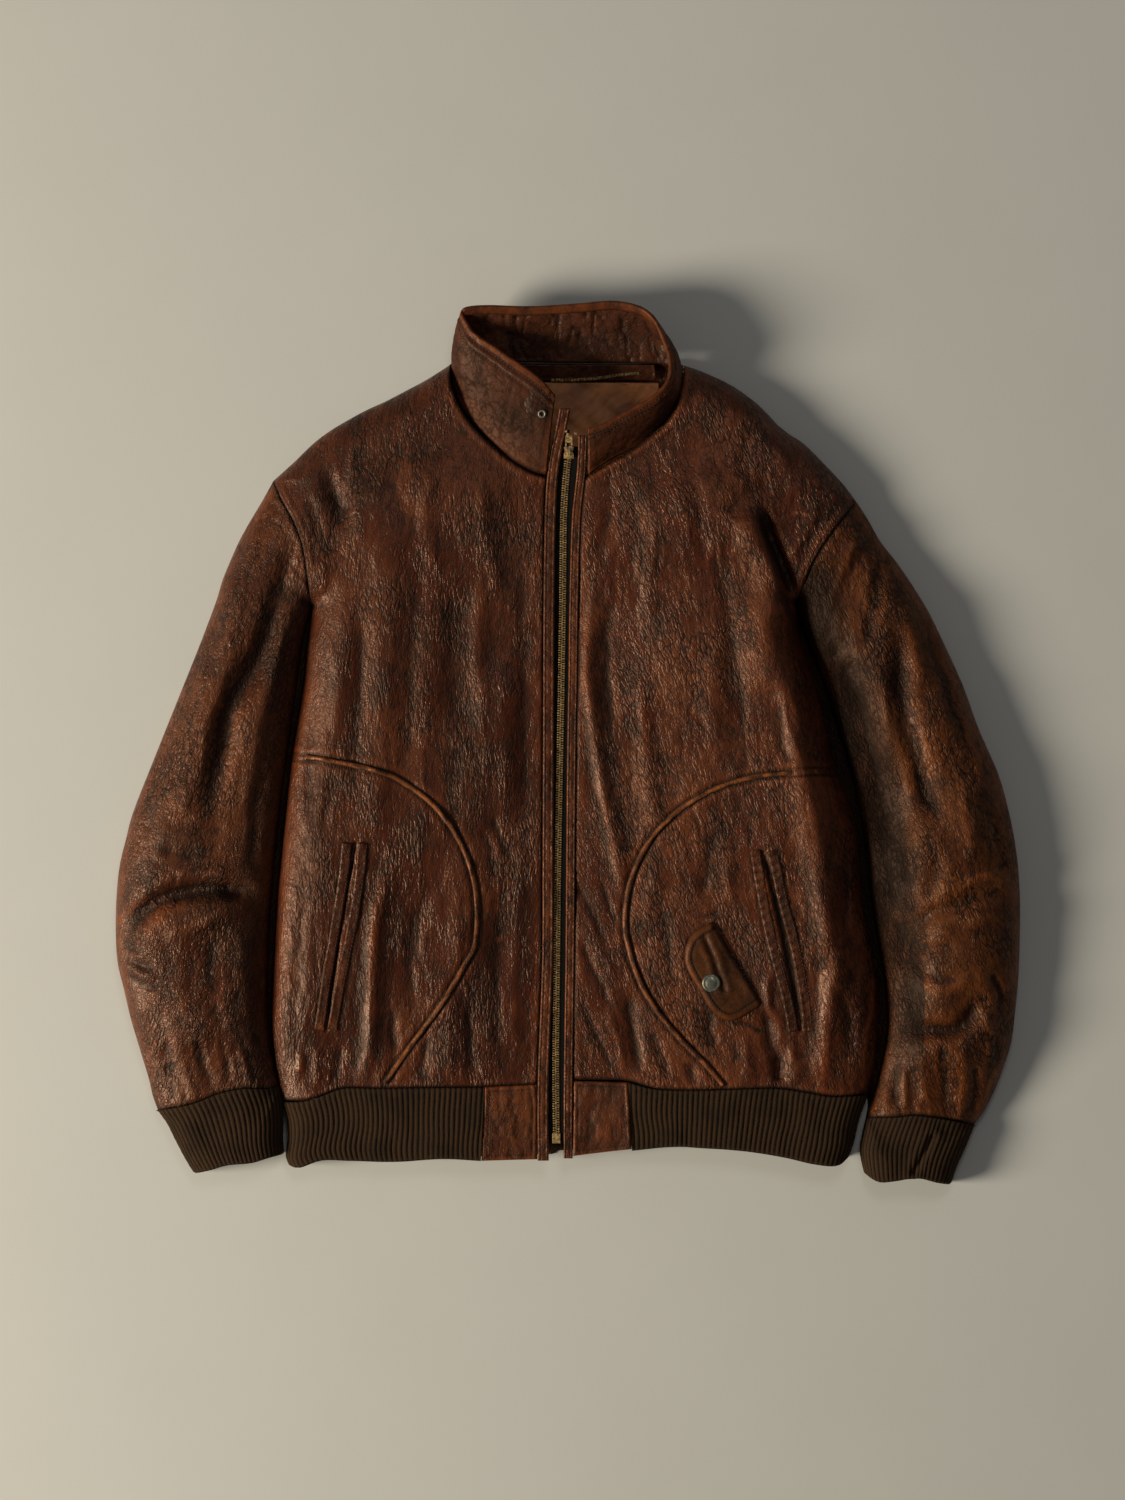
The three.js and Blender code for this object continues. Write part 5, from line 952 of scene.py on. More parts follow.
# the lining's base colour is far lighter than brown satin: painted light lifting it out of the collar's shade
M_SATIN = satin("satin lining", (0.640, 0.235, 0.070), (0.260, 0.088, 0.027))
M_BRASS = brass("aged brass", (0.74, 0.48, 0.19), (0.20, 0.12, 0.05), 0.42, 0.55)
M_SNAP = brass("aged nickel", (0.34, 0.32, 0.24), (0.13, 0.12, 0.085), 0.36, 0.85)
M_TAPE = tape("zip tape", (0.010, 0.008, 0.006))
M_THREAD = thread("thread", (0.120, 0.038, 0.015))
M_THREAD_D = thread("dark thread", (0.024, 0.010, 0.006))


def piece(ob, mat, nodes=(), body="garment", sheet=None):
    ob.data.materials.append(mat)
    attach(ob, body)
    if nodes:
        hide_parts(*nodes)
    if sheet:
        tri = 0.0
    return ob


def bell(d, c, w):
    return np.exp(-(((d - c) / w) ** 2))


def steps(n, ease=None):
    t = np.linspace(0, 1, n)
    return t if ease is None else ease(t)


def to_side(t):       # columns crowd towards the rolled side
    return np.where(t < .75, t / .75 * .88, 1 - .12 * ((1 - t) / .25) ** 2)


def to_top(t):
    return np.where(t < .88, t / .88 * .94, 1 - .06 * ((1 - t) / .12) ** 2)


def pulled(side, f, pull=SEAM):
    p = at(L["ARMHOLE_" + side], f)
    p[:, 0] += pull if side == "R" else -pull
    return p


def front(side):
    s = -1 if side == "R" else 1
    half = STRIP_R if side == "R" else STRIP_L
    neck, hem = L["NECK_" + side].copy(), L["HEM_" + side].copy()
    y0, y1 = hem[0, 1] + SEAM, neck[0, 1]
    up = L["SIDE_" + side][::-1]

    def zip_edge(y):
        return np.stack([at_x(L["PLACKET_" + side], y) + s * (half + SEAM), y], -1)
    neck[0] = zip_edge(np.array([y1]))[0]

    def left(v):
        a = zip_edge(y0 + (y1 - y0) * np.clip(v / .76, 0, 1))
        b = at(neck, (v - .76) / .24)
        return np.where((v <= .76)[:, None], a, b)

    def right(v):
        a = at(up, v / .76)
        b = pulled(side, 1 - (v - .76) / .24)
        return np.where((v <= .76)[:, None], a, b)
    hem[0], hem[-1] = left(np.array([0.0]))[0], right(np.array([0.0]))[0]
    sh = L["SHOULDER_" + side].copy()
    sh[0], sh[-1] = left(np.array([1.0]))[0], right(np.array([1.0]))[0]
    U, V = np.meshgrid(steps(int(262 / CELL), to_side), steps(int(640 / CELL), to_top))
    P = coons(hem, sh, left, right, U, V)
    X, Y = P[..., 0], P[..., 1]
    Z = top_z(X, Y, "F")
    # pocket mouth: a slot between its two welts
    slit, w0 = (SLIT_R, 3.0) if side == "R" else (SLIT_L, 3.2)
    d, _, f, _, _ = near(X, Y, smooth(slit, 4))
    open_w = w0 * (0.35 + 0.75 * np.sin(np.pi * np.clip(f, 0.0, 1)) ** 0.8)
    slot = np.exp(-((d / (open_w + .4)) ** 4))
    Z = Z - 3.0 * slot
    P = np.dstack([X, Y, Z])
    ridge, fold = cavities(P)
    # rubbed where the hide is turned over a seam
    arm = dist(X, Y, L["ARMHOLE_" + side], 24)
    pipe = dist(X, Y, L["PIPING_" + side], 24)
    hemd = dist(X, Y, L["HEM_" + side], 40)
    zipd = np.abs(X - at_x(L["PLACKET_" + side], Y)) - half
    nk = dist(X, Y, L["NECK_" + side], 24)
    rough = 0.5 + 0.5 * noise(X / 5, Y / 13, 201)
    wear_and_highlight = 0.55 * bell(arm, 5.5, 2.6) * rough + 0.5 * bell(pipe, 6.0, 2.4) * rough
    wear_and_highlight += 0.45 * bell(zipd, 4.5, 2.6) * (0.3 + 0.7 * rough) + 0.30 * bell(hemd, 12, 8) * np.clip(noise(X / 5, Y / 40, 205) * 1.5, 0, 1)
    wear_and_highlight += 0.5 * bell(nk, 4, 3) * rough
    # lighter on the geometry's ridges: rubbed wear and painted highlight
    wear_and_highlight += 0.5 * np.clip(ridge, 0, 1) * np.clip(noise(X / 30, Y / 60, 209) + 0.15, 0, 1)
    # dark: seam lines at hem, armhole, neck, piping and zip edge, and painted shade filling the pocket slot
    dark = 1.0 * slot + 0.85 * bell(hemd, 0, 2.2) + 0.75 * bell(arm, 0, 1.6) + 0.6 * bell(nk, 0, 2.0) + 0.90 * bell(pipe, 3.5, 1.0)
    dark += 0.9 * np.exp(-((zipd / 1.8) ** 2))
    # stitched outlines round the pocket mouth, and the hide behind them less rubbed
    df, _, ff, _, _ = near(X, Y, smooth(POCKET_R if side == "R" else POCKET_L, 4))
    inside = np.clip(np.minimum(ff, 1 - ff) / 0.015, 0, 1)
    out_w = 12.4 + 0.6 * np.sin(np.pi * ff) - 0.5 * ff if side == "R" else 13.1 + 2.0 * np.sin(np.pi * ff) - 0.8 * ff
    dark += 0.95 * np.exp(-(((np.abs(df) - out_w) / 1.0) ** 2)) * inside
    wear_and_highlight += 0.5 * np.exp(-(((np.abs(df) - out_w - 2.2) / 1.0) ** 2)) * inside * rough
    sided = dist(X, Y, L["SIDE_" + side], 24)
    low = np.clip((Y + 300) / 60, 0, 1) * np.clip((120 - Y) / 60, 0, 1)
    drift = 0.65 + 0.5 * noise(X / 30, Y / 70, 213)
    # painted shade: on the right a dark band inside the rolled side edge, the edge itself lighter, rubbed wear and
    # painted highlight; on the left a lighter band along a fold's crest, rubbed wear and painted highlight
    if side == "R":
        dark += 0.42 * bell(sided, 30, 13) * low * drift + 0.30 * bell(sided, 62, 12) * low * drift
        wear_and_highlight += 0.55 * bell(sided, 7, 5) * low * (0.4 + 0.6 * rough)
    else:
        wear_and_highlight += 0.30 * bell(sided, 34, 10) * low * rough
        # painted shadow: a dark line round the coin flap on the panel
        dark += 0.75 * np.exp(-((np.minimum(dist(X, Y, L["FLAP_L"], 60), 30) / 2.0) ** 2))
    if side == "L":
        # painted shade along a deep fold on the upper left front
        deep = dist(X, Y, [(161.4, 205.3), (175, 170), (184, 135), (199.7, 99)], 20)
        dark += 0.75 * np.exp(-((deep / 3.0) ** 2))
        # a lighter line along the side seam near the hem: rubbed wear and painted highlight
        rub_and_highlight = dist(X, Y, SIDE_RUB_AND_HIGHLIGHT_L, 16)
        wear_and_highlight += 0.9 * np.exp(-((rub_and_highlight / 2.0) ** 2))
    for p, r in [(NICKS[0], 2.4), (NICKS[1], 1.8)] + ([(q, 2.2) for q in SNAG_F] if side == "L" else []):
        wear_and_highlight += 1.4 * np.exp(-(((X - p[0]) / r) ** 2 + ((Y - p[1]) / (r * .7)) ** 2))
    ob = cloth("leather_front_" + ("right" if side == "R" else "left"), P, LEATHER - .2,
               attrs=dict(ridge=ridge, fold=fold, wear_and_highlight=np.clip(wear_and_highlight, 0, 1.3), dark=np.clip(dark, 0, 1)), outward=(0, 0, 1))
    return ob


def sleeve(side):
    a = L["ARMHOLE_" + side]
    b = L["CUFF_SEAM_" + side]
    o, i = L["SLEEVE_OUT_" + side], L["SLEEVE_IN_" + side]
    t = steps(int(128 / CELL) + 8)
    ut = 0.5 - 0.5 * np.cos(np.pi * t) * (0.72 + 0.28 * np.abs(np.cos(np.pi * t)))
    ub = steps(22)
    ub = 0.5 + 0.5 * np.cos(np.pi * (0.03 + 0.94 * ub))
    V1 = steps(int(570 / CELL))
    Ut, Vt = np.meshgrid(ut, V1)
    Ub, Vb = np.meshgrid(ub, V1)
    f = lambda U, V: coons(a, b, lambda v: at(o, v), lambda v: at(i, v), U, V)
    T, B = f(Ut, Vt), f(Ub, Vb)
    X, Y = T[..., 0], T[..., 1]
    Z = top_z(X, Y, "S")
    ZB = under_z(B[..., 0], B[..., 1], "S")
    groove = 0.7 * np.clip(noise(B[..., 0] / 14, B[..., 1] / 30, 301) - 0.25, 0, 1)
    # lip columns: the sleeve's underside spreads under the body's side, painted dark as shade to fill the gap between
    # sleeve and body
    I = at(i, V1)
    gap = np.abs(I[:, 0] - at_x(L["SIDE_" + side], I[:, 1]))
    gap = np.where(I[:, 1] > L["SIDE_" + side][:, 1].max() + 14, 0, gap)
    reach = np.clip(gap + 3.5, 0, 15) * np.clip(V1 / 0.02, 0, 1) * np.clip((1 - V1) / 0.06, 0, 1) * (gap > 0)
    toward = 1.0 if side == "R" else -1.0
    lips = np.stack([np.column_stack([I[:, 0] + toward * reach * a_, I[:, 1], 0 * I[:, 0] + EDGE_Z - 0.5 - (EDGE_Z - 0.7) * b_])
                     for a_, b_ in ((.15, .35), (.5, .6), (.9, .82), (1.0, .95), (.7, 1.0))], 1)
    P = np.concatenate([np.dstack([X, Y, Z]), lips, np.dstack([B[..., 0], B[..., 1], ZB + groove])], 1)
    n = T.shape[1]
    nl = lips.shape[1]
    ridge, fold = cavities(P[:, :n])
    arm = dist(X, Y, a, 60)
    cuff = dist(X, Y, b, 60)
    edge = np.minimum(dist(X, Y, o, 30), dist(X, Y, i, 30))
    rough = 0.5 + 0.5 * noise(X / 5, Y / 9, 221)
    wear_and_highlight = 0.6 * bell(edge, 3, 4) * rough + 0.45 * np.exp(-cuff / 12) * np.clip(noise(X / 5, Y / 60, 113) * 1.6, 0, 1)
    # the ridge term: rubbed wear and painted highlight on the geometry's crests
    wear_and_highlight += 0.35 * np.exp(-arm / 8) * rough + 0.55 * np.clip(ridge, 0, 1) * np.clip(noise(X / 30, Y / 30, 229) + 0.2, 0, 1)
    dark = 0.85 * bell(arm, 0, 2.2) + 0.85 * bell(cuff, 0, 2.6)
    # painted shade: the sleeve's inner part beside the body darkened, strongest on the left sleeve
    din = dist(X, Y, i, 30)
    fade = np.clip(((54 if side == "L" else 44) - din) / 34, 0, 1)
    fade = fade * fade * (3 - 2 * fade) * np.clip((Y + 318) / 60, 0, 1) * np.clip((215 - Y) / 50, 0, 1)
    dark += (1.15 if side == "L" else 0.55) * fade * (0.8 + 0.35 * noise(X / 22, Y / 55, 231))
    wear_and_highlight *= 1 - 0.8 * np.clip(dark, 0, 1)
    if side == "L":
        wear_and_highlight += 0.9 * np.exp(-((dist(X, Y, SLEEVE_SEAM_L, 16) / 1.8) ** 2))
    else:
        for p in SNAG_S:
            wear_and_highlight += 1.3 * np.exp(-(((X - p[0]) / 1.9) ** 2 + ((Y - p[1]) / 1.4) ** 2))
            dark += 0.8 * np.exp(-(((X - p[0] - 2) / 1.6) ** 2 + ((Y - p[1] + 1.4) / 1.2) ** 2))
    zero = np.zeros(B.shape[:2])
    # the lip columns carry dark 0.9, painted shade
    full = lambda A, k=0.0, d=0.0: np.concatenate([A, np.full((len(A), nl), d), zero + k], 1)
    return cloth("leather_sleeve_" + ("right" if side == "R" else "left"), P, LEATHER - .2, wrap=True,
                 attrs=dict(ridge=full(ridge), fold=full(fold), wear_and_highlight=np.clip(full(wear_and_highlight, .12), 0, 1.3), dark=np.clip(full(dark, 0.0, 0.9), 0, 1)), outward="radial")


def arc(P):
    """distance along each row, mm, from the middle row"""
    m = P[P.shape[0] // 2]
    return np.concatenate([[0], np.cumsum(np.linalg.norm(np.diff(m, axis=0), axis=1))])


def even(P, n, wrap=False):
    """the same face with its columns evenly spaced along the middle row"""
    Q = np.concatenate([P, P[:, :1]], 1) if wrap else P
    s = arc(Q)
    k = np.linspace(0, s[-1], n + 1)[:-1] if wrap else np.linspace(0, s[-1], n)
    return np.stack([np.stack([np.interp(k, s, row[:, j]) for j in range(3)], -1) for row in Q]), k, s[-1]


def ribs(s, pitch):
    """knit ribs: round backs and narrow troughs"""
    return np.abs(np.cos(np.pi * s / pitch)) ** 0.65 * 2 - 1.15


def rib_shell(name, P, n, pitch, amp, wrap, slack=0.0, seed=0):
    Q, k, total = even(P, n, wrap)
    pitch = total / round(total / pitch)
    N = normals_of(Q, wrap)
    if wrap:
        c = Q.mean(axis=1, keepdims=True)
        if (N * (Q - c)).sum() < 0:
            N = -N
    else:
        if (N[..., 2] * (Q[..., 2] - 12)).sum() < 0:
            N = -N
    R = Q.shape[0]
    v = np.linspace(0, 1, R)[:, None]
    wander = 1.1 * noise(np.tile(k / 40, (R, 1)), v * 2.5 + 0 * k, seed)
    h = ribs(k[None] + wander, pitch)
    fade = np.clip(np.minimum(v, 1 - v) / 0.06, 0.25, 1)
    flat = np.clip(Q[..., 2] / 2.0, 0.30, 1)
    knots = 0.10 * np.sin(v * 60 + 0.6 * np.sin(k * 3.1)[None])
    h2 = (h * amp + knots) * fade * flat
    low = Q[..., 2] < 1.2
    Pn = Q + N * h2[..., None]
    Pn[..., 2] = np.maximum(Pn[..., 2], 0.0)
    # the free end is turned back on itself, so it is a round edge
    Pn[-1] -= N[-1] * 0.9
    ob = cloth(name, Pn, KNIT - .8, wrap=wrap, coarse=3, attrs=dict(ridge=np.clip(h, -1, 1), fold=0 * h, wear_and_highlight=0 * h, dark=0 * h + 0.0),
               outward="radial" if wrap else "band")
    return ob


def cuff(side):
    s = L["CUFF_SEAM_" + side].copy()
    s[:, 1] -= SEAM
    o, i = L["CUFF_OUT_" + side].copy(), L["CUFF_IN_" + side].copy()
    o[0], i[0] = s[0], s[-1]
    e = L["CUFF_END_" + side]
    V1 = steps(34)
    t = steps(90)
    ut = 0.5 - 0.5 * np.cos(np.pi * t)
    ub = 0.5 + 0.5 * np.cos(np.pi * (0.03 + 0.94 * steps(60)))
    f = lambda u: coons(s, e, lambda v: at(o, v), lambda v: at(i, v), *np.meshgrid(u, V1))
    T, B = f(ut), f(ub)
    X, Y = T[..., 0], T[..., 1]
    Z = top_z(X, Y, "S", False) + 0.9 * noise(X / 26, Y / 60, 401) * np.clip((V1[:, None]) * 3, 0, 1)
    if side == "L":      # a crease runs down across the ribs
        d = dist(X, Y, [(317.0, -341.9), (301.0, -372.4)], 30)
        Z = Z - 2.6 * np.exp(-((d / 2.6) ** 2)) + 1.2 * bell(d, 6, 4)
    P = np.concatenate([np.dstack([X, Y, Z]), np.dstack([B[..., 0], B[..., 1], under_z(B[..., 0], B[..., 1], "S")])], 1)
    return rib_shell("knit_cuff_" + ("right" if side == "R" else "left"), P, 330, 4.3, 0.62, True, seed=5)


def hem():
    sr = np.array([[-72.3, -298.5]] + [list(p) for p in HEM_R[3:]], float) - [0, SEAM]
    sl = np.array([[53.0, -294.2]] + [list(p) for p in HEM_L[3:]], float) - [0, SEAM]
    sr[-1], sl[-1] = RIB_SIDE_R[0], RIB_SIDE_L[0]
    sr, sl = smooth(sr), smooth(sl)
    V1 = steps(30)

    def half(seam, end, side):
        return lambda u: coons(seam, end, lambda v: seam[0] + (end[0] - seam[0]) * v[:, None], lambda v: at(side, v), *np.meshgrid(u, V1))
    A, B = half(sr, L["RIB_END_R"], L["RIB_SIDE_R"]), half(sl, L["RIB_END_L"], L["RIB_SIDE_L"])
    t = steps(260)
    u = np.where(t < .7, t / .7 * .86, 1 - .14 * ((1 - t) / .3) ** 2)
    a, b = A(u), B(u)
    E, F = a[:, -1:], b[:, -1:]
    ub = 0.5 - 0.5 * np.cos(np.pi * (0.02 + 0.96 * steps(260)))
    lo = E + (F - E) * ub[None, :, None]
    rim = np.vstack([L["RIB_END_R"][::-1], [[-75, -361.4], [-12, -360.6], [-9, -357.5], [6, -356.5], [9, -357.2], [55, -351.2]], L["RIB_END_L"]])
    rim = rim[np.argsort(rim[:, 0])]
    short = np.clip(np.interp(lo[-1, :, 0], rim[:, 0], rim[:, 1]) + 1.6 - lo[-1, :, 1], 0, None)
    lo = np.dstack([lo[..., 0], lo[..., 1] + short[None] * V1[:, None] ** 2])
    top = lambda q: np.dstack([q[..., 0], q[..., 1], top_z(q[..., 0], q[..., 1], "F", False)
                               + (1.5 * noise(q[..., 0] / 34, q[..., 1] / 70, 411) + 0.8 * noise(q[..., 0] / 15, q[..., 1] / 60, 412)) * np.clip(V1[:, None] * 2.5, 0, 1)])
    P = np.concatenate([top(a), np.dstack([lo[..., 0], lo[..., 1], under_z(lo[..., 0], lo[..., 1], "B")]), top(b)[:, ::-1]], 1)
    return rib_shell("knit_hem", P, 1300, 4.4, 0.62, False, seed=9)


def back_panel():
    up = {k: L["SIDE_" + k][::-1] for k in "RL"}

    def rise(k):
        return lambda v: np.where((v <= .76)[:, None], at(up[k], v / .76), pulled(k, 1 - (v - .76) / .24))
    l, r = rise("R"), rise("L")
    c0, c1 = l(np.array([0.0]))[0], r(np.array([0.0]))[0]
    bottom = np.array([[c0[0], c0[1] + SEAM], [c1[0], c1[1] + SEAM]])
    bottom = bottom[0] + (bottom[1] - bottom[0]) * np.linspace(0, 1, 60)[:, None]
    top = np.vstack([L["SHOULDER_R"][::-1], L["BACK_NECK"][1:-1], L["SHOULDER_L"]])
    top[0], top[-1] = l(np.array([1.0]))[0], r(np.array([1.0]))[0]
    k = 3.4
    t = steps(int(500 / k))
    u = np.where(t < .12, .05 * (t / .12) ** 2, np.where(t > .88, 1 - .05 * ((1 - t) / .12) ** 2, .05 + (t - .12) / .76 * .90))
    v = steps(int(640 / k), to_top)
    P = coons(bottom, top, l, r, *np.meshgrid(u, v))
    X, Y = P[..., 0], P[..., 1]
    d = rolled(X, Y, "B")[1]
    inside = np.clip(d / 14, 0, 1)
    groove = (0.8 * np.clip(noise(X / 26, Y / 80, 311) - 0.15, 0, 1) + 0.55 * np.clip(0.2 - np.abs(noise(X / 18, Y / 70, 317)), 0, 1) * 4) * inside
    Z = under_z(X, Y, "B") + groove
    ridge, fold = cavities(np.dstack([X, Y, -Z]))
    wear_and_highlight = 0.25 * np.clip(noise(X / 40, Y / 60, 319), 0, 1)
    return cloth("leather_back", np.dstack([X, Y, Z]), LEATHER - .2, coarse=3,
                 attrs=dict(ridge=ridge, fold=fold, wear_and_highlight=wear_and_highlight, dark=0 * ridge), outward=(0, 0, -1))


# the zip: strips, tapes and chain share one height along the front edge
ZNECK = float(top_z(np.array([[at_x(L["ZIP"], 226.0)]]), np.array([[226.0]]), "F", False)[0, 0])
_ky = np.array([-370, -362.5, -345, -340, -320, -296, -270, -240, -210, -180, -150, -120, -90, -60, -30, 0, 30, 60, 90, 120, 150, 180, 205, 226.0])
_kz = top_z(at_x(L["ZIP"], _ky)[None], _ky[None], "F", False)[0]
_ky, _kz = np.append(_ky, [244, 258, 272, 290, 296]), np.append(_kz, [ZNECK + (53 - ZNECK) * min(1, (y - 226) / 64.6) for y in (244, 258, 272, 290, 296)])


def edge_z(y):
    return np.interp(y, _ky, _kz)


def ribbon(name, line, half, z_of, shape, thick, lift=0.0, cols=15, step=1.6, attrs_of=None, square=False, coarse=3):
    """a strip along a plan line: half width, its base height, and shape(t, s) the height of its face at
    t -1..1 across and s mm along"""
    pts = smooth(line, step)
    n = max(6, int(np.linalg.norm(np.diff(pts, axis=0), axis=1).sum() / step))
    pts = at(pts, np.linspace(0, 1, n))
    s = np.concatenate([[0], np.cumsum(np.linalg.norm(np.diff(pts, axis=0), axis=1))])
    d = np.gradient(pts, axis=0)
    d /= np.linalg.norm(d, axis=1, keepdims=True)
    nrm = np.tile([1.0, 0.0], (n, 1)) if square else np.stack([-d[:, 1], d[:, 0]], -1)
    t = np.sin(np.linspace(-1, 1, cols) * np.pi / 2)
    T, S = np.meshgrid(t, s)
    h = half(s) if callable(half) else half + 0 * s
    X = pts[:, :1] + nrm[:, :1] * T * h[:, None]
    Y = pts[:, 1:2] + nrm[:, 1:2] * T * h[:, None]
    Z = z_of(X, Y) + lift + shape(T, S)
    P = np.dstack([X, Y, Z])
    at_ = dict(ridge=0 * T, fold=0 * T, wear_and_highlight=0 * T, dark=0 * T)
    at_.update(attrs_of(T, S, X, Y) if attrs_of else {})
    return cloth(name, P, thick, coarse=coarse, attrs=at_, outward=(0, 0, 1)), P


def zip_strip(side):
    if side == "R":
        y = np.linspace(-362.5, 290, 40)
        half, cols = STRIP_R, 21
    else:
        y = np.linspace(-360.5, 267, 40)
        half, cols = STRIP_L, 21
    line = np.stack([at_x(L["PLACKET_" + side], y), y], -1)
    inner = 1 if side == "R" else -1          # the edge beside the teeth

    def shape(T, S):
        e = 1 - np.abs(T)
        round_ = -1.5 * (1 - dome(np.clip(e * half / 1.5, 0, 1)))
        puck = 0.42 * noise(T * 1.2, S / 4.2, 501 if side == "R" else 507) + 0.30 * noise(T * 2.0, S / 2.1, 503)
        rows = -0.42 * np.exp(-(((T * inner - 0.45) / 0.10) ** 2)) - 0.42 * np.exp(-(((T * inner + 0.45) / 0.10) ** 2))
        wave = 0.55 * noise(0 * T, S / 38, 511)
        return round_ + puck * (0.35 + 0.65 * np.clip(np.abs(T) * 1.4, 0, 1)) + rows + wave + 0.7

    def at_(T, S, X, Y):
        puck = noise(T * 1.2, S / 4.2, 501 if side == "R" else 507)
        return dict(ridge=np.clip(puck, -1, 1) * .8, wear_and_highlight=1.15 * np.clip(1 - (1 - np.abs(T)) * 4, 0, 1) * (0.6 + 0.5 * noise(S / 6, T, 521))
                    + 0.25 * np.clip(noise(T, S / 18, 523), 0, 1), dark=0.8 * bell(T * inner, -1.0, 0.12))
    ob, P = ribbon("leather_zip_strip_" + ("right" if side == "R" else "left"), line, half, lambda X, Y: edge_z(Y), shape, 1.6,
                   cols=cols, step=1.25, attrs_of=at_, square=True)
    return ob, P


def zip_tape(side):
    y = np.linspace(-345, 272 if side == "R" else 258, 30)
    dx = -6.4 if side == "R" else 6.4
    line = np.stack([at_x(L["ZIP"], y) + dx, y], -1)
    ob, _ = ribbon("zip_tape_cloth_" + ("right" if side == "R" else "left"), line, 6, lambda X, Y: edge_z(Y), lambda T, S: 0 * T, 0.9,
                   lift=-LEATHER - SEAM - 1 + 1.0 - 0.1, cols=7, step=5, square=True)
    return ob


class Bits:
    """many small solids joined into one mesh"""
    def __init__(self):
        self.v, self.f, self.n = [], [], 0

    def add(self, v, f):
        self.v.append(np.asarray(v, float))
        self.f += [[i + self.n for i in q] for q in f]
        self.n += len(v)

    def make(self, name, flat=False):
        ob = mesh_object(name, np.vstack(self.v), self.f)
        if flat:
            ob.data.polygons.foreach_set("use_smooth", np.zeros(len(ob.data.polygons), bool))
        return ob


def block(x0, x1, y0, y1, z0, z1, bev=0.25, tip=None):
    """a small block with a bevelled top"""
    a = [(x0, y0, z0), (x1, y0, z0), (x1, y1, z0), (x0, y1, z0)]
    b = [(x0, y0, z1 - bev), (x1, y0, z1 - bev), (x1, y1, z1 - bev), (x0, y1, z1 - bev)]
    c = [(x0 + bev, y0 + bev, z1), (x1 - bev, y0 + bev, z1), (x1 - bev, y1 - bev, z1), (x0 + bev, y1 - bev, z1)]
    f = [(3, 2, 1, 0)]
    for k in (0, 4):
        f += [(k + i, k + (i + 1) % 4, k + 4 + (i + 1) % 4, k + 4 + i) for i in range(4)]
    f.append((8, 9, 10, 11))
    return a + b + c, f


def zip_teeth():
    bits = Bits()
    y, k = -338.5, 0
    while y < 246.0:
        cx, z = float(at_x(L["ZIP"], y)), float(edge_z(y)) - LEATHER - SEAM + 0.25
        for s in (-1, 1):
            yy = y + (0.0 if s < 0 else 1.05)
            zz = float(edge_z(yy)) - LEATHER - SEAM + 0.25
            x0, x1 = (cx - 2.5, cx + 0.55) if s < 0 else (cx - 0.55, cx + 2.5)
            bits.add(*block(x0, x1, yy - 0.36, yy + 0.36, zz - 1.2, zz + 0.85, 0.24))
            # the shank that grips the tape
            xa, xb = (cx - 2.9, cx - 1.6) if s < 0 else (cx + 1.6, cx + 2.9)
            bits.add(*block(xa, xb, yy - 0.62, yy + 0.62, zz - 1.3, zz + 0.60, 0.2))
        y += 2.1
        k += 1
    # bottom stop: a plain square box at the foot of the chain
    z = float(edge_z(-342)) - LEATHER
    bx = float(at_x(L["ZIP"], -342.0))
    bits.add(*block(bx - 3.6, bx + 3.6, -347.6, -338.9, z - 1.4, z + 1.15, 0.5))
    # top stops
    for px, py in ((-1.3, 270.6), (0.4, 268.0), (7.1, 268.8)):
        z = float(edge_z(py)) - 1.4
        bits.add(*block(px - 1.1, px + 1.1, py - 1.0, py + 1.0, z, z + 1.9, 0.4))
    return bits.make("zip_teeth", True)


def stitches(bits, pts, pitch=3.2, length=2.1, r=0.34, jitter=0.12, sink=0.05, skip=()):
    """short round-ended stitches along a 3-D line"""
    pts = np.asarray(pts, float)
    d = np.linalg.norm(np.diff(pts, axis=0), axis=1)
    s = np.concatenate([[0], np.cumsum(d)])
    n = int(s[-1] / pitch)
    rng = np.random.default_rng(int(abs(pts[0, 0] * 7 + pts[0, 1] * 13)) + n)
    for k in range(n):
        a = (k + 0.5) * pitch
        half = length / 2 * (1 + jitter * rng.uniform(-1, 1))
        p = [np.interp([a - half, a, a + half], s, pts[:, j]) for j in range(3)]
        p0, pm, p1 = (np.array([q[i] for q in p]) for i in range(3))
        ax = p1 - p0
        ln = np.linalg.norm(ax)
        if ln < 0.3:
            continue
        ax /= ln
        side = np.cross(ax, [0, 0, 1.0])
        side /= np.linalg.norm(side) + 1e-9
        up = np.cross(side, ax)
        tilt = 0.16 * rng.uniform(-1, 1)
        rings, fr = [], ((-1.0, .25, -.30), (-.72, .9, -.05), (0, 1.0, .10), (.72, .9, -.05), (1.0, .25, -.30))
        for t, w, h in fr:
            c = pm + ax * half * t + side * tilt * t + up * (h * r - sink)
            rings.append([c + (side * math.cos(q) + up * math.sin(q)) * r * w for q in np.linspace(0, 2 * math.pi, 6, endpoint=False)])
        v = [q for ring in rings for q in ring]
        f = [(i * 6 + j, i * 6 + (j + 1) % 6, (i + 1) * 6 + (j + 1) % 6, (i + 1) * 6 + j) for i in range(4) for j in range(6)]
        f += [tuple(range(5, -1, -1)), tuple(range(24, 30))]
        bits.add(v, f)


def offset_line(line, d):
    line = np.asarray(line, float)[:, :2]
    g = np.gradient(line, axis=0)
    g /= np.linalg.norm(g, axis=1, keepdims=True)
    return line + np.stack([-g[:, 1], g[:, 0]], -1) * d


def on_front(line, lift=0.2, panel="F"):
    line = np.asarray(line, float)
    z = top_z(line[None, :, 0], line[None, :, 1], panel)[0]
    return np.column_stack([line[:, :2], z + lift])


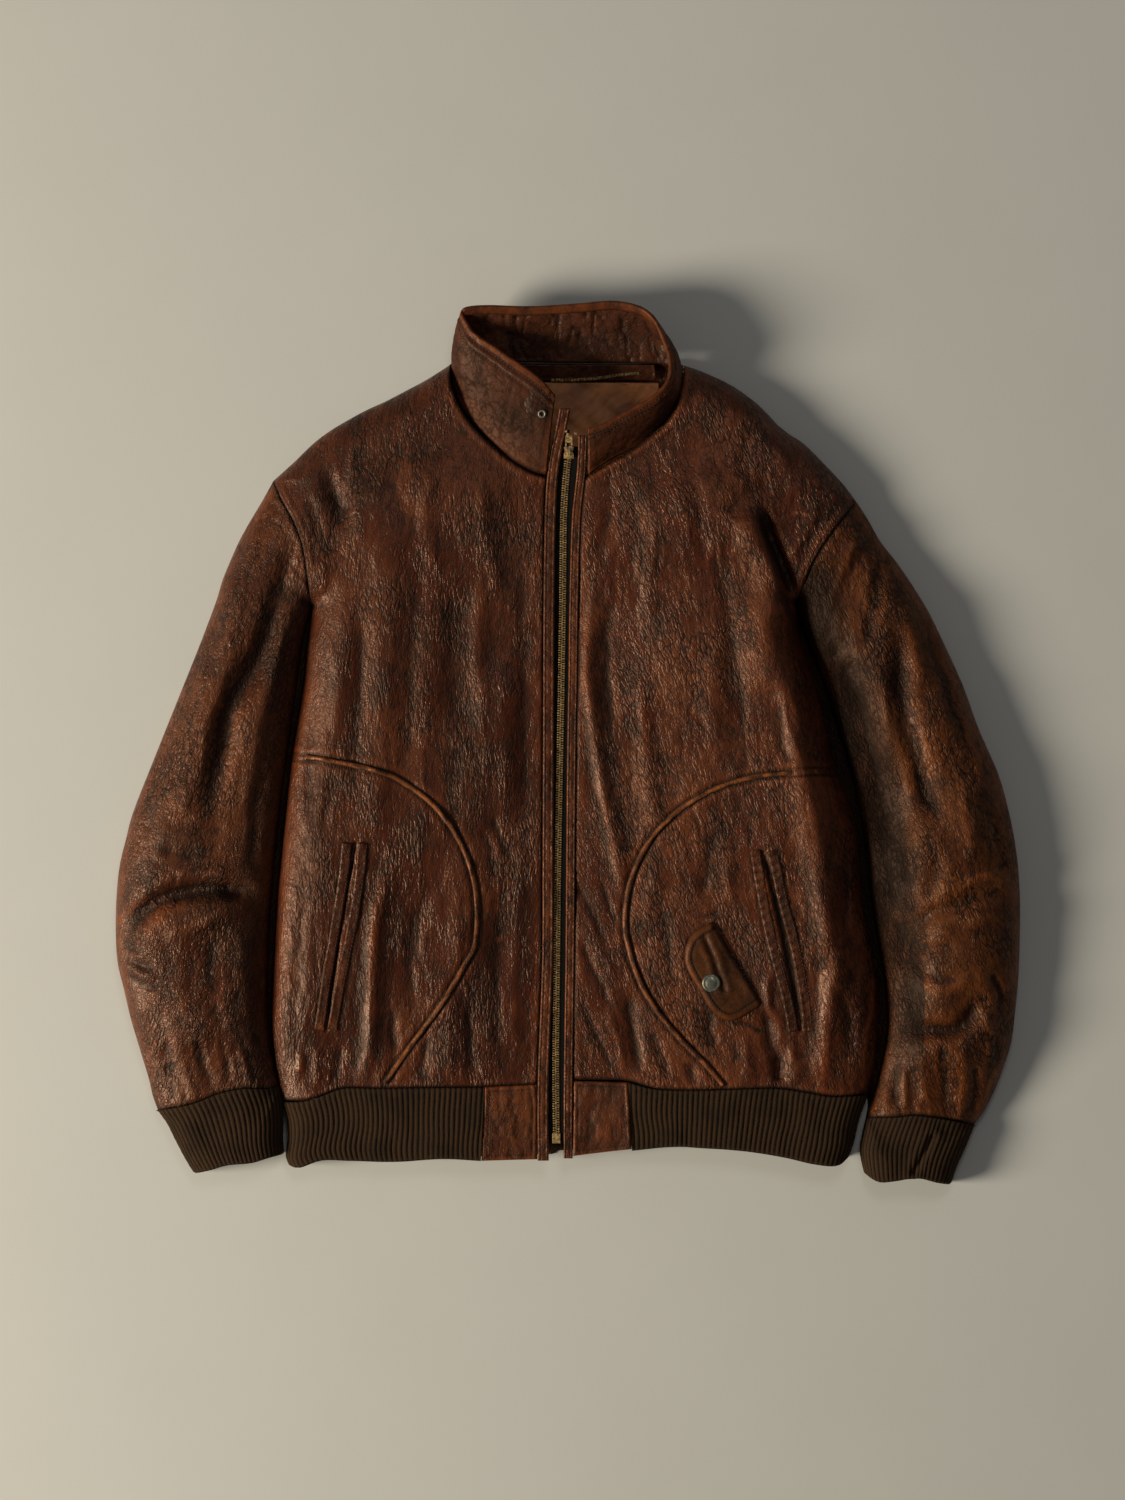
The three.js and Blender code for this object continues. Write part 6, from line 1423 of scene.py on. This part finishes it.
def lathe(name, profile, centre, normal=(0, 0, 1), segments=48):
    from mathutils import Vector
    q = Vector((0, 0, 1)).rotation_difference(Vector(normal))
    v, f = [], []
    m = len(profile)
    for k in range(segments):
        a = 2 * math.pi * k / segments
        for r, z in profile:
            w = q @ Vector((r * math.cos(a), r * math.sin(a), z))
            v.append((centre[0] + w.x, centre[1] + w.y, centre[2] + w.z))
    for k in range(segments):
        a, b = k * m, ((k + 1) % segments) * m
        f += [(a + j, b + j, b + j + 1, a + j + 1) for j in range(m - 1)]
    # close both poles
    v += [(centre[0] + (q @ Vector((0, 0, profile[0][1]))).x, centre[1] + (q @ Vector((0, 0, profile[0][1]))).y, centre[2] + (q @ Vector((0, 0, profile[0][1]))).z),
          (centre[0] + (q @ Vector((0, 0, profile[-1][1]))).x, centre[1] + (q @ Vector((0, 0, profile[-1][1]))).y, centre[2] + (q @ Vector((0, 0, profile[-1][1]))).z)]
    b0, b1 = len(v) - 2, len(v) - 1
    for k in range(segments):
        a, b = k * m, ((k + 1) % segments) * m
        f += [(b0, b, a), (b1, a + m - 1, b + m - 1)]
    return mesh_object(name, v, f)


# ---- build ----
SHEETS = {}
FR = piece(front("R"), M_FRONT, ["front_right"], sheet=(0.30, 0.66, "laid", dict(area=0.147, rests_on=["leather_back"])))
FL = piece(front("L"), M_FRONT_L, ["front_left"], sheet=(0.30, 0.66, "laid", dict(area=0.152, rests_on=["leather_back"])))
SR = piece(sleeve("R"), M_SLEEVE_R, ["sleeve_right"], sheet=(0.31, 0.59, "laid", dict(area=0.135, rests_on=["floor"])))
SL = piece(sleeve("L"), M_SLEEVE_L, ["sleeve_left"], sheet=(0.31, 0.59, "laid", dict(area=0.135, rests_on=["floor"])))
BK = piece(back_panel(), M_BACK, ["back"], sheet=(0.56, 0.68, "laid", dict(area=0.31, rests_on=["floor"])))
CR = piece(cuff("R"), M_KNIT, ["cuff_right"], sheet=(0.22, 0.070, "laid", {}))
CL = piece(cuff("L"), M_KNIT, ["cuff_left"], sheet=(0.22, 0.070, "laid", {}))
HM = piece(hem(), M_KNIT, ["hem_rib"], sheet=(0.90, 0.07, "laid", {}))

# leather tabs beside the zip, at the hem
EXT = {}


def tab(side):
    if side == "R":
        bl, br, tr, tl = [-75.3 + SEAM, -362.8], [float(at_x(L["PLACKET_R"], -361.0)) - STRIP_R - SEAM, -361.5], [float(at_x(L["PLACKET_R"], -296.5)) - STRIP_R - SEAM, -296.4], [-72.3 + SEAM, -298.4]
    else:
        bl, br, tr, tl = [float(at_x(L["PLACKET_L"], -358.0)) + STRIP_L + SEAM, -358.6], [56.1 - SEAM, -352.5], [53 - SEAM, -294.3], [float(at_x(L["PLACKET_L"], -293.0)) + STRIP_L + SEAM, -293.4]
    bl, br, tr, tl = (np.array(p, float) for p in (bl, br, tr, tl))
    U, V = np.meshgrid(0.5 - 0.5 * np.cos(np.pi * steps(46)), 0.5 - 0.5 * np.cos(np.pi * steps(52)))
    P = ((1 - U) * (1 - V))[..., None] * bl + (U * (1 - V))[..., None] * br + (U * V)[..., None] * tr + ((1 - U) * V)[..., None] * tl
    X, Y = P[..., 0], P[..., 1]
    w, h = np.linalg.norm(br - bl), np.linalg.norm(tl - bl)
    e = np.minimum(np.minimum(U, 1 - U) * w, np.minimum(V, 1 - V) * h)
    Z = top_z(X, Y, "F", False) + 0.8 - 2.0 * (1 - dome(np.clip(e / 2.2, 0, 1)))
    Z = Z + 0.9 * noise(X / 17, Y / 22, 601) + 0.45 * noise(X / 6, Y / 12, 603) + 0.35 * creased(X / 7, Y / 16, 605)
    wr = 1.0 * np.exp(-e / 1.6) * (0.6 + 0.4 * noise(X / 4, Y / 6, 607)) + 0.3 * np.clip(creased(X / 7, Y / 16, 605), 0, 1)
    dk = 0.75 * bell(e, 4.2, 0.8) + 0.35 * bell(e, 7.4, 0.7) + 0.45 * np.clip(noise(X / 20, Y / 22, 609), 0, 1)
    Z = Z - 0.45 * bell(e, 4.2, 0.9)
    return cloth("leather_hem_tab_" + ("right" if side == "R" else "left"), np.dstack([X, Y, Z]), 1.6, coarse=3,
                 attrs=dict(ridge=np.clip(noise(X / 6, Y / 12, 603), -1, 1) * .5, fold=0 * Z, wear_and_highlight=wr, dark=np.clip(dk, 0, 1)), outward=(0, 0, 1)), (bl, br, tr, tl)


TABR, QR = tab("R")
TABL, QL = tab("L")
piece(TABR, M_STRIP, ["hem_tab_right"], sheet=(0.055, 0.070, "laid", dict(rests_on=["zip_tape_cloth_right"])))
piece(TABL, M_STRIP, ["hem_tab_left"], sheet=(0.055, 0.065, "laid", dict(rests_on=["zip_tape_cloth_left"])))

STR, PSR = zip_strip("R")
STL, PSL = zip_strip("L")
piece(STR, M_STRIP, ["zip_strip_right"], sheet=(0.012, 0.66, "laid", dict(rests_on=["zip_tape_cloth_right"])))
piece(STL, M_STRIP, ["zip_strip_left"], sheet=(0.010, 0.635, "laid", dict(rests_on=["zip_tape_cloth_left"])))
piece(zip_tape("R"), M_TAPE, ["zip_tape_right"], sheet=(0.0125, 0.62, "laid", {}))
piece(zip_tape("L"), M_TAPE, ["zip_tape_left"], sheet=(0.0125, 0.605, "laid", {}))
piece(zip_teeth(), M_BRASS, ["zip_chain"])

# curved piping: a covered cord sewn into the seam
for side in "RL":
    line = L["PIPING_" + side]
    pts = line[3:]

    def shape(T, S, sd=(701 if side == "R" else 709)):
        r = 2.4 * np.sqrt(np.clip(1 - T * T, 0, 1)) - 0.3
        return r * (1 + 0.16 * noise(S / 5, T, sd)) + 0.25 * noise(S / 14, T * 0, sd + 1)

    def at_(T, S, X, Y, sd=(711 if side == "R" else 719)):
        n = noise(S / 6.5, T * 1.1, sd)
        return dict(ridge=0.3 * n, wear_and_highlight=np.clip(0.30 + 0.8 * n, 0, 1) * (1 - T * T), dark=np.clip(-n - 0.1, 0, .7) + 0.8 * np.abs(T) ** 6, fold=0 * T)
    ob, _ = ribbon("leather_piping_" + ("right" if side == "R" else "left"), pts, 2.5, lambda X, Y: top_z(X, Y, "F", False), shape, 1.2,
                   lift=0.15, cols=11, step=1.1, attrs_of=at_)
    piece(ob, M_PIPE, ["piping_right" if side == "R" else "piping_left"],
          sheet=(0.010, 0.455 if side == "R" else 0.43, "laid", dict(area=0.0031 if side == "R" else 0.0030, rests_on=[FR.name if side == "R" else FL.name])))


# welts: two lips along each pocket mouth, stitched down
def shifted(line, d0, d1, d2):
    p = np.array(line, float)
    f = np.linspace(0, 1, len(p))
    p[:, 0] += np.where(f < .5, d0 + (d1 - d0) * f * 2, d1 + (d2 - d1) * (f * 2 - 1))
    return p


WELTS = [("right_outer", shifted(POCKET_R, -7, -7.6, -6.5), 4.4, "R", 1), ("right_inner", shifted(POCKET_R, 7, 6.8, 4.6), 4.4, "R", -1),
         ("left_outer", shifted(POCKET_L, 7.5, 9.5, 7), 4.6, "L", -1), ("left_inner", shifted(POCKET_L, -7.5, -9.5, -5.8), 4.6, "L", 1)]
for wn, line, half, side, lip in WELTS:
    amp = 0.55 if side == "L" else 0.28

    def shape(T, S, amp=amp, lip=lip):
        e = 1 - np.abs(T)
        r = -1.1 * (1 - dome(np.clip(e * half / 1.6, 0, 1)))
        ladder = amp * np.sin(S * 2 * np.pi / 7.6 + 1.2 * noise(S / 15, 0 * S, 731)) * np.clip(1 - np.abs(T), 0, 1) ** 0.5
        return r + ladder + 0.5 * noise(T, S / 17, 733) + 0.9 + 0.25 * noise(T * 2, S / 3.1, 735)

    def at_(T, S, X, Y, amp=amp, lip=lip):
        lad = np.sin(S * 2 * np.pi / 7.6 + 1.2 * noise(S / 15, 0 * S, 731))
        # dark: the ladder puckers' troughs painted as shade, plus dark edges and a dark line along one side
        return dict(ridge=lad * amp, wear_and_highlight=0.6 * np.clip(1 - (1 - np.abs(T)) * 3.2, 0, 1) * (0.5 + 0.5 * noise(S / 5, T, 737)), dark=np.clip(0.7 * np.clip(-lad - 0.35, 0, 1) * amp * 1.6 + 0.8 * np.clip((np.abs(T) - .84) / .1, 0, 1) + 0.5 * bell(T * lip, -0.45, 0.10), 0, 1), fold=0 * T)
    ob, _ = ribbon("leather_welt_" + wn, line, half, lambda X, Y: top_z(X, Y, "F", False), shape, 1.0, lift=0.45, cols=17, step=1.2, attrs_of=at_)
    piece(ob, M_STRIP, ["welt_" + wn], sheet=(0.011, 0.165 if side == "R" else 0.161, "laid", dict(rests_on=[FR.name if side == "R" else FL.name])))

# coin flap
hinge = smooth([[125.7, -154], [148, -191], [169.2, -226.2]])
edge = L["FLAP_L"]
fu, fv = steps(58), np.sin(steps(54) * np.pi / 2)
FU, FV = np.meshgrid(fu, fv)
FP = (1 - FV[..., None]) * at(hinge, fu * .98 + .01)[None] + FV[..., None] * at(edge, fu * .98 + .01)[None]
FX, FY = FP[..., 0], FP[..., 1]
fe = np.minimum(dist(FX, FY, edge, 80), 40)
fh = dist(FX, FY, hinge, 80)


def flap_z(X, Y, e, h):
    base = blur(top_z(X, Y, "F", False), 3)
    puff = 3.4 * dome(np.clip(e / 5.0, 0, 1)) - 1.6 * np.exp(-((h / 2.2) ** 2))
    crease = -0.9 * np.exp(-((dist(X, Y, [(119, -168), (127, -186), (136, -214)], 30) / 2.2) ** 2)) + 0.9 * bell(dist(X, Y, [(119, -168), (127, -186), (136, -214)], 30), 5, 3)
    seam = -0.5 * np.exp(-(((e - 6.2) / 0.8) ** 2))
    return base + 0.3 + puff + crease * np.clip(e / 8, 0, 1) + seam + 0.7 * noise(X / 16, Y / 16, 741) + 0.2 * noise(X / 4, Y / 4, 743)


FZ = flap_z(FX, FY, fe, fh)
fwear = 0.8 * np.exp(-(((fe - 2.0) / 2.2) ** 2)) * (0.6 + 0.4 * noise(FX / 5, FY / 5, 745)) + 0.2 * np.clip(noise(FX / 12, FY / 12, 747), 0, 1)
fr_, ff_ = cavities(np.dstack([FX, FY, FZ]))
FLAP = cloth("leather_coin_flap", np.dstack([FX, FY, FZ]), 1.5, coarse=3, attrs=dict(ridge=fr_, fold=ff_ * .5, wear_and_highlight=fwear, dark=np.clip(0.95 * bell(fe, 6.2, 1.0) + .8 * bell(fh, 0, 2.0) + 0.35 * np.clip(noise(FX / 14, FY / 20, 749), 0, 1), 0, 1)), outward=(0, 0, 1))
piece(FLAP, M_TAN, ["coin_flap"], sheet=(0.088, 0.062, "laid", dict(area=0.0040, rests_on=[FL.name])))
sn = np.array([124.7, -207.5])
snz = float(FZ[np.hypot(FX - sn[0], FY - sn[1]) < 7].mean())
SNAP = lathe("snap_cap", [(7.5, -0.5), (7.9, 0.1), (7.9, 0.55), (7.3, 1.1), (6.5, 1.35), (5.9, 1.2), (5.4, 1.15), (4.6, 1.55), (3.0, 1.95), (1.4, 2.1), (0.02, 2.12)], (sn[0], sn[1], snz + 0.1))
piece(SNAP, M_SNAP, ["flap_snap"])

# collar: the band, its turned top edge, and the facing inside
CS = smooth(COLLAR, 1.0)                      # columns follow the stations in 3-D
CS = np.array(CS)


def collar_rows(ts, m):
    d = np.linalg.norm(np.diff((CS[:, :3] + CS[:, 3:]) / 2, axis=0), axis=1)
    s = np.concatenate([[0], np.cumsum(d)])
    k = np.linspace(0, s[-1], m)
    st = np.stack([np.interp(k, s, CS[:, j]) for j in range(6)], -1)
    b, t = st[:, :3], st[:, 3:]
    P = b[None] + (t - b)[None] * ts[:, None, None]
    e = np.gradient(P, axis=1)
    u = (t - b)[None] * np.ones((len(ts), 1, 1))
    n = -np.cross(e, u)
    n /= np.linalg.norm(n, axis=-1, keepdims=True)
    u = u / np.linalg.norm(u, axis=-1, keepdims=True)
    P = P + n * (4.0 * np.sin(np.pi * ts))[:, None, None]
    return P, n, u, k


ML = 330
ct = steps(44)
CP, CN, CU, CK = collar_rows(0.02 + 0.96 * ct, ML)
KK, TT = np.meshgrid(CK, ct)
height = np.linalg.norm(CS[:, 3:] - CS[:, :3], axis=1).mean()


def collar_fine(K, T):
    z = 0.8 * noise(K / 34, T * 2.0, 801) + 0.4 * noise(K / 15, T * 3.5, 803) + 0.20 * creased(K / 10, T * 5 + K / 40, 805) + 0.12 * creased(K / 5, T * 9, 807)
    z += -0.55 * bell((1 - T) * 66, 5.0, 0.8) - 0.55 * bell((1 - T) * 66, 11.0, 0.8) + 0.5 * bell((1 - T) * 66, 8, 2)
    z += -1.0 * bell(T * 66, 0, 1.6) + 0.7 * bell(T * 66, 4, 3)
    return z * np.clip(np.minimum(T, 1 - T) / 0.03, 0.2, 1)


cz = collar_fine(KK, TT)
CPf = CP + CN * cz[..., None]
# the top edge turns over and runs a little way down inside
last, ln, lu = CPf[-1], CN[-1], CU[-1]
cen = last - ln * 2.0
roll = [cen + ln * 2.0 * math.cos(a) + lu * 2.0 * math.sin(a) for a in np.linspace(0, math.pi, 9)[1:]]
down = [roll[-1] - lu * k for k in (1.6, 3.6, 6.0)]
CPf = np.concatenate([CPf, np.stack(roll + down)], 0)
ext = CPf.shape[0] - CP.shape[0]
cridge = np.vstack([np.clip(cz / 1.1, -1, 1), np.zeros((ext, ML))])
ends = np.minimum(KK, KK.max() - KK)
cw = 0.75 * bell((1 - TT) * 66, 1.0, 2.6) + 0.6 * bell(ends, 2.0, 2.6) + 0.22 * np.clip(noise(KK / 12, TT * 5, 811), 0, 1) + 0.35 * bell(TT * 66, 3.5, 2.5) * np.clip(noise(KK / 6, TT, 813) + .4, 0, 1)
cw = np.vstack([cw, 0.5 + 0.4 * noise(np.tile(CK / 7, (ext, 1)), np.zeros((ext, ML)), 815)])
cd = np.vstack([np.clip(0.9 * bell(TT * 66, 0, 2.4) + 0.7 * bell((1 - TT) * 66, 5.0, 0.9) + 0.7 * bell((1 - TT) * 66, 11.0, 0.9) + 0.5 * bell(ends, 6.5, 0.9) + 0.5 * np.clip(noise(KK / 40, TT * 2.4, 817) + .1, 0, 1), 0, 1), np.zeros((ext, ML))])
COL = cloth("leather_collar", CPf, 1.3, coarse=3, attrs=dict(ridge=cridge, fold=cridge * .3, wear_and_highlight=np.clip(cw, 0, 1.2), dark=np.clip(cd, 0, 1)), outward="collar")
piece(COL, M_COLLAR, ["collar"], sheet=(0.56, 0.064, "draped", dict(rests_on=[BK.name])))
# facing
ft = steps(36)
FPp, FN, FUu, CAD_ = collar_rows(0.02 + 0.93 * ft, ML)
K2, T2 = np.meshgrid(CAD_, ft)
fz = 1.6 * noise(K2 / 20, T2 * 2.2, 821) + 1.1 * creased(K2 / 10, T2 * 3 + K2 / 30, 823) + 0.35 * noise(K2 / 5, T2 * 9, 825)
fz *= np.clip(np.minimum(T2, 1 - T2) / 0.04, 0.2, 1)
FPp = FPp - FN * (2.6 + 0.0 * fz)[..., None] - FN * (fz * 0.8)[..., None]
FACE_ = cloth("leather_collar_facing", FPp, 1.1, coarse=3, attrs=dict(ridge=np.clip(fz, -1, 1), fold=fz * .4, wear_and_highlight=0.18 * np.clip(noise(K2 / 14, T2 * 4, 827), 0, 1) + 0.3 * bell((1 - T2) * 60, 2, 3) * np.clip(noise(K2 / 8, T2, 829) + .3, 0, 1), dark=0.7 * bell(T2 * 60, 0, 2.5)), outward="facing")
piece(FACE_, M_FACING, ["collar_facing"], sheet=(0.53, 0.054, "draped", dict(rests_on=[COL.name])))
# press-stud socket in the collar's front end
si = int(np.argmin(np.linalg.norm(CP[int(.7 * 43)] - (np.array(COLLAR[1][:3]) * .3 + np.array(COLLAR[1][3:]) * .7 + [0, 0, 3.2]), axis=1)))
sp, snn = CPf[int(.7 * 43), si], CN[int(.7 * 43), si]
SOCK = lathe("snap_socket", [(0.02, -0.4), (1.5, -0.4), (1.6, 0.3), (1.9, 1.2), (2.5, 1.6), (3.2, 1.5), (3.7, 0.9), (3.9, 0.2), (3.9, -0.6)], tuple(sp), tuple(snn))
piece(SOCK, M_SNAP, ["collar_snap"])

# lining and the band under the collar, with its own fine zip
lu_, lv_ = np.meshgrid(steps(120), steps(66))
bl, br, tr, tl = (np.array(p, float) for p in ((-70, 235), (88, 235), (80, 316), (-78, 316)))
LP = ((1 - lu_) * (1 - lv_))[..., None] * bl + (lu_ * (1 - lv_))[..., None] * br + (lu_ * lv_)[..., None] * tr + ((1 - lu_) * lv_)[..., None] * tl
LX, LY = LP[..., 0], LP[..., 1]
q_ = LX * math.cos(0.95) + LY * math.sin(0.95)
r_ = -LX * math.sin(0.95) + LY * math.cos(0.95)
LZ = 5.2 + 1.9 * noise(q_ / 13, r_ / 60, 841) + 0.9 * noise(q_ / 6, r_ / 34, 843) + 0.8 * np.abs(noise(q_ / 21, r_ / 70, 845))
LIN = cloth("satin_lining", np.dstack([LX, LY, LZ]), 1.0, coarse=3, attrs=dict(ridge=np.clip((LZ - 5.5) / 2, -1, 1)), outward=(0, 0, 1))
piece(LIN, M_SATIN, ["neck_lining"], sheet=(0.165, 0.085, "laid", dict(rests_on=[BK.name])))
bu, bv = np.meshgrid(steps(110), steps(16))
bl, br, tr, tl = (np.array(p, float) for p in ((-76, 318), (78, 318), (76, 331), (-74, 331)))
BP = ((1 - bu) * (1 - bv))[..., None] * bl + (bu * (1 - bv))[..., None] * br + (bu * bv)[..., None] * tr + ((1 - bu) * bv)[..., None] * tl
BX, BY = BP[..., 0], BP[..., 1]
BZ = 5.6 + (BY - 318) * .5 + 0.6 * noise(BX / 9, BY / 12, 851) + 0.35 * creased(BX / 6, BY / 9, 853)
BAND = cloth("leather_neck_band", np.dstack([BX, BY, BZ]), 1.3, coarse=3, attrs=dict(ridge=np.clip(BZ * 0, -1, 1), fold=0 * BZ, wear_and_highlight=0.1 + 0 * BZ, dark=0 * BZ), outward=(0, 0, 1))
piece(BAND, M_FACING, ["neck_band"], sheet=(0.155, 0.0145, "laid", dict(rests_on=[BK.name])))
lz = Bits()
zl_ = smooth([(-13.5, 330.6), (17, 331.4), (41.3, 334.5), (62.2, 336.7)], 2.0) - [0, 12.5]
for k in range(60):
    p = at(zl_, np.array([k / 59.0]))[0]
    zz = 5.9 + max(0.0, p[1] - 318) * .5
    lz.add(*block(p[0] - .34, p[0] + .34, p[1] - 1.3, p[1] + 1.3, zz - .4, zz + 1.3, .2))
piece(lz.make("liner_zip_teeth", True), M_BRASS, ())

# ---- stitches ----
ST, SD = Bits(), Bits()
for side in "RL":
    s = 1 if side == "R" else -1
    arm = L["ARMHOLE_" + side]
    for d in (3.3, 8.4):
        line = at(offset_line(arm, s * d), np.linspace(.03, .97, 120))
        stitches(ST, on_front(line, .12), 3.4)
    for P, cols in ((PSR if side == "R" else PSL, (5, 15)),):
        for c in cols:
            stitches(ST if side == "R" else ST, P[::2, c] + [0, 0, .1], 3.1, 1.9, .30)
for q in (QR, QL):
    bl, br, tr, tl = q
    for u in (0.08, 0.17):
        uu = u if q is QR else 1 - u
        line = np.linspace(bl + (br - bl) * uu + [0, 3], tl + (tr - tl) * uu - [0, 3], 60)
        stitches(ST, np.column_stack([line, top_z(line[None, :, 0], line[None, :, 1], "F", False)[0] + 1.0 + 0.9 * noise(line[:, 0] / 17, line[:, 1] / 22, 601) + 0.45 * noise(line[:, 0] / 6, line[:, 1] / 12, 603)]), 3.1, 1.9, .3)
for r in (40, 36):
    stitches(ST, CPf[r, 4:-4] + CN[r, 4:-4] * .12, 3.3)
for wn, line, half, side, lip in WELTS:
    ln2 = at(smooth(line, 2), np.linspace(0.03, .97, 90))
    for k in (-0.62, 0.62):
        o2 = offset_line(ln2, k * half)
        stitches(ST, on_front(o2, 1.1, "F") * [1, 1, 0] + np.column_stack([0 * o2[:, 0], 0 * o2[:, 0], top_z(o2[None, :, 0], o2[None, :, 1], "F", False)[0] + 1.5]), 3.2, 1.9, .28)
flap_in = at(edge, np.linspace(.04, .96, 100))
cen_ = np.array([140.0, -196.0])
flap_in = flap_in + (cen_ - flap_in) / np.linalg.norm(cen_ - flap_in, axis=1, keepdims=True) * 6.2
fidx = [int(np.argmin((FX - p[0]) ** 2 + (FY - p[1]) ** 2)) for p in flap_in]
stitches(SD, np.column_stack([flap_in, FZ.ravel()[fidx] + .15]), 3.2, 2.0, .30)
piece(ST.make("stitches"), M_THREAD, ())
piece(SD.make("stitches_flap"), M_THREAD_D, ())

# slider and pull keep their own bodies, in aged brass
for node in ("zip_slider", "zip_pull"):
    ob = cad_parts[node]
    ob = ob if hasattr(ob, "data") else bpy.data.objects[node]
    if ob.data.materials:
        for k in range(len(ob.data.materials)):
            ob.data.materials[k] = M_BRASS
    for sl in ob.material_slots:
        sl.material = M_BRASS

# ---- floor, camera and lights ----
me = bpy.data.meshes.new("floor")
me.from_pydata([(-6, -6, -0.0004), (6, -6, -0.0004), (6, 6, -0.0004), (-6, 6, -0.0004)], [], [(0, 1, 2, 3)])
floor = bpy.data.objects.new("floor", me)
bpy.context.scene.collection.objects.link(floor)
m, nt, b = material("floor")
net = Net(nt)
net.put(b.inputs["Base Color"], net.mix(net.noise(net.coords((120, 120, 120)), 1, 3, .6), (0.60, 0.57, 0.50), (0.64, 0.61, 0.54)))
b.inputs["Roughness"].default_value = 0.8
me.materials.append(m)

cam = bpy.data.cameras.new("camera")
cam.sensor_width = 36.0
cam.lens = 110.3
cam.clip_end = 50
cam_ob = bpy.data.objects.new("camera", cam)
cam_ob.location = (-0.00468, -0.00507, 4.025)
bpy.context.scene.collection.objects.link(cam_ob)
bpy.context.scene.camera = cam_ob


def area_light(name, loc, size, energy, colour, target=(0, 0, 0.02)):
    from mathutils import Vector
    ld = bpy.data.lights.new(name, "AREA")
    ld.shape = "DISK"
    ld.size = size
    ld.energy = energy
    ld.color = colour
    o = bpy.data.objects.new(name, ld)
    o.location = loc
    o.rotation_euler = (Vector(target) - Vector(loc)).to_track_quat("-Z", "Y").to_euler()
    bpy.context.scene.collection.objects.link(o)
    return o


area_light("key", (-3.4, -0.85, 1.85), 1.5, 190, (1.0, 0.95, 0.83))
area_light("top", (0.4, 1.5, 3.0), 1.0, 9, (0.90, 0.93, 1.0))
bpy.context.scene.view_settings.view_transform = "Standard"
w = bpy.data.worlds.new("world")
w.use_nodes = True
w.node_tree.nodes["Background"].inputs[0].default_value = (0.95, 0.97, 1.0, 1)
w.node_tree.nodes["Background"].inputs[1].default_value = 0.085
bpy.context.scene.world = w
